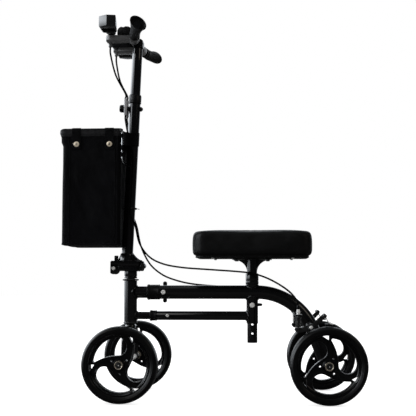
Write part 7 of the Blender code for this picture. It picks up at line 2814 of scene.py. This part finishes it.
    def clamp_lever(self) -> None:
        """The small lever on the sleeve's far side that clamps the post."""
        start = 0.0166
        hub = Bench.lathe("hub", mm(6.8, 0, 7.5, 0.8, 7.5, 7.6, 6.6, 8.4, 3, 8.4, y=start), 36,
            smooth=50, at=(LAYOUT.seat_x, 0, 0.2505), turn=ALONG_Y)
        outline = round_corners(mm(-3, -5, 26.2, -3.4, 29, 0.4, 26.2, 4.2, -3, 5.8), 0.0022)
        arm = Bench.plate("arm", [(LAYOUT.seat_x + x, 0.2505 + z) for x, z in outline],
            start + 0.003, start + 0.0078, "Y", 0.001, 3)
        Fit.stand(Bench.group("seat_lever_handle", hub, arm), LEVER_PLASTIC, Body.SEAT_LEVER,
            "seat_lever")


@dataclass
class JointHandle:
    """The winged handle on the upper joint's bolt."""

    x: float = -0.13785
    start: float = 0.0197
    span: float = 0.03

    def build(self) -> None:
        """Make the handle: a hub with two tapering wings."""
        hub = Bench.lathe("hub", mm(7.6, 0, 8.5, 0.8, 8.5, 7.8, 7.6, 8.8, 4, 8.9), 40, smooth=50)
        Bench.carve(hub, Bench.lathe("socket", mm(3.4, 7, 3.4, 12), 6))
        Bench.settle(hub, (self.x, self.start, LAYOUT.main_z), ALONG_Y)
        wings = [*mm(6, 0, 5.2, 10, 5.6, 23.5), *arc((0.0, self.span - 0.0062), 0.006, 8, 172, 12),
            *mm(-5.6, 23.5, -5.2, 10, -6, 0, -5.2, -10, -5.6, -23.5),
            *arc((0.0, -self.span + 0.0062), 0.006, 188, 352, 12), (0.0056, -0.0235),
            (0.0052, -0.01)]
        wing = Bench.plate("wing", [(self.x + x, LAYOUT.main_z + z) for x, z in wings], self.start
            + 0.0031, self.start + 0.0088, "Y", 0.0013, 3)
        Fit.stand(Bench.group("joint_handle_wings", hub, wing), FITTING_PLASTIC, Body.JOINT_HANDLE,
            "upper_joint_handle")


@dataclass
class Studio:
    """The photograph's setting: a white surround, its lamps, the floor and the camera."""

    fill: float = 0.75
    dark: float = 0.035
    panel_low: float = 3.0
    panel_high: float = 7.0
    top: float = 0.45
    floor_size: float = 30.0
    floor_drop: float = 0.0005
    eye: Point = (0.14515, -2.446, 0.317)
    yaw: float = 3.74
    pitch: float = 4.76
    sensor: float = 36.0
    focal: float = 876 / 416 * 36

    def build(self) -> None:
        """Set the stage."""
        bpy.context.scene.view_settings.view_transform = "Standard"
        self.world()
        self.floor()
        self.lamps()
        self.camera()

    @staticmethod
    def shader(wire: Wiring, kind: str, colour: Colour, **feeds: object) -> Socket:
        """A plain shader of one colour."""
        return wire.add(kind, {"Color": (*colour, 1.0), **feeds}).outputs[0]

    @staticmethod
    def by_ray(wire: Wiring, plain: Socket, mirrored: Socket, seen: Socket) -> Socket:
        """A shader that differs with the kind of ray that meets it.

        Args:
            wire: The tree that it goes in.
            plain: What lights the walker.
            mirrored: What the walker mirrors.
            seen: What the camera sees.

        Returns:
            The mixed shader.
        """
        rays = wire.add("LightPath").outputs
        direct = wire.maths("MAXIMUM", rays["Is Camera Ray"], rays["Is Transmission Ray"])
        glossy = wire.add("MixShader", {0: rays["Is Glossy Ray"], 1: plain, 2: mirrored})
        return wire.add("MixShader", {0: direct, 1: glossy.outputs[0], 2: seen}).outputs[0]

    def world(self) -> None:
        """White where it is seen, a plain level where it lights, darker to the right."""
        world = bpy.context.scene.world or bpy.data.worlds.new("surround")
        bpy.context.scene.world = world
        world.use_nodes = True
        world.node_tree.nodes.clear()
        wire = Wiring(world.node_tree)
        x, y, z = wire.add("SeparateXYZ", {0: wire.add("TexCoord").outputs["Generated"]}).outputs
        rear = wire.maths("MULTIPLY", wire.maths("MAXIMUM", y, 0.0), 0.8)
        left = self.ramp(wire, wire.maths("ADD", wire.maths("MULTIPLY", x, -1.0), rear),
            (0.62, 0.86), (0.0, 1.0))
        rise = self.ramp(wire, z, (0.03, 0.26), (self.panel_low, self.panel_high))
        dim = wire.maths("MULTIPLY", self.ramp(wire, z, (0.5, 0.8), (1.0, 0.12)),
            self.ramp(wire, y, (0.3, 0.8), (1.0, 0.25)))
        panel = wire.maths("MULTIPLY", wire.maths("MULTIPLY", left, rise), dim)
        behind = self.ramp(wire, y, (0.6, 0.97), (self.dark, 1.0))
        above = self.ramp(wire, z, (0.84, 0.985), (self.dark, self.top))
        glow = wire.maths("MAXIMUM", panel, wire.maths("MAXIMUM", behind, above))
        surface = self.by_ray(wire, self.shader(wire, "Background", WHITE, Strength=self.fill),
            self.shader(wire, "Background", COOL_WHITE, Strength=glow),
            self.shader(wire, "Background", WHITE, Strength=1.0))
        wire.add("OutputWorld", {"Surface": surface})

    @staticmethod
    def ramp(wire: Wiring, value: Socket, source: Flat, levels: Flat) -> Socket:
        """A value eased over a range, from one level to another."""
        return wire.spread(value, source, levels, interpolation_type="SMOOTHSTEP")

    def floor(self) -> None:
        """A white floor that keeps the walker's shadow where it stands."""
        Bench.clear()
        bpy.ops.mesh.primitive_plane_add(size=self.floor_size, location=(0, 0, -self.floor_drop))
        floor = Bench.named("studio_floor")
        bpy.ops.object.transform_apply(location=True, rotation=True, scale=True)
        made = bpy.data.materials.new("studio_white")
        made.use_nodes = True
        made.node_tree.nodes.clear()
        wire = Wiring(made.node_tree)
        both = wire.add("AddShader", {0: self.shader(wire, "BsdfDiffuse", (0.8, 0.8, 0.8)),
            1: self.shader(wire, "Emission", WHITE, Strength=0.72)})
        surface = self.by_ray(wire, self.shader(wire, "BsdfDiffuse", (0.3, 0.3, 0.3)),
            self.shader(wire, "BsdfDiffuse", (0.1, 0.1, 0.1)), both.outputs[0])
        wire.add("OutputMaterial", {"Surface": surface})
        floor.data.materials.append(made)

    def lamps(self) -> None:
        """A soft key from the left, a tall cool panel behind it and a warm fill."""
        for name, at, towards, size, watts, colour in (("key", (-1.9, -1.9, 2.3), (0.0, 0.0, 0.45),
                (1.5, 1.5), 15.0, (1.0, 0.985, 0.97)), ("tall_panel", (-2.1, 1.1, 0.75),
                (-0.1, 0.0, 0.6), (0.9, 1.9), 14.0, (0.86, 0.93, 1.0)),
                ("warm_fill", (2.3, -1.4, 1.9), (0.0, 0.0, 0.5), (1.0, 1.0), 5.0,
                (1.0, 0.9, 0.78))):
            Bench.clear()
            bpy.ops.object.light_add(type="AREA", location=at)
            lamp = Bench.named(name)
            lamp.data.shape = "RECTANGLE"
            lamp.data.size, lamp.data.size_y = size
            lamp.data.energy = watts
            lamp.data.color = colour
            self.aim(lamp, Vector(towards) - Vector(at))
            lamp.visible_camera = False

    @staticmethod
    def aim(thing: Piece, ahead: Vector) -> None:
        """Turn a lamp or a camera to look along a direction."""
        thing.rotation_euler = ahead.to_track_quat("-Z", "Y").to_euler()

    def camera(self) -> None:
        """The photograph's camera."""
        yaw, pitch = math.radians(self.yaw), math.radians(self.pitch)
        data = bpy.data.cameras.new("photo_camera")
        data.lens = self.focal
        data.sensor_width = self.sensor
        camera = bpy.data.objects.new("photo_camera", data)
        bpy.context.scene.collection.objects.link(camera)
        camera.location = self.eye
        self.aim(camera, Vector((-math.sin(yaw) * math.cos(pitch), math.cos(yaw) * math.cos(pitch),
            math.sin(pitch))))
        bpy.context.scene.camera = camera


class KneeWalker:
    """The whole walker, in the order that its sub-assemblies are built."""

    def __init__(self) -> None:
        """List the sub-assemblies."""
        self.groups = (FrameTubes(), RearBrakes(), Steerer(), Column(), Bag(), Cables(),
            Handlebar(), Seat(), JointHandle(), Wheel())

    def build(self) -> None:
        """Build every sub-assembly."""
        for group in self.groups:
            group.build()
            LOG.info("built %s", type(group).__name__)


def main() -> None:
    """Load the frame, build the walker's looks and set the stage."""
    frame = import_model()
    logging.basicConfig(level=logging.INFO, format="%(name)s %(message)s")
    LOG.info("%d CAD nodes", len(frame["nodes"]))
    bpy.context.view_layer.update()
    KneeWalker().build()
    Studio().build()


if __name__ == "__main__":
    main()
